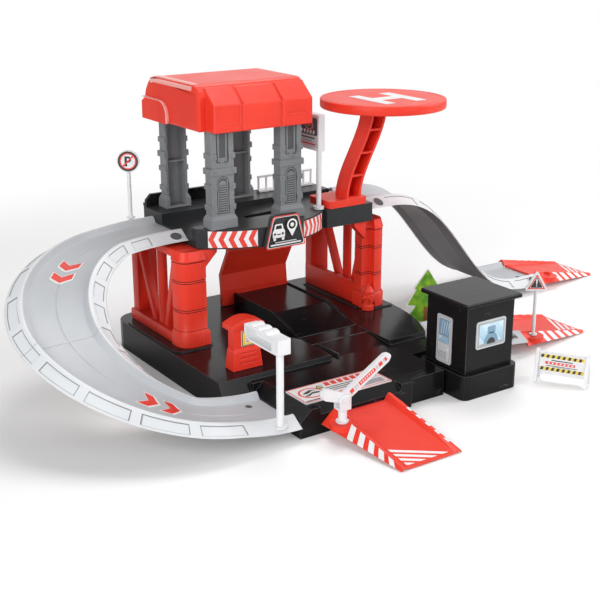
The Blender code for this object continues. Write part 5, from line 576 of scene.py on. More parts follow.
class Bench:
    """Turns points, outlines and sections into named objects."""

    @staticmethod
    def placed(name: str, mesh: bpy.types.Mesh, sharp: float) -> bpy.types.Object:
        """Object that shows a mesh.

        Args:
            name: Its name.
            mesh: The mesh, which gets smooth shading.
            sharp: Angle in degrees from which an edge stays sharp.

        Returns:
            The object, linked to the scene.
        """
        mesh.shade_smooth()
        mesh.set_sharp_from_angle(angle=math.radians(sharp))
        obj = bpy.data.objects.new(name, mesh)
        bpy.context.scene.collection.objects.link(obj)
        return obj

    @staticmethod
    def named(
        name: str, points: Sequence[Vector], faces: Sequence[Sequence[int]], finishes: Sequence[Finish],
        slots: Sequence[int] = (), sharp: float = 32.0,
    ) -> bpy.types.Object:
        """Makes an object whose faces point outwards.

        Args:
            name: Its name.
            points: Its corners.
            faces: Its faces by corner number.
            finishes: Its materials.
            slots: Material number of each face.
            sharp: Angle in degrees from which an edge stays sharp.

        Returns:
            The object.
        """
        mesh = bpy.data.meshes.new(name)
        mesh.from_pydata([tuple(p) for p in points], [], [tuple(f) for f in faces])
        if slots:
            mesh.polygons.foreach_set("material_index", slots)
        bm = bmesh.new()
        bm.from_mesh(mesh)
        bmesh.ops.recalc_face_normals(bm, faces=bm.faces)
        bm.to_mesh(mesh)
        bm.free()
        for finish in finishes:
            mesh.materials.append(finish.material())
        return Bench.placed(name, mesh, sharp)

    @staticmethod
    def lofted(
        name: str, rings: Sequence[Sequence[Vector]], finishes: Sequence[Finish], sharp: float = 32.0,
        zones: Sequence[Sequence[int]] = (),
    ) -> bpy.types.Object:
        """Body through rings that have as many corners, capped at both ends.

        Args:
            name: Object name.
            rings: The rings.
            finishes: Its materials.
            sharp: Angle of sharp edges.
            zones: Material numbers of the strips round the rings, one list for each span.

        Returns:
            The object.
        """
        count = len(rings[0])
        points = [p for ring in rings for p in ring]
        faces: Faces = []
        for a in range(0, len(points) - count, count):
            faces += [(a + i, a + (i + 1) % count, a + count + (i + 1) % count, a + count + i) for i in range(count)]
        faces += [tuple(range(count)), tuple(range(len(points) - count, len(points)))]
        slots = [zone for span in zones for zone in span] + [0, 0] if zones else []
        return Bench.named(name, points, faces, finishes, slots, sharp)

    @staticmethod
    def sheet(outlines: Sequence[Outline], cell: float) -> tuple[Outline, Faces, list[tuple[int, int]]]:
        """Flat triangulated shape with holes.

        Args:
            outlines: The outer outline and its holes.
            cell: Longest edge before it is cut up.

        Returns:
            Its points, faces and border edges.
        """
        bm = bmesh.new()
        for outline in outlines:
            ring = [bm.verts.new((u, v, 0.0)) for u, v in outline]
            for i, vert in enumerate(ring):
                bm.edges.new((vert, ring[(i + 1) % len(ring)]))
        bmesh.ops.triangle_fill(bm, use_beauty=True, edges=bm.edges[:], normal=UP)
        for _ in range(5):
            long_edges = [e for e in bm.edges if e.calc_length() > cell]
            if not long_edges:
                break
            bmesh.ops.subdivide_edges(bm, edges=long_edges, cuts=1, use_grid_fill=False)
            bmesh.ops.triangulate(bm, faces=bm.faces[:])
        bm.normal_update()
        for face in bm.faces:
            if face.normal.z < 0.0:
                face.normal_flip()
        bm.verts.index_update()
        points = [(v.co.x, v.co.y) for v in bm.verts]
        faces = [tuple(v.index for v in f.verts) for f in bm.faces]
        border = [
            (loop.vert.index, loop.link_loop_next.vert.index)
            for face in bm.faces for loop in face.loops if len(loop.edge.link_faces) == 1
        ]
        bm.free()
        return points, faces, border

    @staticmethod
    def sticker(name: str, layers: Sequence[Layer], place: Place, cell: float = 1.0) -> bpy.types.Object:
        """Stack of thin shapes laid on a surface.

        Args:
            name: Object name.
            layers: Its shapes.
            place: Turns metres across, up and above the surface into a point.
            cell: Longest edge in metres, so that it bends with the surface.

        Returns:
            The object.
        """
        points: list[Vector] = []
        faces: Faces = []
        slots: list[int] = []
        finishes = list(dict.fromkeys(layer.finish for layer in layers))
        for layer in layers:
            flat, tops, border = Bench.sheet(layer.outlines, cell)
            start, under = len(points), len(points) + len(flat)
            points += [place(u, v, height) for height in (layer.high, layer.low) for u, v in flat]
            made = [tuple(start + i for i in face) for face in tops]
            made += [tuple(under + i for i in reversed(face)) for face in tops]
            made += [(start + b, start + a, under + a, under + b) for a, b in border]
            faces += made
            slots += [finishes.index(layer.finish)] * len(made)
        return Bench.named(name, points, faces, finishes, slots, sharp=30.0)

    @staticmethod
    def block(layer: Layer, place: Place, soft: float = 0.0) -> bpy.types.Object:
        """Layer as a block whose sharp edges are rounded.

        Args:
            layer: Its outline and heights.
            place: Turns the outline and the height into a point.
            soft: Reach of the rounding in millimetres.

        Returns:
            The object.
        """
        obj = Bench.sticker("block", [layer], place)
        if soft > 0.0:
            bm = bmesh.new()
            bm.from_mesh(obj.data)
            bmesh.ops.dissolve_limit(bm, angle_limit=math.radians(0.5), verts=bm.verts, edges=bm.edges)
            bm.to_mesh(obj.data)
            bm.free()
            bevel = obj.modifiers.new("soft", "BEVEL")
            bevel.width = soft * MM
            bevel.segments = 3
            bevel.limit_method = "ANGLE"
            bevel.angle_limit = math.radians(35.0)
            seen = obj.evaluated_get(bpy.context.evaluated_depsgraph_get())
            mesh = bpy.data.meshes.new_from_object(seen)
            obj.modifiers.clear()
            obj.data = mesh
        return obj

    @staticmethod
    def joined(name: str, pieces: Sequence[bpy.types.Object]) -> bpy.types.Object:
        """One object from several, keeping their materials.

        Args:
            name: Its name.
            pieces: The objects, which are removed.

        Returns:
            The object.
        """
        materials: list[bpy.types.Material] = []
        bm = bmesh.new()
        for piece in pieces:
            own = list(piece.data.materials)
            first = len(bm.faces)
            bm.from_mesh(piece.data)
            bm.faces.ensure_lookup_table()
            for face in bm.faces[first:]:
                material = own[face.material_index]
                if material not in materials:
                    materials.append(material)
                face.material_index = materials.index(material)
            bpy.data.objects.remove(piece)
        mesh = bpy.data.meshes.new(name)
        bm.to_mesh(mesh)
        bm.free()
        for material in materials:
            mesh.materials.append(material)
        return Bench.placed(name, mesh, 40.0)


def in_station(x: float, y: float, z: float) -> Vector:
    """Point of the station, from the front left corner of its base."""
    return Vector((x, y, z)) + DATUM


def plane(corner: Vector, across: Vector, up: Vector = UP) -> Place:
    """Placement on a flat face.

    Args:
        corner: Where across and up are nothing.
        across: Direction of the first coordinate, of length 1.
        up: Direction of the second coordinate, of length 1.

    Returns:
        The placement; its third coordinate leaves the face.
    """
    out = across.cross(up)

    def place(u: float, v: float, w: float) -> Vector:
        """Point above the face."""
        return corner + across * u + up * v + out * w

    return place


def turned(degrees: float) -> Vector:
    """Direction along +X turned about the vertical."""
    angle = math.radians(degrees)
    return Vector((math.cos(angle), math.sin(angle), 0.0))


def delivered(obj: bpy.types.Object, slot: str, *nodes: str, body: str = Body.STATION.value) -> None:
    """Hands a piece over to its body.

    Args:
        obj: The piece.
        slot: The record's material slot; not used.
        nodes: Solids that it stands for.
        body: The body that carries it.
    """
    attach(obj, body)
    if nodes:
        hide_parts(*nodes)
    LOG.info("%s rides on %s%s", obj.name, body, " for " + ", ".join(nodes) if nodes else "")


@dataclass
class MouldedShell:
    """The moulded pieces whose solids are kept as they are, and what each is made of."""

    nodes: dict[str, bpy.types.Object]
    finishes: dict[Finish, str] = field(default_factory=lambda: {
        BLACK: "base_platform garage_road deck_guard booth_plinth booth_body booth_roof",
        DECK: "upper_deck",
        RED: "left_wall_frame right_wall_frame garage_back_wall helipad_pillar fire_hydrant pump_kiosk helipad_disc "
             "front_ramp side_ramp rear_ramp",
        ROOF_RED_HIGHLIT: "tower_roof",
        WHITE: "deck_railing billboard_post billboard_panel barrier_post barrier_pin barrier_arm street_lamp_post "
               "street_lamp_head no_parking_post no_parking_disc warning_post warning_triangle barricade_frame",
        COLUMN: "tower_column_front_left tower_column_front_right tower_column_back_left tower_column_back_right",
        TRACK: "spiral_track_upper spiral_track_lower slide_track side_connector_track",
        INK_BLACK: "parking_plate",
        INK_WHITE: "notice_plate kiosk_label barricade_panel tree",
        INK_PALE: "booth_door booth_window",
    })

    def dress(self) -> None:
        """Gives every kept solid its finish."""
        for finish, names in self.finishes.items():
            for name in names.split():
                materials = self.nodes[name].data.materials
                materials.clear()
                materials.append(finish.material())
                LOG.info("%s finished in %s", name, finish.name)


@dataclass
class TrackShape:
    """Cross-section of the tracks: a round-topped kerb on each side, with recessed panels on its outer face."""

    ridge_half: float = 0.0254
    skirt_half: float = 0.0382
    kerb_rise: float = 0.005
    skirt_drop: float = 0.0073
    wall: float = 0.002
    crown: float = 0.0011
    kerb_run: float = 0.0035
    groove_half: float = 0.0004
    groove_depth: float = 0.0004
    recess: float = 0.0006
    panel_top: float = 0.20
    panel_foot: float = 0.82
    panel_edge: float = 0.022
    strips: tuple[tuple[Zone, int], ...] = (
        (Zone.LIT_KERB, 8), (Zone.ROAD, 11), (Zone.LIT_KERB, 9), (Zone.UNDERSIDE_SHADE, 7), (Zone.LIT_KERB, 1),
    )
    right_panel: tuple[int, int, int] = (1, 2, 3)
    left_panel: tuple[int, int, int] = (25, 24, 23)

    def skirt_point(self, share: float, sunk: float = 0.0) -> Flat:
        """Point on the outer face of a kerb.

        Args:
            share: 0 at the ridge, 1 at the foot.
            sunk: Depth below the face.

        Returns:
            Sideways place and height above the floor.
        """
        run = self.skirt_half - self.ridge_half - self.crown
        length = math.hypot(run, self.skirt_drop)
        side = self.ridge_half + self.crown + run * share - sunk * self.skirt_drop / length
        return side, self.kerb_rise - self.skirt_drop * share - sunk * run / length

    def half(self, sunk: float) -> Outline:
        """Upper half section from the foot to the groove, all on the positive side.

        Args:
            sunk: Depth of the kerb's panel.

        Returns:
            Sideways place and height of each corner.
        """
        top, foot, edge = self.panel_top, self.panel_foot, self.panel_edge
        face = ((1.0, 0.0), (foot + edge, 0.0), (foot - edge, sunk), (top + edge, sunk), (top - edge, 0.0), (0.06, 0.0))
        ridge, rise, crown = self.ridge_half, self.kerb_rise, self.crown
        road = ridge - crown - self.kerb_run
        return [self.skirt_point(share, depth) for share, depth in face] + [
            (ridge + crown * 0.72, rise - 0.0001), (ridge + crown * 0.3, rise + 0.00005), (ridge - crown * 0.5, rise),
            (ridge - crown - 0.0003, rise - 0.0004), (road + 0.0004, 0.0006), (road - 0.0004, 0.0),
        ]

    def section(self, sunk: Sequence[float], groove: float) -> Outline:
        """Closed section.

        Args:
            sunk: Panel depth on the positive and on the negative side.
            groove: Depth of the middle groove.

        Returns:
            Sideways place and height of each corner.
        """
        wide, narrow = self.groove_half * 1.6, self.groove_half
        rise, ridge, wall = self.kerb_rise, self.ridge_half, self.wall
        under = [
            (self.skirt_half - wall, rise - self.skirt_drop), (ridge + self.crown * 0.8, rise - wall),
            (ridge - self.crown, rise - wall), (ridge - self.crown - self.kerb_run - wall * 0.5, -wall),
        ]
        left = [(-x, z) for x, z in reversed(self.half(sunk[1]))]
        middle = [(wide, 0.0), (narrow, -groove), (-narrow, -groove), (-wide, 0.0)]
        return self.half(sunk[0]) + middle + left + [(-x, z) for x, z in under] + under[::-1]

    def zones(self, right: tuple[bool, bool], left: tuple[bool, bool]) -> list[int]:
        """Finish of each strip of one span; the edges of a sunk panel get the dark line of painted shade.

        Args:
            right: Whether the panel of the positive side is sunk at the span's two ends.
            left: The same for the negative side.

        Returns:
            The material numbers.
        """
        zones = [zone for zone, count in self.strips for _ in range(count)]
        for ends, strips in ((right, self.right_panel), (left, self.left_panel)):
            if any(ends):
                for strip in strips if ends[0] != ends[1] else (strips[0], strips[2]):
                    zones[strip] = Zone.PANEL_SHADE_LINE
        return zones


@dataclass
class KerbPanels:
    """Row of recessed panels along a kerb, in metres along it."""

    first: float
    length: float
    pitch: float
    last: float

    def spans(self) -> list[Flat]:
        """Start and end of each panel.

        Returns:
            The spans.
        """
        found = []
        start = self.first
        while start + self.length * 0.5 < self.last:
            found.append((start, min(start + self.length, self.last)))
            start += self.pitch
        return found


@dataclass
class Track(ABC):
    """A track along a path: where each place of it lies, and what its section is there."""

    shape: TrackShape = field(default_factory=TrackShape)
    blur: float = 0.0008

    @abstractmethod
    def path(self, share: float) -> tuple[Vector, Vector]:
        """Point and outward direction at a share of the length."""

    @abstractmethod
    def floor(self, share: float) -> float:
        """Height of the floor at a share of the length."""

    def point(self, share: float, side: float, rise: float) -> Vector:
        """Point beside and above the floor at a share of the length."""
        here, out = self.path(share)
        return in_station(here.x + out.x * side, here.y + out.y * side, self.floor(share) + rise)

    def on_floor(self, share: float, side: float, length: float, way: float = 1.0) -> Place:
        """Placement on the floor.

        Args:
            share: Where along the track.
            side: Where beside its middle.
            length: The track's length.
            way: 1 or -1, the side that v leads to.

        Returns:
            The placement.
        """
        return lambda u, v, w: self.point(share + u / length, side + way * v, w)

    def kerb_lengths(self, side: float, steps: int = 500) -> list[float]:
        """Lengths along a kerb.

        Args:
            side: Sideways place of the kerb.
            steps: Equal shares of the track.

        Returns:
            Length up to each share.
        """
        points = [self.point(i / steps, side, 0.0) for i in range(steps + 1)]
        lengths = [0.0]
        for a, b in zip(points, points[1:]):
            lengths.append(lengths[-1] + (b - a).length)
        return lengths

    def shares(self, side: float, row: KerbPanels) -> list[Flat]:
        """Panel spans of a kerb as shares of the track's length.

        Args:
            side: Sideways place of the kerb.
            row: Its panels.

        Returns:
            The spans.
        """
        lengths = self.kerb_lengths(side)
        steps = len(lengths) - 1

        def share_at(goal: float) -> float:
            """Share of the track at a length along the kerb.

            Args:
                goal: The length.

            Returns:
                The share.
            """
            index = min(steps - 1, max(0, bisect_left(lengths, goal) - 1))
            span = max(1e-9, lengths[index + 1] - lengths[index])
            return min(1.0, max(0.0, (index + (goal - lengths[index]) / span) / steps))

        return [(share_at(a), share_at(b)) for a, b in row.spans()]

    def moulded(self, node: str, span: Flat, stations: int, panels: Sequence[KerbPanels], groove: Flat) -> None:
        """Makes the moulding between two shares and stands it for its solid.

        Args:
            node: The solid.
            span: First and last share.
            stations: Even steps between them.
            panels: Panels on the positive and on the negative side.
            groove: Shares between which the middle groove runs.
        """
        middle = (self.shape.ridge_half + self.shape.skirt_half) / 2
        rows = [self.shares(side, row) for side, row in zip((middle, -middle), panels)]
        blur = self.blur / self.kerb_lengths(0.0)[-1]
        marks = {mix(*span, i / stations) for i in range(stations + 1)}
        for edge in (mark for pair in (*rows[0], *rows[1], groove) for mark in pair):
            marks |= {mark for mark in (edge - blur / 2, edge + blur / 2) if span[0] < mark < span[1]}
        rings = []
        states = []
        for share in sorted(marks):
            states.append([any(a < share < b for a, b in row) for row in rows])
            dip = self.shape.groove_depth * (groove[0] < share < groove[1])
            section = self.shape.section([self.shape.recess * sunk for sunk in states[-1]], dip)
            rings.append([self.point(share, side, rise) for side, rise in section])
        zones = [self.shape.zones((a[0], b[0]), (a[1], b[1])) for a, b in zip(states, states[1:])]
        delivered(Bench.lofted(node + "_fine", rings, TRACK_FINISHES, 28.0, zones), "track_grey", node)


@dataclass
class SpiralTrack(Track):
    """Left spiral: two grey mouldings that come down from the deck, round and back to the front tier."""

    top_y: float = 0.2067
    end_y: float = 0.0350
    turn_x: float = -0.0527
    reach: float = 0.0758
    power: float = 1.85
    deck_left: float = 0.003
    gap: float = 0.0003
    top_floor: float = 0.1148
    low_floor: float = 0.012
    fall_blend: float = 1.03
    fall_power: float = 1.137
    split: float = 0.52
    straightening: float = 1.0 / 44
    turns: int = 240
    outer: KerbPanels = field(default_factory=lambda: KerbPanels(0.052, 0.034, 0.0425, 0.450))
    inner: KerbPanels = field(default_factory=lambda: KerbPanels(0.032, 0.0155, 0.0222, 0.262))

    def __post_init__(self) -> None:
        """Draws the centre line."""
        middle = (self.top_y + self.end_y) / 2
        rise = (self.top_y - self.end_y) / 2
        self.chain = [Vector((self.deck_left - self.gap, self.top_y))]
        for i in range(self.turns + 1):
            turn = math.pi * i / self.turns
            side = abs(math.sin(turn)) ** (2.0 / self.power)
            up = math.copysign(abs(math.cos(turn)) ** (2.0 / self.power), math.cos(turn))
            self.chain.append(Vector((self.turn_x - self.reach * side, middle + rise * up)))
        self.chain.append(Vector((-self.gap, self.end_y)))
        self.lengths = [0.0]
        for a, b in zip(self.chain, self.chain[1:]):
            self.lengths.append(self.lengths[-1] + (b - a).length)

    def spot(self, share: float) -> Vector:
        """Point of the centre line at a share of its length.

        Args:
            share: The share.

        Returns:
            The point.
        """
        goal = min(1.0, max(0.0, share)) * self.lengths[-1]
        low = min(len(self.lengths) - 2, bisect_right(self.lengths, goal) - 1)
        start, end = self.lengths[low:low + 2]
        return self.chain[low].lerp(self.chain[low + 1], (goal - start) / (end - start))

    def path(self, share: float) -> tuple[Vector, Vector]:
        """Point and outward direction; the track starts and ends straight.

        Args:
            share: Share of the length.

        Returns:
            The point and the direction.
        """
        step = self.straightening
        along = (self.spot(share + step) - self.spot(share - step)).normalized()
        ends = min(1.0, share / step, (1.0 - share) / step)
        if ends < 1.0:
            straight = Vector((-1.0 if share < 0.5 else 1.0, 0.0))
            along = straight.lerp(along, smooth_step(ends)).normalized()
        return self.spot(share), Vector((along.y, -along.x))

    def floor(self, share: float) -> float:
        """Height of the floor at a share of the length."""
        fall = mix(share, smooth_step(share ** self.fall_power), self.fall_blend)
        return mix(self.top_floor, self.low_floor, fall)

    def build(self) -> None:
        """Makes both mouldings."""
        half_gap = self.gap / 2 / self.lengths[-1]
        upper, lower = (0.0, self.split - half_gap), (self.split + half_gap, 1.0)
        for name, span in (("upper", upper), ("lower", lower)):
            self.moulded(f"spiral_track_{name}", span, 90, (self.outer, self.inner), (0.05, 0.93))

    def dress(self) -> None:
        """Lays the arrow stickers on the floor, two pairs of them."""
        layers = []
        for start in (0.0, 15.5):
            layers.append(Layer(INK_WHITE, 0.05, 0.20, chevron(start - 1.2, 9.4, -9.5, 9.5, 6.2)))
            layers.append(Layer(INK_RED, 0.15, 0.28, chevron(start, 7.0, -8.5, 8.5, 5.6)))
        for name, share in (("high", 0.262), ("low", 0.705)):
            place = self.on_floor(share, 0.0, self.lengths[-1], -1.0)
            delivered(Bench.sticker(f"track_arrows_{name}", layers, place, 0.005), "red")


@dataclass
class SlideTrack(Track):
    """Right slide: one grey moulding that drops from the deck to the table, its skirt wider than the spiral's."""

    shape: TrackShape = field(default_factory=lambda: TrackShape(skirt_half=0.0392))
    start_x: float = 0.1783
    end_x: float = 0.404
    flat: float = 0.0197
    fall: float = 0.183
    centre_y: float = 0.1875
    high: float = 0.1213
    low: float = 0.0109
    panels: KerbPanels = field(default_factory=lambda: KerbPanels(0.020, 0.034, 0.0425, 0.262))

    def path(self, share: float) -> tuple[Vector, Vector]:
        """Point and outward direction at a share of the length."""
        return Vector((mix(self.start_x, self.end_x, share), self.centre_y)), Vector((0.0, -1.0))

    def floor(self, share: float) -> float:
        """Height of the floor.

        Args:
            share: Share of the length.

        Returns:
            The height.
        """
        gone = (self.end_x - self.start_x) * share
        value = min(1.0, max(0.0, (gone - self.flat) / self.fall))
        return mix(self.high, self.low, value ** 2 / (value ** 2 + (1.0 - value) ** 2))

    def build(self) -> None:
        """Makes the moulding."""
        self.moulded("slide_track", (0.0, 1.0), 96, (self.panels, self.panels), (0.10, 0.90))


@dataclass
class Helipad:
    """Round landing disc with a rolled rim, a ring groove and its landing mark."""

    centre: Vector = field(default_factory=lambda: in_station(0.188, 0.150, 0.2089))
    radius: float = 0.055
    thick: float = 0.008
    wall: float = 0.0022
    steps: int = 128

    def build(self) -> None:
        """Turns the disc."""
        r, t, wall = self.radius, self.thick, self.wall
        profile = [
            (0.0, t), (r - 0.0046, t), (r - 0.0042, t - 0.0003), (r - 0.0036, t - 0.0003), (r - 0.0032, t),
            (r - 0.0014, t), (r - 0.0006, t - 0.0002), (r - 0.0002, t - 0.0007), (r, t - 0.0014), (r, 0.0012),
            (r - 0.0003, 0.0004), (r - 0.0009, 0.0), (r - wall, 0.0), (r - wall, t - wall), (0.0, t - wall),
        ]
        points: list[Vector] = []
        rings: list[list[int]] = []
        for radius, height in profile:
            count = self.steps if radius else 1
            rings.append([len(points) + i % count for i in range(self.steps)])
            for x, y in circle(0.0, 0.0, radius, self.steps)[:count]:
                points.append(self.centre + Vector((x, y, height)))
        faces = []
        for a, b in zip(rings, rings[1:]):
            for i in range(self.steps):
                j = (i + 1) % self.steps
                faces.append(tuple(dict.fromkeys((a[i], a[j], b[j], b[i]))))
        delivered(Bench.named("helipad_disc_fine", points, faces, [RED], sharp=30.0), "red", "helipad_disc")

    def dress(self) -> None:
        """Lays the landing mark on the disc."""
        (a, b), (c, d), (low, high), (e, f) = (-23.0, -12.3), (10.0, 21.5), (-33.0, 19.0), (-13.5, 0.0)
        mark = [
            (a, low), (b, low), (b, e), (c, e), (c, low), (d, low),
            (d, high), (c, high), (c, f), (b, f), (b, high), (a, high),
        ]
        place = plane(self.centre + UP * self.thick, RIGHT, BACK)
        delivered(Bench.sticker("helipad_mark", [Layer(INK_WHITE, 0.05, 0.22, mark)], place), "print_white")


@dataclass
class DeckSigns:
    """Printed signs on the deck's bowed front: arrow bands and the car-park plate."""

    bow_centre: Flat = (0.067, 0.217)
    bow_radius: float = 0.088
    deck_bottom: float = 0.1083
    plate_corner: Vector = field(default_factory=lambda: in_station(0.0695, 0.1243, 0.1063))

    def on_bow(self, u: float, v: float, w: float) -> Vector:
        """Point on the bowed front.

        Args:
            u: Distance along it from the plate.
            v: Height above the deck's foot.
            w: Distance in front of it.

        Returns:
            The point.
        """
        turn, radius = u / self.bow_radius, self.bow_radius + w
        x, y = self.bow_centre
        return in_station(x + radius * math.sin(turn), y - radius * math.cos(turn), self.deck_bottom + v)

    def arrows(self, name: str, left: float, right: float, towards: float) -> None:
        """Lays one band of arrows.

        Args:
            name: Object name.
            left: Where it starts along the front.
            right: Where it ends.
            towards: -1 for arrows to the left, 1 for the right.
        """
        low, high, count = 1.2, 15.0, 5
        lead, body, point = 0.45, 0.52, 0.42
        step = (right - left) / count
        layers = [Layer(INK_WHITE, 0.12, 0.30, box(left, right, low, high))]
        for k in range(count):
            start = left + k * step + (step * lead if towards < 0 else 0.0)
            shape = chevron(start, step * body, low, high, towards * step * point)
            layers.append(Layer(INK_RED, 0.25, 0.38, [(min(right, max(left, u)), v) for u, v in shape]))
        delivered(Bench.sticker(name, layers, self.on_bow, 0.004), "print_white")

    @staticmethod
    def trapezium(inset: float) -> Outline:
        """Outline of the plate drawn in by a distance."""
        low, high = 20.0 - inset * 1.15, 13.0 - inset * 0.95
        return rounded([(-low, inset), (low, inset), (high, 28.0 - inset), (-high, 28.0 - inset)], 2.6)

    def plate(self) -> None:
        """Prints the car-park plate: red border, white line, black field, a car's front and a map pin."""
        car = [
            (-12.8, 9.5), (-1.0, 9.5), (-1.0, 15.0), (-2.4, 16.5),
            (-3.4, 21.0), (-10.4, 21.0), (-11.4, 16.5), (-12.8, 15.0),
        ]
        holes = (
            [(-10.2, 16.8), (-3.6, 16.8), (-4.4, 19.8), (-9.4, 19.8)],
            box(-11.8, -9.6, 11.8, 13.6, 0.6), box(-4.2, -2.0, 11.8, 13.6, 0.6), box(-8.8, -5.0, 11.8, 12.8, 0.4),
        )
        drop = arc(6.2, 18.8, 5.0, 5.0, -35.0, 215.0, 25) + [(6.2, 9.0)]
        whites = (
            (rounded(car, 0.9), *holes), (box(-12.2, -9.8, 7.2, 10.0, 0.5),), (box(-4.0, -1.6, 7.2, 10.0, 0.5),),
            (drop, circle(6.2, 18.8, 3.6)), (circle(6.2, 18.8, 1.8),), (box(-15.0, 15.0, 3.0, 4.2, 0.4),),
            (box(-10.5, 10.5, 5.2, 5.8, 0.2),),
        )
        layers = [
            Layer(INK_RED, 0.05, 0.18, self.trapezium(0.3), self.trapezium(1.1)),
            Layer(INK_WHITE, 0.05, 0.18, self.trapezium(1.4), self.trapezium(1.8)),
            *(Layer(INK_WHITE, 0.05, 0.20, *shape) for shape in whites),
        ]
        delivered(Bench.sticker("parking_plate_print", layers, plane(self.plate_corner, RIGHT)), "print_white")

    def build(self) -> None:
        """Makes both bands and the plate's print."""
        self.arrows("deck_arrows_left", -61.5, -20.5, -1.0)
        self.arrows("deck_arrows_right", 26.5, 59.5, 1.0)
        self.plate()


@dataclass
class RoofHighlights:
    """Strips of painted highlight on the roof's left end: along its top and round the raised lobe."""

    end_x: float = 0.003
    top: float = 0.2409
    lobe_top: float = 0.2229
    lobe_x: float = 0.0005
    lobe_y: float = 0.1963
    lobe_radius: float = 0.012
    back: float = 0.2385
    bend: float = 0.2180
    back_radius: float = 0.022

    def build(self) -> None:
        """Makes both strips."""
        corner = ((-0.0008, -0.0048), (-0.0008, -0.0026), (0.0020, 0.0003), (0.0060, 0.0003), (0.0058, -0.0010))
        rings = []
        for y in (0.1562, 0.18, 0.20, 0.2180, 0.2200, 0.2220, 0.2240, 0.2256):
            drop = self.back_radius - math.sqrt(self.back_radius ** 2 - max(0.0, y - self.bend) ** 2)
            rings.append([in_station(self.end_x + x, y, self.top - drop + z) for x, z in corner])
        delivered(Bench.lofted("roof_end_highlight", rings, [ROOF_HIGHLIGHT]), "red")
        r, y, z = self.lobe_radius, self.lobe_y + self.lobe_radius, self.lobe_top - self.lobe_radius
        path = [(self.back, self.lobe_top, 0.0, 1.0), (y + 0.001, self.lobe_top, 0.0, 1.0)]
        path += [(y + r * a, z + r * b, a, b) for a, b in arc(0.0, 0.0, 1.0, 1.0, 90.0, 180.0, 8)]
        path.append((self.lobe_y, 0.2050, -1.0, 0.0))
        corner = ((-0.0002, -0.0007), (0.0003, 0.0002), (0.0024, 0.0002), (0.0024, -0.0006))
        rings = [[in_station(self.lobe_x + x, y + a * w, z + b * w) for x, w in corner] for y, z, a, b in path]
        delivered(Bench.lofted("roof_lobe_highlight", rings, [ROOF_HIGHLIGHT]), "red")


@dataclass
class SideWall:
    """Open side wall of the garage: braced frame on a ledge, with a round-nosed front column and a bracket."""

    name: str
    outer: float
    inward: float
    step_at: float = 18.5
    set_back: float = 0.7
    foot: float = 25.3
    band: float = 35.0
    rail: float = 101.0
    top: float = 108.0
    span: float = 23.3
    front: float = 150.0
    column_back: float = 167.0
    nose: float = 10.0
    grooves: tuple[float, ...] = (56.3, 58.1, 81.2, 83.0, 98.5)

    def plan(self, u: float, v: float, w: float) -> Vector:
        """Point from inward distance, depth and height."""
        return in_station(self.outer * MM + self.inward * u, v, w)

    def side(self, u: float, v: float, w: float) -> Vector:
        """Point from depth, height and inward distance."""
        return self.plan(w, u, v)

    def face(self, u: float, v: float, w: float) -> Vector:
        """Point from inward distance, height and depth."""
        return self.plan(u, w, v)

    def column_ring(self, margin: float, height: float) -> list[Vector]:
        """Outline of the front column.

        Args:
            margin: How far it is grown.
            height: Its height.

        Returns:
            The ring.
        """
        reach = self.nose + margin
        side, front = self.span + margin, self.front - margin
        ring = [(side, self.column_back), (side, front + self.set_back), (self.step_at, front + self.set_back)]
        ring.append((self.step_at - 0.3, front))
        ring += arc(self.nose, self.front + self.nose, reach, reach, -90.0, -180.0, 8)
        ring.append((-margin, self.column_back))
        return [self.plan(x * MM, y * MM, height * MM) for x, y in ring]

    def column(self) -> bpy.types.Object:
        """Front column with its collar, double grooves and drawn-in head, its grooves painted dark as painted shade.

        Returns:
            The column.
        """
        levels = [(self.foot, 1.8, 0), (37.5, 1.8, 0), (39.8, 0.3, 1), (40.2, 0.0, 0)]
        for height in self.grooves:
            levels += [(height - 0.4, 0.0, 1), (height - 0.2, -0.6, 1), (height + 0.2, -0.6, 1), (height + 0.4, 0.0, 0)]
        levels += [(100.0, 0.6, 0), (self.top - 0.4, -1.6, 0)]
        rings = [self.column_ring(margin, height) for height, margin, _ in levels]
        # Strips flagged as groove take the dark red of painted shade.
        zones = [[groove] * len(rings[0]) for _, _, groove in levels[:-1]]
        return Bench.lofted("column", rings, [RED, GROOVE_SHADE_RED], 30.0, zones)

    def build(self) -> None:
        """Makes the wall and stands it for its solid."""
        low, high, foot, top, span = self.band - 1.0, self.rail + 1.0, self.foot, self.top, self.span
        reach = span + 12.0
        # Dark strip of painted shade in the notch where the band's halves meet.
        seam = box(199.0, 199.6, foot + 0.3, low)
        bracket = [(span - 1.0, top - 0.6), (span - 1.0, 90.5), (reach, top - 4.0), (reach, top - 0.6)]
        blocks = (
            (self.side, RED, 3.0, span - 0.7, box(237.5, 248.0, low, high), 0.7),
            (self.side, RED, 4.0, 11.0, [(206.0, low - 1.0), (212.0, low - 1.0), (243.0, high), (236.5, high)], 0.7),
            (self.side, RED, 4.0, 11.0, [(186.0, low - 1.0), (192.0, low - 1.0), (173.0, high), (166.5, high)], 0.7),
            (self.side, RED, 5.0, 10.0, [(166.0, high), (166.0, 86.0), (176.5, high)], 0.7),
            (self.plan, RED, low, high, circle(8.0, 199.0, 4.2, 14), 0.0),
            (self.plan, RED, foot, self.band, box(0.0, span - 1.1, 160.0, 248.4), 1.2),
            (self.plan, RED, foot, 45.3, box(span - 6.0, span - 0.4, 160.0, 247.8), 0.6),
            (self.plan, RED, self.rail, top, box(1.2, span - 0.2, 158.5, 248.8), 0.8),
            (self.side, GROOVE_SHADE_RED, -0.06, 0.4, seam, 0.0),
            (self.face, RED, self.front + 2.2, self.front + 10.0, bracket, 0.6),
        )
        pieces = [self.column()]
        for place, ink, start, end, shape, soft in blocks:
            pieces.append(Bench.block(Layer(ink, start, end, shape), place, soft))
        delivered(Bench.joined(self.name + "_fine", pieces), "red", self.name)


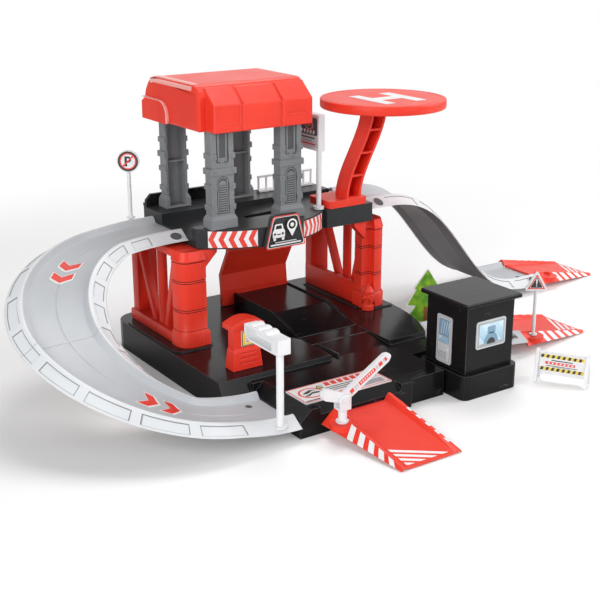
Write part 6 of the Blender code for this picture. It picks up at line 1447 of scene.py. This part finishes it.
@dataclass
class RampMarks:
    """White bars on the kerbs and across the tip of each ramp."""

    length: float = 0.082
    start_floor: float = 0.0130
    tip_floor: float = 0.0016
    skirt_start: float = 0.0382
    skirt_tip: float = 0.0278
    ridge: float = 0.0254
    ridge_edge: float = 0.0234
    crown: float = 0.0011
    rise_start: float = 0.005
    rise_tip: float = 0.0009
    tip_at: float = 79.0
    tip_slope: float = 0.58
    tip_half: float = 20.5
    foot_start: float = 0.0078
    foot_tip: float = 0.0003
    first: float = 22.5
    pitch: float = 10.8
    count: int = 5
    bar: float = 5.8
    dash: float = 5.0
    lean: float = 4.6
    stripe: float = 3.1
    stripes: tuple[float, ...] = (57.0, 63.0, 69.0, 75.0)
    ramps: tuple[tuple[str, float, float, float], ...] = (
        ("front", 0.0565, -0.0003, -90.0), ("side", 0.2623, 0.068, 0.0), ("rear", 0.4043, 0.1875, 0.0),
    )

    def on_floor(self, u: float, v: float, w: float) -> Vector:
        """Point of a ramp's floor, or on its ridges: u along it, v to its left.

        Args:
            u: Distance along the ramp.
            v: Distance to its left.
            w: Height above it.

        Returns:
            The point, from the ramp's start.
        """
        share = u / self.length
        rise = mix(self.rise_start, self.rise_tip, share) if abs(v) > self.ridge_edge else 0.0
        return Vector((u, v, mix(self.start_floor, self.tip_floor, share) + rise + w))

    def on_kerb(self, side: float, u: float, v: float, w: float) -> Vector:
        """Point of a ramp's outer kerb face.

        Args:
            side: 1 or -1, the kerb.
            u: Distance along the ramp.
            v: Share of the face, down it from the ridge.
            w: Height above the face.

        Returns:
            The point, from the ramp's start.
        """
        share = u / self.length
        rise = mix(self.start_floor, self.tip_floor, share) + mix(self.rise_start, self.rise_tip, share)
        top = Vector((u, side * (self.ridge + self.crown), rise))
        foot = mix(self.foot_start, self.foot_tip, share)
        low = Vector((u, side * mix(self.skirt_start, self.skirt_tip, share), foot))
        face = low - top
        return top + face * v + Vector((0.0, -face.z * side, abs(face.y))).normalized() * w

    def tip_bar(self, start: float) -> Outline:
        """Slanted bar across the tip, cut off at the ramp's end.

        Args:
            start: Where it starts along the ramp.

        Returns:
            The outline.
        """
        end = min(self.tip_at, start + self.tip_slope * 2 * self.tip_half)
        low = (end - start) / self.tip_slope - self.tip_half
        high = min(self.tip_half, (end - start - self.stripe) / self.tip_slope - self.tip_half)
        return [(start, -self.tip_half), (start + self.stripe, -self.tip_half), (end, high), (end, low)]

    def build(self) -> None:
        """Marks the three ramps."""
        starts = spaced(self.first, self.pitch, self.count)
        ridge = self.ridge / MM
        bars = [slanted(u, u + self.bar, 30.0, 970.0, self.lean) for u in starts]
        dashes = [box(u, u + self.dash, ridge - 1.1, ridge + 0.9) for u in starts]
        tips = [self.tip_bar(u) for u in self.stripes]
        rows: tuple[tuple[str, list[Outline], Place], ...] = (
            ("bars_near", bars, partial(self.on_kerb, -1.0)), ("bars_far", bars, partial(self.on_kerb, 1.0)),
            ("dashes", dashes, self.on_floor), ("tip", tips, self.on_floor),
        )
        for name, x, y, turn in self.ramps:
            rotation = Matrix.Rotation(math.radians(turn), 3, "Z")
            for label, shapes, spot in rows:

                def place(u: float, v: float, w: float) -> Vector:
                    """Point of this ramp."""
                    return in_station(x, y, 0.0) + rotation @ spot(u, v, w)

                layers = [Layer(INK_WHITE, 0.04, 0.18, shape) for shape in shapes]
                delivered(Bench.sticker(f"{name}_ramp_{label}", layers, place, 0.006), "print_white")


@dataclass
class ColumnTrim:
    """Louvres, arch mouldings, ribs and bolts of the four tower columns, over panel fields laid dark grey as painted
    shade.
    """

    foot: float = 0.1251
    half: float = 5.75
    floor: float = -0.7
    arch_low: float = 12.0
    arch_high: float = 43.0
    upper_low: float = 51.5
    upper_high: float = 77.0
    edge: Flat = (0.9, 1.7)
    louvre_half: float = 3.6
    louvre: float = 0.9
    louvre_pitch: float = 1.9
    bolt_x: float = 8.4
    bolt_radius: float = 0.8
    bands: tuple[Flat, ...] = ((17.25, 1.0), (34.25, 1.0), (47.0, 1.6), (59.25, 1.0))
    columns: tuple[tuple[str, float, float, Vector], ...] = (
        ("front_left", 0.023, 0.145, RIGHT), ("front_right", 0.0885, 0.145, RIGHT),
        ("back_left", 0.0265, 0.241, -RIGHT), ("back_right", 0.091, 0.241, -RIGHT),
    )

    def arch(self, inset: float) -> Outline:
        """Arched outline of the lower panel.

        Args:
            inset: How far it is drawn in.

        Returns:
            The outline.
        """
        half = self.half - inset
        foot = [(-half, self.arch_low + inset), (half, self.arch_low + inset)]
        return foot + arc(0.0, self.arch_high - self.half, half, half, 0.0, 180.0, 12)

    def layers(self) -> list[Layer]:
        """Raised shapes on one column's face.

        Returns:
            The layers.
        """
        low, high, half = self.upper_low, self.upper_high, self.half
        field_box = box(-half + 0.05, half - 0.05, low + 2.2, high + 0.4)
        shapes = [
            # Dark grey fields: painted shade in the recessed panels behind the louvres and ribs.
            (COLUMN_PANEL_SHADE, 0.1, self.arch(0.05)), (COLUMN_PANEL_SHADE, 0.1, field_box),
            (COLUMN, 0.6, *(self.arch(inset) for inset in self.edge)),
        ]
        slat = self.louvre_half
        height = self.arch_low + 3.0
        while height < self.arch_high - 8.5:
            shapes.append((COLUMN, 0.6, box(-slat, slat, height, height + self.louvre)))
            height += self.louvre_pitch
        shapes += [
            (COLUMN, 0.4, arc(0.0, self.arch_high - 7.4, slat, slat, 0.0, 180.0, 10)),
            *((COLUMN, 0.6, box(x, x + 1.2, low + 3.0, high)) for x in (-4.2, 3.0)),
            (COLUMN, 0.4, arc(0.0, low + 6.2, 3.0, 4.0, 180.0, 360.0, 10)),
        ]
        found = [Layer(finish, self.floor, self.floor + thick, *outlines) for finish, thick, *outlines in shapes]
        bolts = [(x, height, flare) for height, flare in self.bands for x in (-self.bolt_x, self.bolt_x)]
        for x, height, flare in bolts:
            found.append(Layer(COLUMN, flare, flare + 0.4, circle(x, height, self.bolt_radius, 12)))
        return found

    def build(self) -> None:
        """Trims the four columns."""
        for name, x, y, across in self.columns:
            place = plane(in_station(x, y, self.foot), across)
            delivered(Bench.sticker(f"column_trim_{name}", self.layers(), place), "column_grey")


@dataclass
class KerbSockets:
    """Round sockets in the kerbs, for plug-in signs, and the small floor holes, their dark insides laid as painted
    shade.
    """

    rim: float = 0.6
    at: float = 0.52
    slat: float = 0.18

    def ring(self, name: str, track: Track, share: float, side: float, radius: float) -> None:
        """Lays one socket on a kerb's outer face.

        Args:
            name: Object name.
            track: The track.
            share: Place along the track.
            side: 1 or -1, the kerb.
            radius: Its radius in millimetres.
        """
        shape = track.shape
        slope = math.hypot(shape.skirt_half - shape.ridge_half - shape.crown, shape.skirt_drop)
        length = track.kerb_lengths(side * shape.ridge_half)[-1]

        def place(u: float, v: float, w: float) -> Vector:
            """Point on the kerb's outer face."""
            across, rise = shape.skirt_point(self.at + v / slope, -w)
            return track.point(share + u / length, side * across, rise)

        inner = radius - self.rim
        layers = [
            Layer(LIT_KERB, 0.04, 0.5, circle(0.0, 0.0, radius, 32), circle(0.0, 0.0, inner, 32)),
            # The socket's inside is a dark disc of painted shade.
            Layer(HOLE_SHADE, 0.04, 0.16, circle(0.0, 0.0, inner, 32)),
        ]
        for k in range(-3, 4):
            half = math.sqrt(max(0.0, (inner - 0.3) ** 2 - k ** 2))
            # Bars inside the socket, in the dark grey of painted shade.
            layers.append(Layer(SHADE_GREY, 0.12, 0.26, box(-half, half, k - self.slat, k + self.slat)))
        delivered(Bench.sticker(name, layers, place, 0.003), "track_grey")

    def hole(self, name: str, track: Track, share: float, side: float, radius: float) -> None:
        """Lays the dark disc of painted shade where one floor hole is.

        Args:
            name: Object name.
            track: The track.
            share: Place along the track.
            side: Place beside its middle, in metres.
            radius: Its radius in millimetres.
        """
        place = track.on_floor(share, side, track.kerb_lengths(0.0)[-1])
        layers = [Layer(HOLE_SHADE, 0.04, 0.12, circle(0.0, 0.0, radius, 24))]
        delivered(Bench.sticker(name, layers, place, 0.003), "track_grey")

    def build(self, slide: SlideTrack, spiral: SpiralTrack) -> None:
        """Lays the sockets and holes of both tracks.

        Args:
            slide: The right track.
            spiral: The left track.
        """
        self.ring("slide_socket_high", slide, 0.0468, 1.0, 5.8)
        self.ring("slide_socket_low", slide, 0.9490, 1.0, 5.8)
        self.ring("spiral_socket", spiral, 0.0240, -1.0, 4.8)
        self.hole("slide_hole", slide, 0.9446, 0.0127, 2.6)
        self.hole("spiral_hole", spiral, 1.0 - 0.015 / spiral.lengths[-1], -0.0127, 2.8)


@dataclass
class Print(ABC):
    """One printed sticker in a frame of millimetres."""

    name: str
    slot: str
    corner: Vector
    across: Vector = field(default_factory=RIGHT.copy)
    up: Vector = field(default_factory=UP.copy)
    body: Body = Body.STATION

    @abstractmethod
    def layers(self) -> list[Layer]:
        """Shapes of the print."""

    def build(self) -> None:
        """Lays the print."""
        place = plane(self.corner, self.across, self.up)
        delivered(Bench.sticker(self.name, self.layers(), place), self.slot, body=self.body.value)


class Billboard(Print):
    """Board on the deck: a black field with a ring badge, and a pale strip below."""

    def layers(self) -> list[Layer]:
        """Its shapes.

        Returns:
            The layers.
        """
        w, h = 48.0, 27.0
        x, y = w * 0.72, h * 0.70
        board = box(1.2, w - 1.4, 10.6, h - 1.2)
        return [
            Layer(INK_PALE, 0.03, 0.10, box(0.3, w - 0.3, 0.3, h - 0.3, 1.0)),
            Layer(INK_BLACK, 0.08, 0.16, rounded(board, 2.2)),
            Layer(INK_RED, 0.14, 0.22, circle(x, y, 6.6, 48, 0.74), circle(x, y, 5.6, 48, 0.70)),
            Layer(INK_WHITE, 0.14, 0.22, circle(x, y, 5.0, 48, 0.68), circle(x, y, 4.7, 48, 0.66)),
            Layer(INK_RED, 0.14, 0.22, slanted(x - 3.0, x + 1.2, y - 1.0, y + 1.2, 1.4)),
            Layer(INK_BLACK, 0.08, 0.16, box(3.0, w - 5.0, 7.6, 8.8)),
            Layer(INK_GREY, 0.08, 0.16, box(3.0, w - 9.0, 5.0, 5.8)),
            Layer(INK_RED, 0.08, 0.16, box(3.0, w - 4.0, 2.2, 3.6)),
            *(Layer(INK_WHITE, 0.14, 0.22, slanted(u, u + 2.4, 11.8, 14.8, 0.6)) for u in spaced(4.0, 4.5, 9)),
            *(Layer(INK_WHITE, 0.14, 0.22, box(4.5, reach, low, low + 1.0))
              for reach, low in zip((17.0, 20.0, 14.0), spaced(23.5, -2.4, 3))),
        ]


class DoorPrint(Print):
    """Door of the booth: a glazed upper half over a vented panel."""

    def layers(self) -> list[Layer]:
        """Its shapes.

        Returns:
            The layers.
        """
        leaf, vent = box(2.6, 14.9, 17.0, 37.2), box(3.0, 11.8, 3.0, 9.4)
        layers = [
            Layer(INK_GREY, 0.03, 0.10, box(1.0, 16.5, 1.0, 39.0, 1.6), box(1.7, 15.8, 1.7, 38.3, 1.3)),
            Layer(INK_BLUE, 0.06, 0.18, rounded(leaf, 1.2)),
            Layer(SKY_PANE, 0.16, 0.26, box(3.2, 14.3, 17.6, 22.6)),
            Layer(INK_GREY, 0.18, 0.30, box(2.6, 14.9, 22.6, 23.0)),
            Layer(INK_WHITE, 0.06, 0.60, circle(14.1, 12.4, 1.0, 20)),
            Layer(INK_GREY, 0.06, 0.16, rounded(vent, 0.6)),
        ]
        for u, low in zip(spaced(4.8, 2.6, 4), spaced(3.6, 1.4, 4)):
            layers.append(Layer(SKY_PANE, 0.16, 0.26, slanted(u, u + 0.8, 24.5, 35.8, 2.2)))
            layers.append(Layer(INK_PALE, 0.14, 0.30, box(3.8, 11.0, low, low + 0.6)))
        return layers


class WindowPrint(Print):
    """Service window of the booth: a framed pane over an arched speaking hole."""

    def layers(self) -> list[Layer]:
        """Its shapes.

        Returns:
            The layers.
        """
        pane = box(2.8, 28.2, 2.8, 20.2)
        return [
            Layer(INK_GREY, 0.03, 0.14, box(1.2, 29.8, 1.2, 21.8, 0.8), pane),
            Layer(SKY_PANE, 0.03, 0.10, pane),
            Layer(INK_BLUE, 0.08, 0.18, arc(15.5, 3.4, 7.8, 9.2, 0.0, 180.0, 16)),
            Layer(INK_BLUE, 0.08, 0.18, box(11.2, 19.8, 11.6, 17.6, 1.0)),
            Layer(INK_GREY, 0.10, 0.22, box(3.4, 27.6, 2.8, 4.0)),
            Layer(INK_BLACK, 0.16, 0.28, arc(15.5, 3.0, 4.4, 5.0, 0.0, 180.0, 16)),
        ]


@dataclass
class NoticePrint(Print):
    """Plate on the front tier: a red loop badge, a warning mark, and bars of plain ink, on a card of its own."""

    width: float = 81.0
    depth: float = 28.0
    thick: float = 1.1

    def build(self) -> None:
        """Lays the card that stands for the solid, then its print."""
        card = Layer(INK_WHITE, -self.thick, 0.0, box(0.0, self.width, 0.0, self.depth, 0.8))
        place = plane(self.corner, self.across, self.up)
        delivered(Bench.sticker("notice_card", [card], place), self.slot, "notice_plate")
        super().build()

    def layers(self) -> list[Layer]:
        """Its shapes.

        Returns:
            The layers.
        """
        w, d = self.width, self.depth
        x, y = 14.5, d * 0.52
        swoop = [(6.0, 10.8), (10.5, 9.8), (14.5, 12.8), (20.5, 11.8), (22.5, 14.0), (16.0, 15.2), (11.5, 12.6)]
        leap = [(7.0, 15.0), (12.0, 14.4), (17.0, 17.6), (21.5, 16.8), (16.0, 19.6), (11.0, 17.4)]
        mark = ([(21.5, 17.2), (28.5, 17.2), (25.0, 23.2)], [(23.0, 18.1), (27.0, 18.1), (25.0, 21.6)])
        return [
            Layer(INK_RED, 0.03, 0.12, box(0.4, w - 0.4, 0.4, d - 0.4), box(1.1, w - 1.1, 1.1, d - 1.1)),
            Layer(INK_RED, 0.03, 0.12, circle(x, y, 10.4, 56, 0.86), circle(x, y, 9.0, 56, 0.84)),
            Layer(INK_BLACK, 0.06, 0.16, rounded(swoop, 1.6)),
            Layer(INK_BLACK, 0.06, 0.16, rounded(leap, 1.4)),
            Layer(INK_BLACK, 0.14, 0.22, rounded(mark[0], 0.8)),
            Layer(INK_YELLOW, 0.20, 0.28, rounded(mark[1], 0.5)),
            Layer(INK_PALE, 0.03, 0.12, box(25.5, 30.0, 19.6, 24.0)),
            Layer(INK_BLACK, 0.03, 0.12, box(2.2, 24.0, 1.8, 3.0)),
            Layer(INK_GREY, 0.03, 0.12, box(44.0, w - 4.0, 3.0, 10.0, 0.8)),
            *(Layer(INK_RED, 0.03, 0.14, slanted(u, u + 4.2, 19.0, 25.2, 0.8)) for u in spaced(31.8, 6.2, 7)),
            *(Layer(INK_BLACK, 0.03, 0.12, box(28.0, reach, low, low + 1.1))
              for reach, low in zip((77.0, 72.0, 56.0), spaced(15.2, -3.0, 3))),
            Layer(INK_RED, 0.03, 0.12, box(28.0, 40.0, 4.0, 5.8)),
        ]


class KioskPrint(Print):
    """Small label of the pump kiosk: a yellow frame, a white field, and a red gauge."""

    def layers(self) -> list[Layer]:
        """Its shapes.

        Returns:
            The layers.
        """
        x, y = 6.8, 7.0
        return [
            Layer(INK_BLACK, 0.03, 0.14, box(0.2, 12.8, 0.2, 12.8, 1.0), box(0.8, 12.2, 0.8, 12.2, 0.7)),
            Layer(INK_YELLOW, 0.03, 0.12, box(1.0, 12.0, 1.0, 12.0), box(3.4, 10.6, 2.6, 10.6)),
            Layer(INK_RED, 0.03, 0.14, circle(x, y, 2.6, 28), circle(x, y, 1.7, 28)),
            Layer(INK_BLACK, 0.03, 0.16, slanted(6.4, 7.0, 7.0, 9.2, 0.8)),
            Layer(INK_RED, 0.03, 0.12, box(4.0, 10.0, 3.4, 4.2)),
        ]


class RoundSignPrint(Print):
    """No-parking disc: black and red rings, the letter, and a red slash."""

    @staticmethod
    def capital(x: float, y: float, size: float) -> list[Outline]:
        """Parking letter.

        Args:
            x: Its left side.
            y: Its foot.
            size: Its height.

        Returns:
            The outline and its hole.
        """
        stem, knee, crown, reach, ring = (size * share for share in (0.24, 0.36, 0.69, 0.31, 0.12))
        bow = arc(knee, crown, reach, reach, -90.0, 90.0, 12)
        outer = [(0.0, 0.0), (stem, 0.0), (stem, 0.38 * size), *bow, (0.0, size)]
        hole = [(stem, crown - ring), *arc(knee, crown, ring, ring, -90.0, 90.0, 6), (stem, crown + ring)]
        return [[(x + u, y + v) for u, v in outline] for outline in (outer, hole)]

    def layers(self) -> list[Layer]:
        """Its shapes.

        Returns:
            The layers.
        """
        corners = ((-6.2, -0.6), (6.2, -0.6), (6.2, 0.6), (-6.2, 0.6))
        lean = math.sqrt(0.5)
        slash = [((u - v) * lean, (u + v) * lean) for u, v in corners]
        return [
            Layer(INK_BLACK, 0.03, 0.14, circle(0.0, 0.0, 8.6), circle(0.0, 0.0, 7.0)),
            Layer(INK_RED, 0.03, 0.14, circle(0.0, 0.0, 7.0), circle(0.0, 0.0, 6.0)),
            Layer(INK_BLACK, 0.03, 0.14, *self.capital(-2.8, -4.2, 8.4)),
            Layer(INK_RED, 0.12, 0.22, slash),
        ]


@dataclass
class TrianglePrint(Print):
    """Warning triangle: red line, black field and an exclamation mark."""

    side: float = 21.5

    def inset(self, distance: float) -> Outline:
        """Triangle drawn in around its middle.

        Args:
            distance: How far.

        Returns:
            The outline.
        """
        tall = self.side * math.sqrt(3.0) / 2
        share = (tall / 3 - distance) / (tall / 3)
        corners = ((-self.side / 2, 0.0), (self.side / 2, 0.0), (0.0, tall))
        return rounded([(u * share, tall / 3 + (v - tall / 3) * share) for u, v in corners], 1.0)

    def layers(self) -> list[Layer]:
        """Its shapes.

        Returns:
            The layers.
        """
        return [
            Layer(INK_RED, 0.03, 0.14, self.inset(1.7), self.inset(2.6)),
            Layer(INK_BLACK, 0.03, 0.12, self.inset(3.0)),
            Layer(INK_WHITE, 0.10, 0.20, rounded([(-0.4, 5.8), (0.4, 5.8), (0.8, 10.8), (-0.8, 10.8)], 0.3)),
            Layer(INK_WHITE, 0.10, 0.20, circle(0.0, 4.6, 0.6, 16)),
        ]


class BarrierPrint(Print):
    """Red and grey strip in the recess of the barrier's arm."""

    def layers(self) -> list[Layer]:
        """Its shapes.

        Returns:
            The layers.
        """
        start, end, half = 6.0, 45.1, 1.9
        span = end - start
        bars = (
            (0.02, 0.11, INK_RED), (0.13, 0.24, INK_PALE), (0.26, 0.69, INK_RED), (0.71, 0.77, INK_PALE),
            (0.79, 0.88, INK_RED), (0.90, 0.94, INK_PALE), (0.95, 1.0, INK_RED),
        )
        return [
            Layer(INK_WHITE, 0.03, 0.12, box(start, end, -half, half)),
            *(Layer(ink, 0.10, 0.20, box(start + span * low, start + span * high, -half + 0.2, half - 0.2))
              for low, high, ink in bars),
            *(Layer(INK_WHITE, 0.18, 0.26, slanted(u, u + 1.0, -0.8, 0.8, 0.3))
              for u in spaced(start + span * 0.29, span * 0.055, 7)),
        ]


@dataclass
class BarricadePrint(Print):
    """Road-work board: hazard dashes above and below, a red bar and thin lines between."""

    width: float = 37.4
    height: float = 15.1

    def layers(self) -> list[Layer]:
        """Its shapes.

        Returns:
            The layers.
        """
        w = self.width
        step = (w - 2.0) / 8
        layers = []
        for low in (0.6, self.height - 3.4):
            layers.append(Layer(INK_YELLOW, 0.03, 0.12, box(0.8, w - 0.8, low, low + 2.8)))
            dashes = [slanted(u, u + step * 0.48, low, low + 2.8, 0.9) for u in spaced(1.0, step, 8)]
            layers += [Layer(INK_BLACK, 0.10, 0.18, dash) for dash in dashes]
        return layers + [
            Layer(INK_RED, 0.03, 0.12, box(5.0, w - 8.0, 6.2, 8.4)),
            Layer(INK_BLACK, 0.03, 0.12, box(10.0, w - 10.0, 9.4, 10.2)),
            Layer(INK_BLACK, 0.03, 0.12, box(6.0, w - 6.0, 4.6, 5.1)),
            Layer(INK_GREY, 0.03, 0.12, box(11.0, w - 11.0, 3.8, 4.2)),
            *(Layer(INK_WHITE, 0.10, 0.18, slanted(u, u + 1.6, 6.7, 7.9, 0.4)) for u in spaced(7.0, 3.2, 7)),
        ]


@dataclass
class CardTree:
    """Flat card tree in three tiers with a white border round its printed leaves, on a small foot."""

    height: float = 58.0
    width: float = 41.5
    half: float = 1.0
    border: float = 1.1
    tiers: tuple[float, ...] = (1.0, 0.96, 0.66)
    tier_share: float = 0.27
    base_share: float = 0.12
    trunk_share: float = 0.11
    foot_half: float = 8.1
    foot_high: float = 2.0
    foot_deep: float = 5.0

    def outlines(self, inset: float) -> list[Outline]:
        """Trunk and tiers as overlapping outlines.

        Args:
            inset: How far they are drawn in.

        Returns:
            The outlines.
        """
        rise, base = self.height * self.tier_share, self.height * self.base_share
        trunk = self.width * self.trunk_share - inset * 0.3
        found = [box(-trunk, trunk, 1.0, base + 6.0)]
        for i, share in enumerate(self.tiers):
            last = i == len(self.tiers) - 1
            low = base + i * rise + inset
            wide = self.width / 2 * share - inset * 1.4
            top = low + rise * (1.32 if last else 1.20) - inset * 1.8
            narrow = 0.4 if last else wide * 0.50
            found.append(rounded([(-wide, low), (wide, low), (narrow, top), (-narrow, top)], 2.2, 4))
        return found

    def build(self) -> None:
        """Makes the tree and stands it for its solid."""
        leaves = LeafPrint("leaf_print", 0.0230, 0.1415, 0.0034)
        half = self.half
        layers = [Layer(INK_WHITE, -half, half, outline) for outline in self.outlines(0.0)]
        for k, outline in enumerate(self.outlines(self.border)):
            lift = half + 0.10 + 0.03 * k
            layers += [Layer(leaves, half - 0.1, lift, outline), Layer(leaves, -lift, 0.1 - half, outline)]
        foot = rounded(box(-self.foot_half, self.foot_half, 0.0, self.foot_high), 0.6)
        layers.append(Layer(INK_WHITE, -self.foot_deep, self.foot_deep, foot))
        place = plane(in_station(0.2295, 0.130, 0.0), turned(SIGN_TURN))
        delivered(Bench.sticker("tree_card", layers, place), "tree_green", "tree")


def prints() -> list[Print]:
    """Every flat print, where it lies.

    Returns:
        The prints, in the order in which they are laid.
    """
    sign, board, lift = turned(SIGN_TURN), turned(-58.0), math.radians(31.0)
    arm = Vector((math.cos(lift), 0.0, math.sin(lift)))
    disc_low, disc_high = (Vector(corner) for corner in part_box("no_parking_disc"))
    disc = (disc_low + disc_high) / 2
    low, high = (Vector(corner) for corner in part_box("warning_triangle"))
    front = sign.cross(UP) * 0.0011
    foot = (low + high) / 2
    foot.z = low.z
    corner = in_station(0.2395, -0.031, 0.0092) - board * 0.0187 + board.cross(UP) * 0.0026
    return [
        Billboard("billboard_print", "print_black", in_station(0.12205, 0.2018, 0.1779), -BACK),
        DoorPrint("booth_door_print", "print_blue", in_station(0.1483, 0.0225, 0.0233), -BACK),
        WindowPrint("booth_window_print", "print_blue", in_station(0.159, -0.0127, 0.0398)),
        NoticePrint("notice_print", "print_white", in_station(0.011, 0.009, 0.0227), up=BACK),
        KioskPrint("kiosk_print", "print_white", in_station(0.0033, 0.0873, 0.0443)),
        RoundSignPrint("round_sign_print", "print_white", disc + front, sign, body=Body.ROUND_SIGN),
        TrianglePrint("triangle_print", "print_white", foot + front, sign, body=Body.WARNING_SIGN),
        BarrierPrint("barrier_strip", "red", in_station(0.0275, -0.0156, 0.0318), arm, arm.cross(BACK), Body.BARRIER),
        BarricadePrint("barricade_print", "print_white", corner, board),
    ]


@dataclass
class Studio:
    """White floor, soft lamps and the camera at the photograph's place."""

    eye: Vector = field(default_factory=lambda: Vector((-0.5061, -0.7377, 0.360)))
    pitch: float = 71.36
    yaw: float = -34.06
    lens: float = 67.0
    fill: float = 0.16
    floor_half: float = 6.0
    floor_drop: float = 0.0002
    floor_lift: float = 0.10
    shadow_near: float = 0.42
    shadow_far: float = 0.80
    lamps: tuple[tuple[str, Colour, float, float, float], ...] = (
        ("lamp_above", (0.40, 0.40, 1.40), 0.05, 0.7, 9.2), ("lamp_left", (-1.45, -0.75, 0.70), 0.10, 1.1, 19.0),
        ("lamp_front", (0.35, -1.60, 0.60), 0.10, 0.9, 7.8), ("lamp_right", (1.30, -0.60, 0.80), 0.10, 0.9, 12.5),
    )

    def floor(self) -> None:
        """Lays the floor, white to the camera and with the station's soft shadow."""
        material = bpy.data.materials.new("studio_floor")
        paint = Paint(material)
        path = paint.node("ShaderNodeLightPath", output="Is Camera Ray")
        away = paint.vector_value("LENGTH", paint.spot()).eased(self.shadow_near, self.shadow_far)
        diffuse = paint.node("ShaderNodeBsdfDiffuse", None, {"Color": (0.92, 0.92, 0.92)})
        lift = paint.node("ShaderNodeEmission", None, {"Color": (1.0, 1.0, 1.0), "Strength": path * self.floor_lift})
        near = paint.node("ShaderNodeAddShader", None, {0: diffuse, 1: lift})
        white = paint.node("ShaderNodeEmission", None, {"Color": (1.0, 1.0, 1.0), "Strength": 1.0})
        both = paint.node("ShaderNodeMixShader", None, {0: away * path, 1: near, 2: white})
        paint.ended("ShaderNodeOutputMaterial", both)
        mesh = bpy.data.meshes.new("studio_floor")
        half = self.floor_half
        mesh.from_pydata([(*point, 0.0) for point in box(-half, half, -half, half)], [], [(0, 1, 2, 3)])
        mesh.materials.append(material)
        obj = bpy.data.objects.new("studio_floor", mesh)
        bpy.context.scene.collection.objects.link(obj)
        obj.location.z = -self.floor_drop

    def sky(self) -> None:
        """White world that also fills the shadows."""
        world = bpy.data.worlds.new("studio")
        bpy.context.scene.world = world
        paint = Paint(world)
        camera = paint.node("ShaderNodeLightPath", output="Is Camera Ray")
        seen = paint.node("ShaderNodeMath", {"operation": "MAXIMUM"}, {0: camera, 1: camera.beside("Is Glossy Ray")})
        values = {0: seen, 1: 1.0 - self.fill, 2: self.fill}
        strength = paint.node("ShaderNodeMath", {"operation": "MULTIPLY_ADD"}, values)
        light = paint.node("ShaderNodeBackground", None, {"Color": (1.0, 1.0, 1.0), "Strength": strength})
        paint.ended("ShaderNodeOutputWorld", light)

    def lamp(self, name: str, at: Vector, aim: Vector, size: float, power: float) -> None:
        """Hangs one square lamp.

        Args:
            name: Object name.
            at: Its place.
            aim: What it faces.
            size: Length of its side.
            power: Watts.
        """
        data = bpy.data.lights.new(name, "AREA")
        data.shape = "SQUARE"
        data.size = size
        data.energy = power
        obj = bpy.data.objects.new(name, data)
        obj.location = at
        obj.rotation_euler = (aim - at).to_track_quat("-Z", "Y").to_euler()
        bpy.context.scene.collection.objects.link(obj)

    def build(self) -> None:
        """Sets the whole stage."""
        self.floor()
        self.sky()
        for name, at, aim, size, power in self.lamps:
            self.lamp(name, Vector(at), UP * aim, size, power)
        data = bpy.data.cameras.new("camera")
        data.sensor_width = 36.0
        data.lens = self.lens
        camera = bpy.data.objects.new("camera", data)
        camera.location = self.eye
        camera.rotation_euler = (math.radians(self.pitch), 0.0, math.radians(self.yaw))
        bpy.context.scene.collection.objects.link(camera)
        bpy.context.scene.camera = camera
        bpy.context.scene.view_settings.view_transform = "Standard"


def main() -> None:
    """Dresses the whole station."""
    logging.basicConfig(level=logging.INFO, format="%(name)s: %(message)s")
    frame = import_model()
    MouldedShell(frame["nodes"]).dress()
    spiral, slide, pad = SpiralTrack(), SlideTrack(), Helipad()
    spiral.build()
    spiral.dress()
    slide.build()
    pad.build()
    pad.dress()
    DeckSigns().build()
    RoofHighlights().build()
    SideWall("left_wall_frame", -15.0, 1.0).build()
    SideWall("right_wall_frame", 196.0, -1.0, step_at=14.0, set_back=6.2).build()
    RampMarks().build()
    ColumnTrim().build()
    KerbSockets().build(slide, spiral)
    for sticker in prints():
        sticker.build()
    CardTree().build()
    Studio().build()


if __name__ == "__main__":
    main()
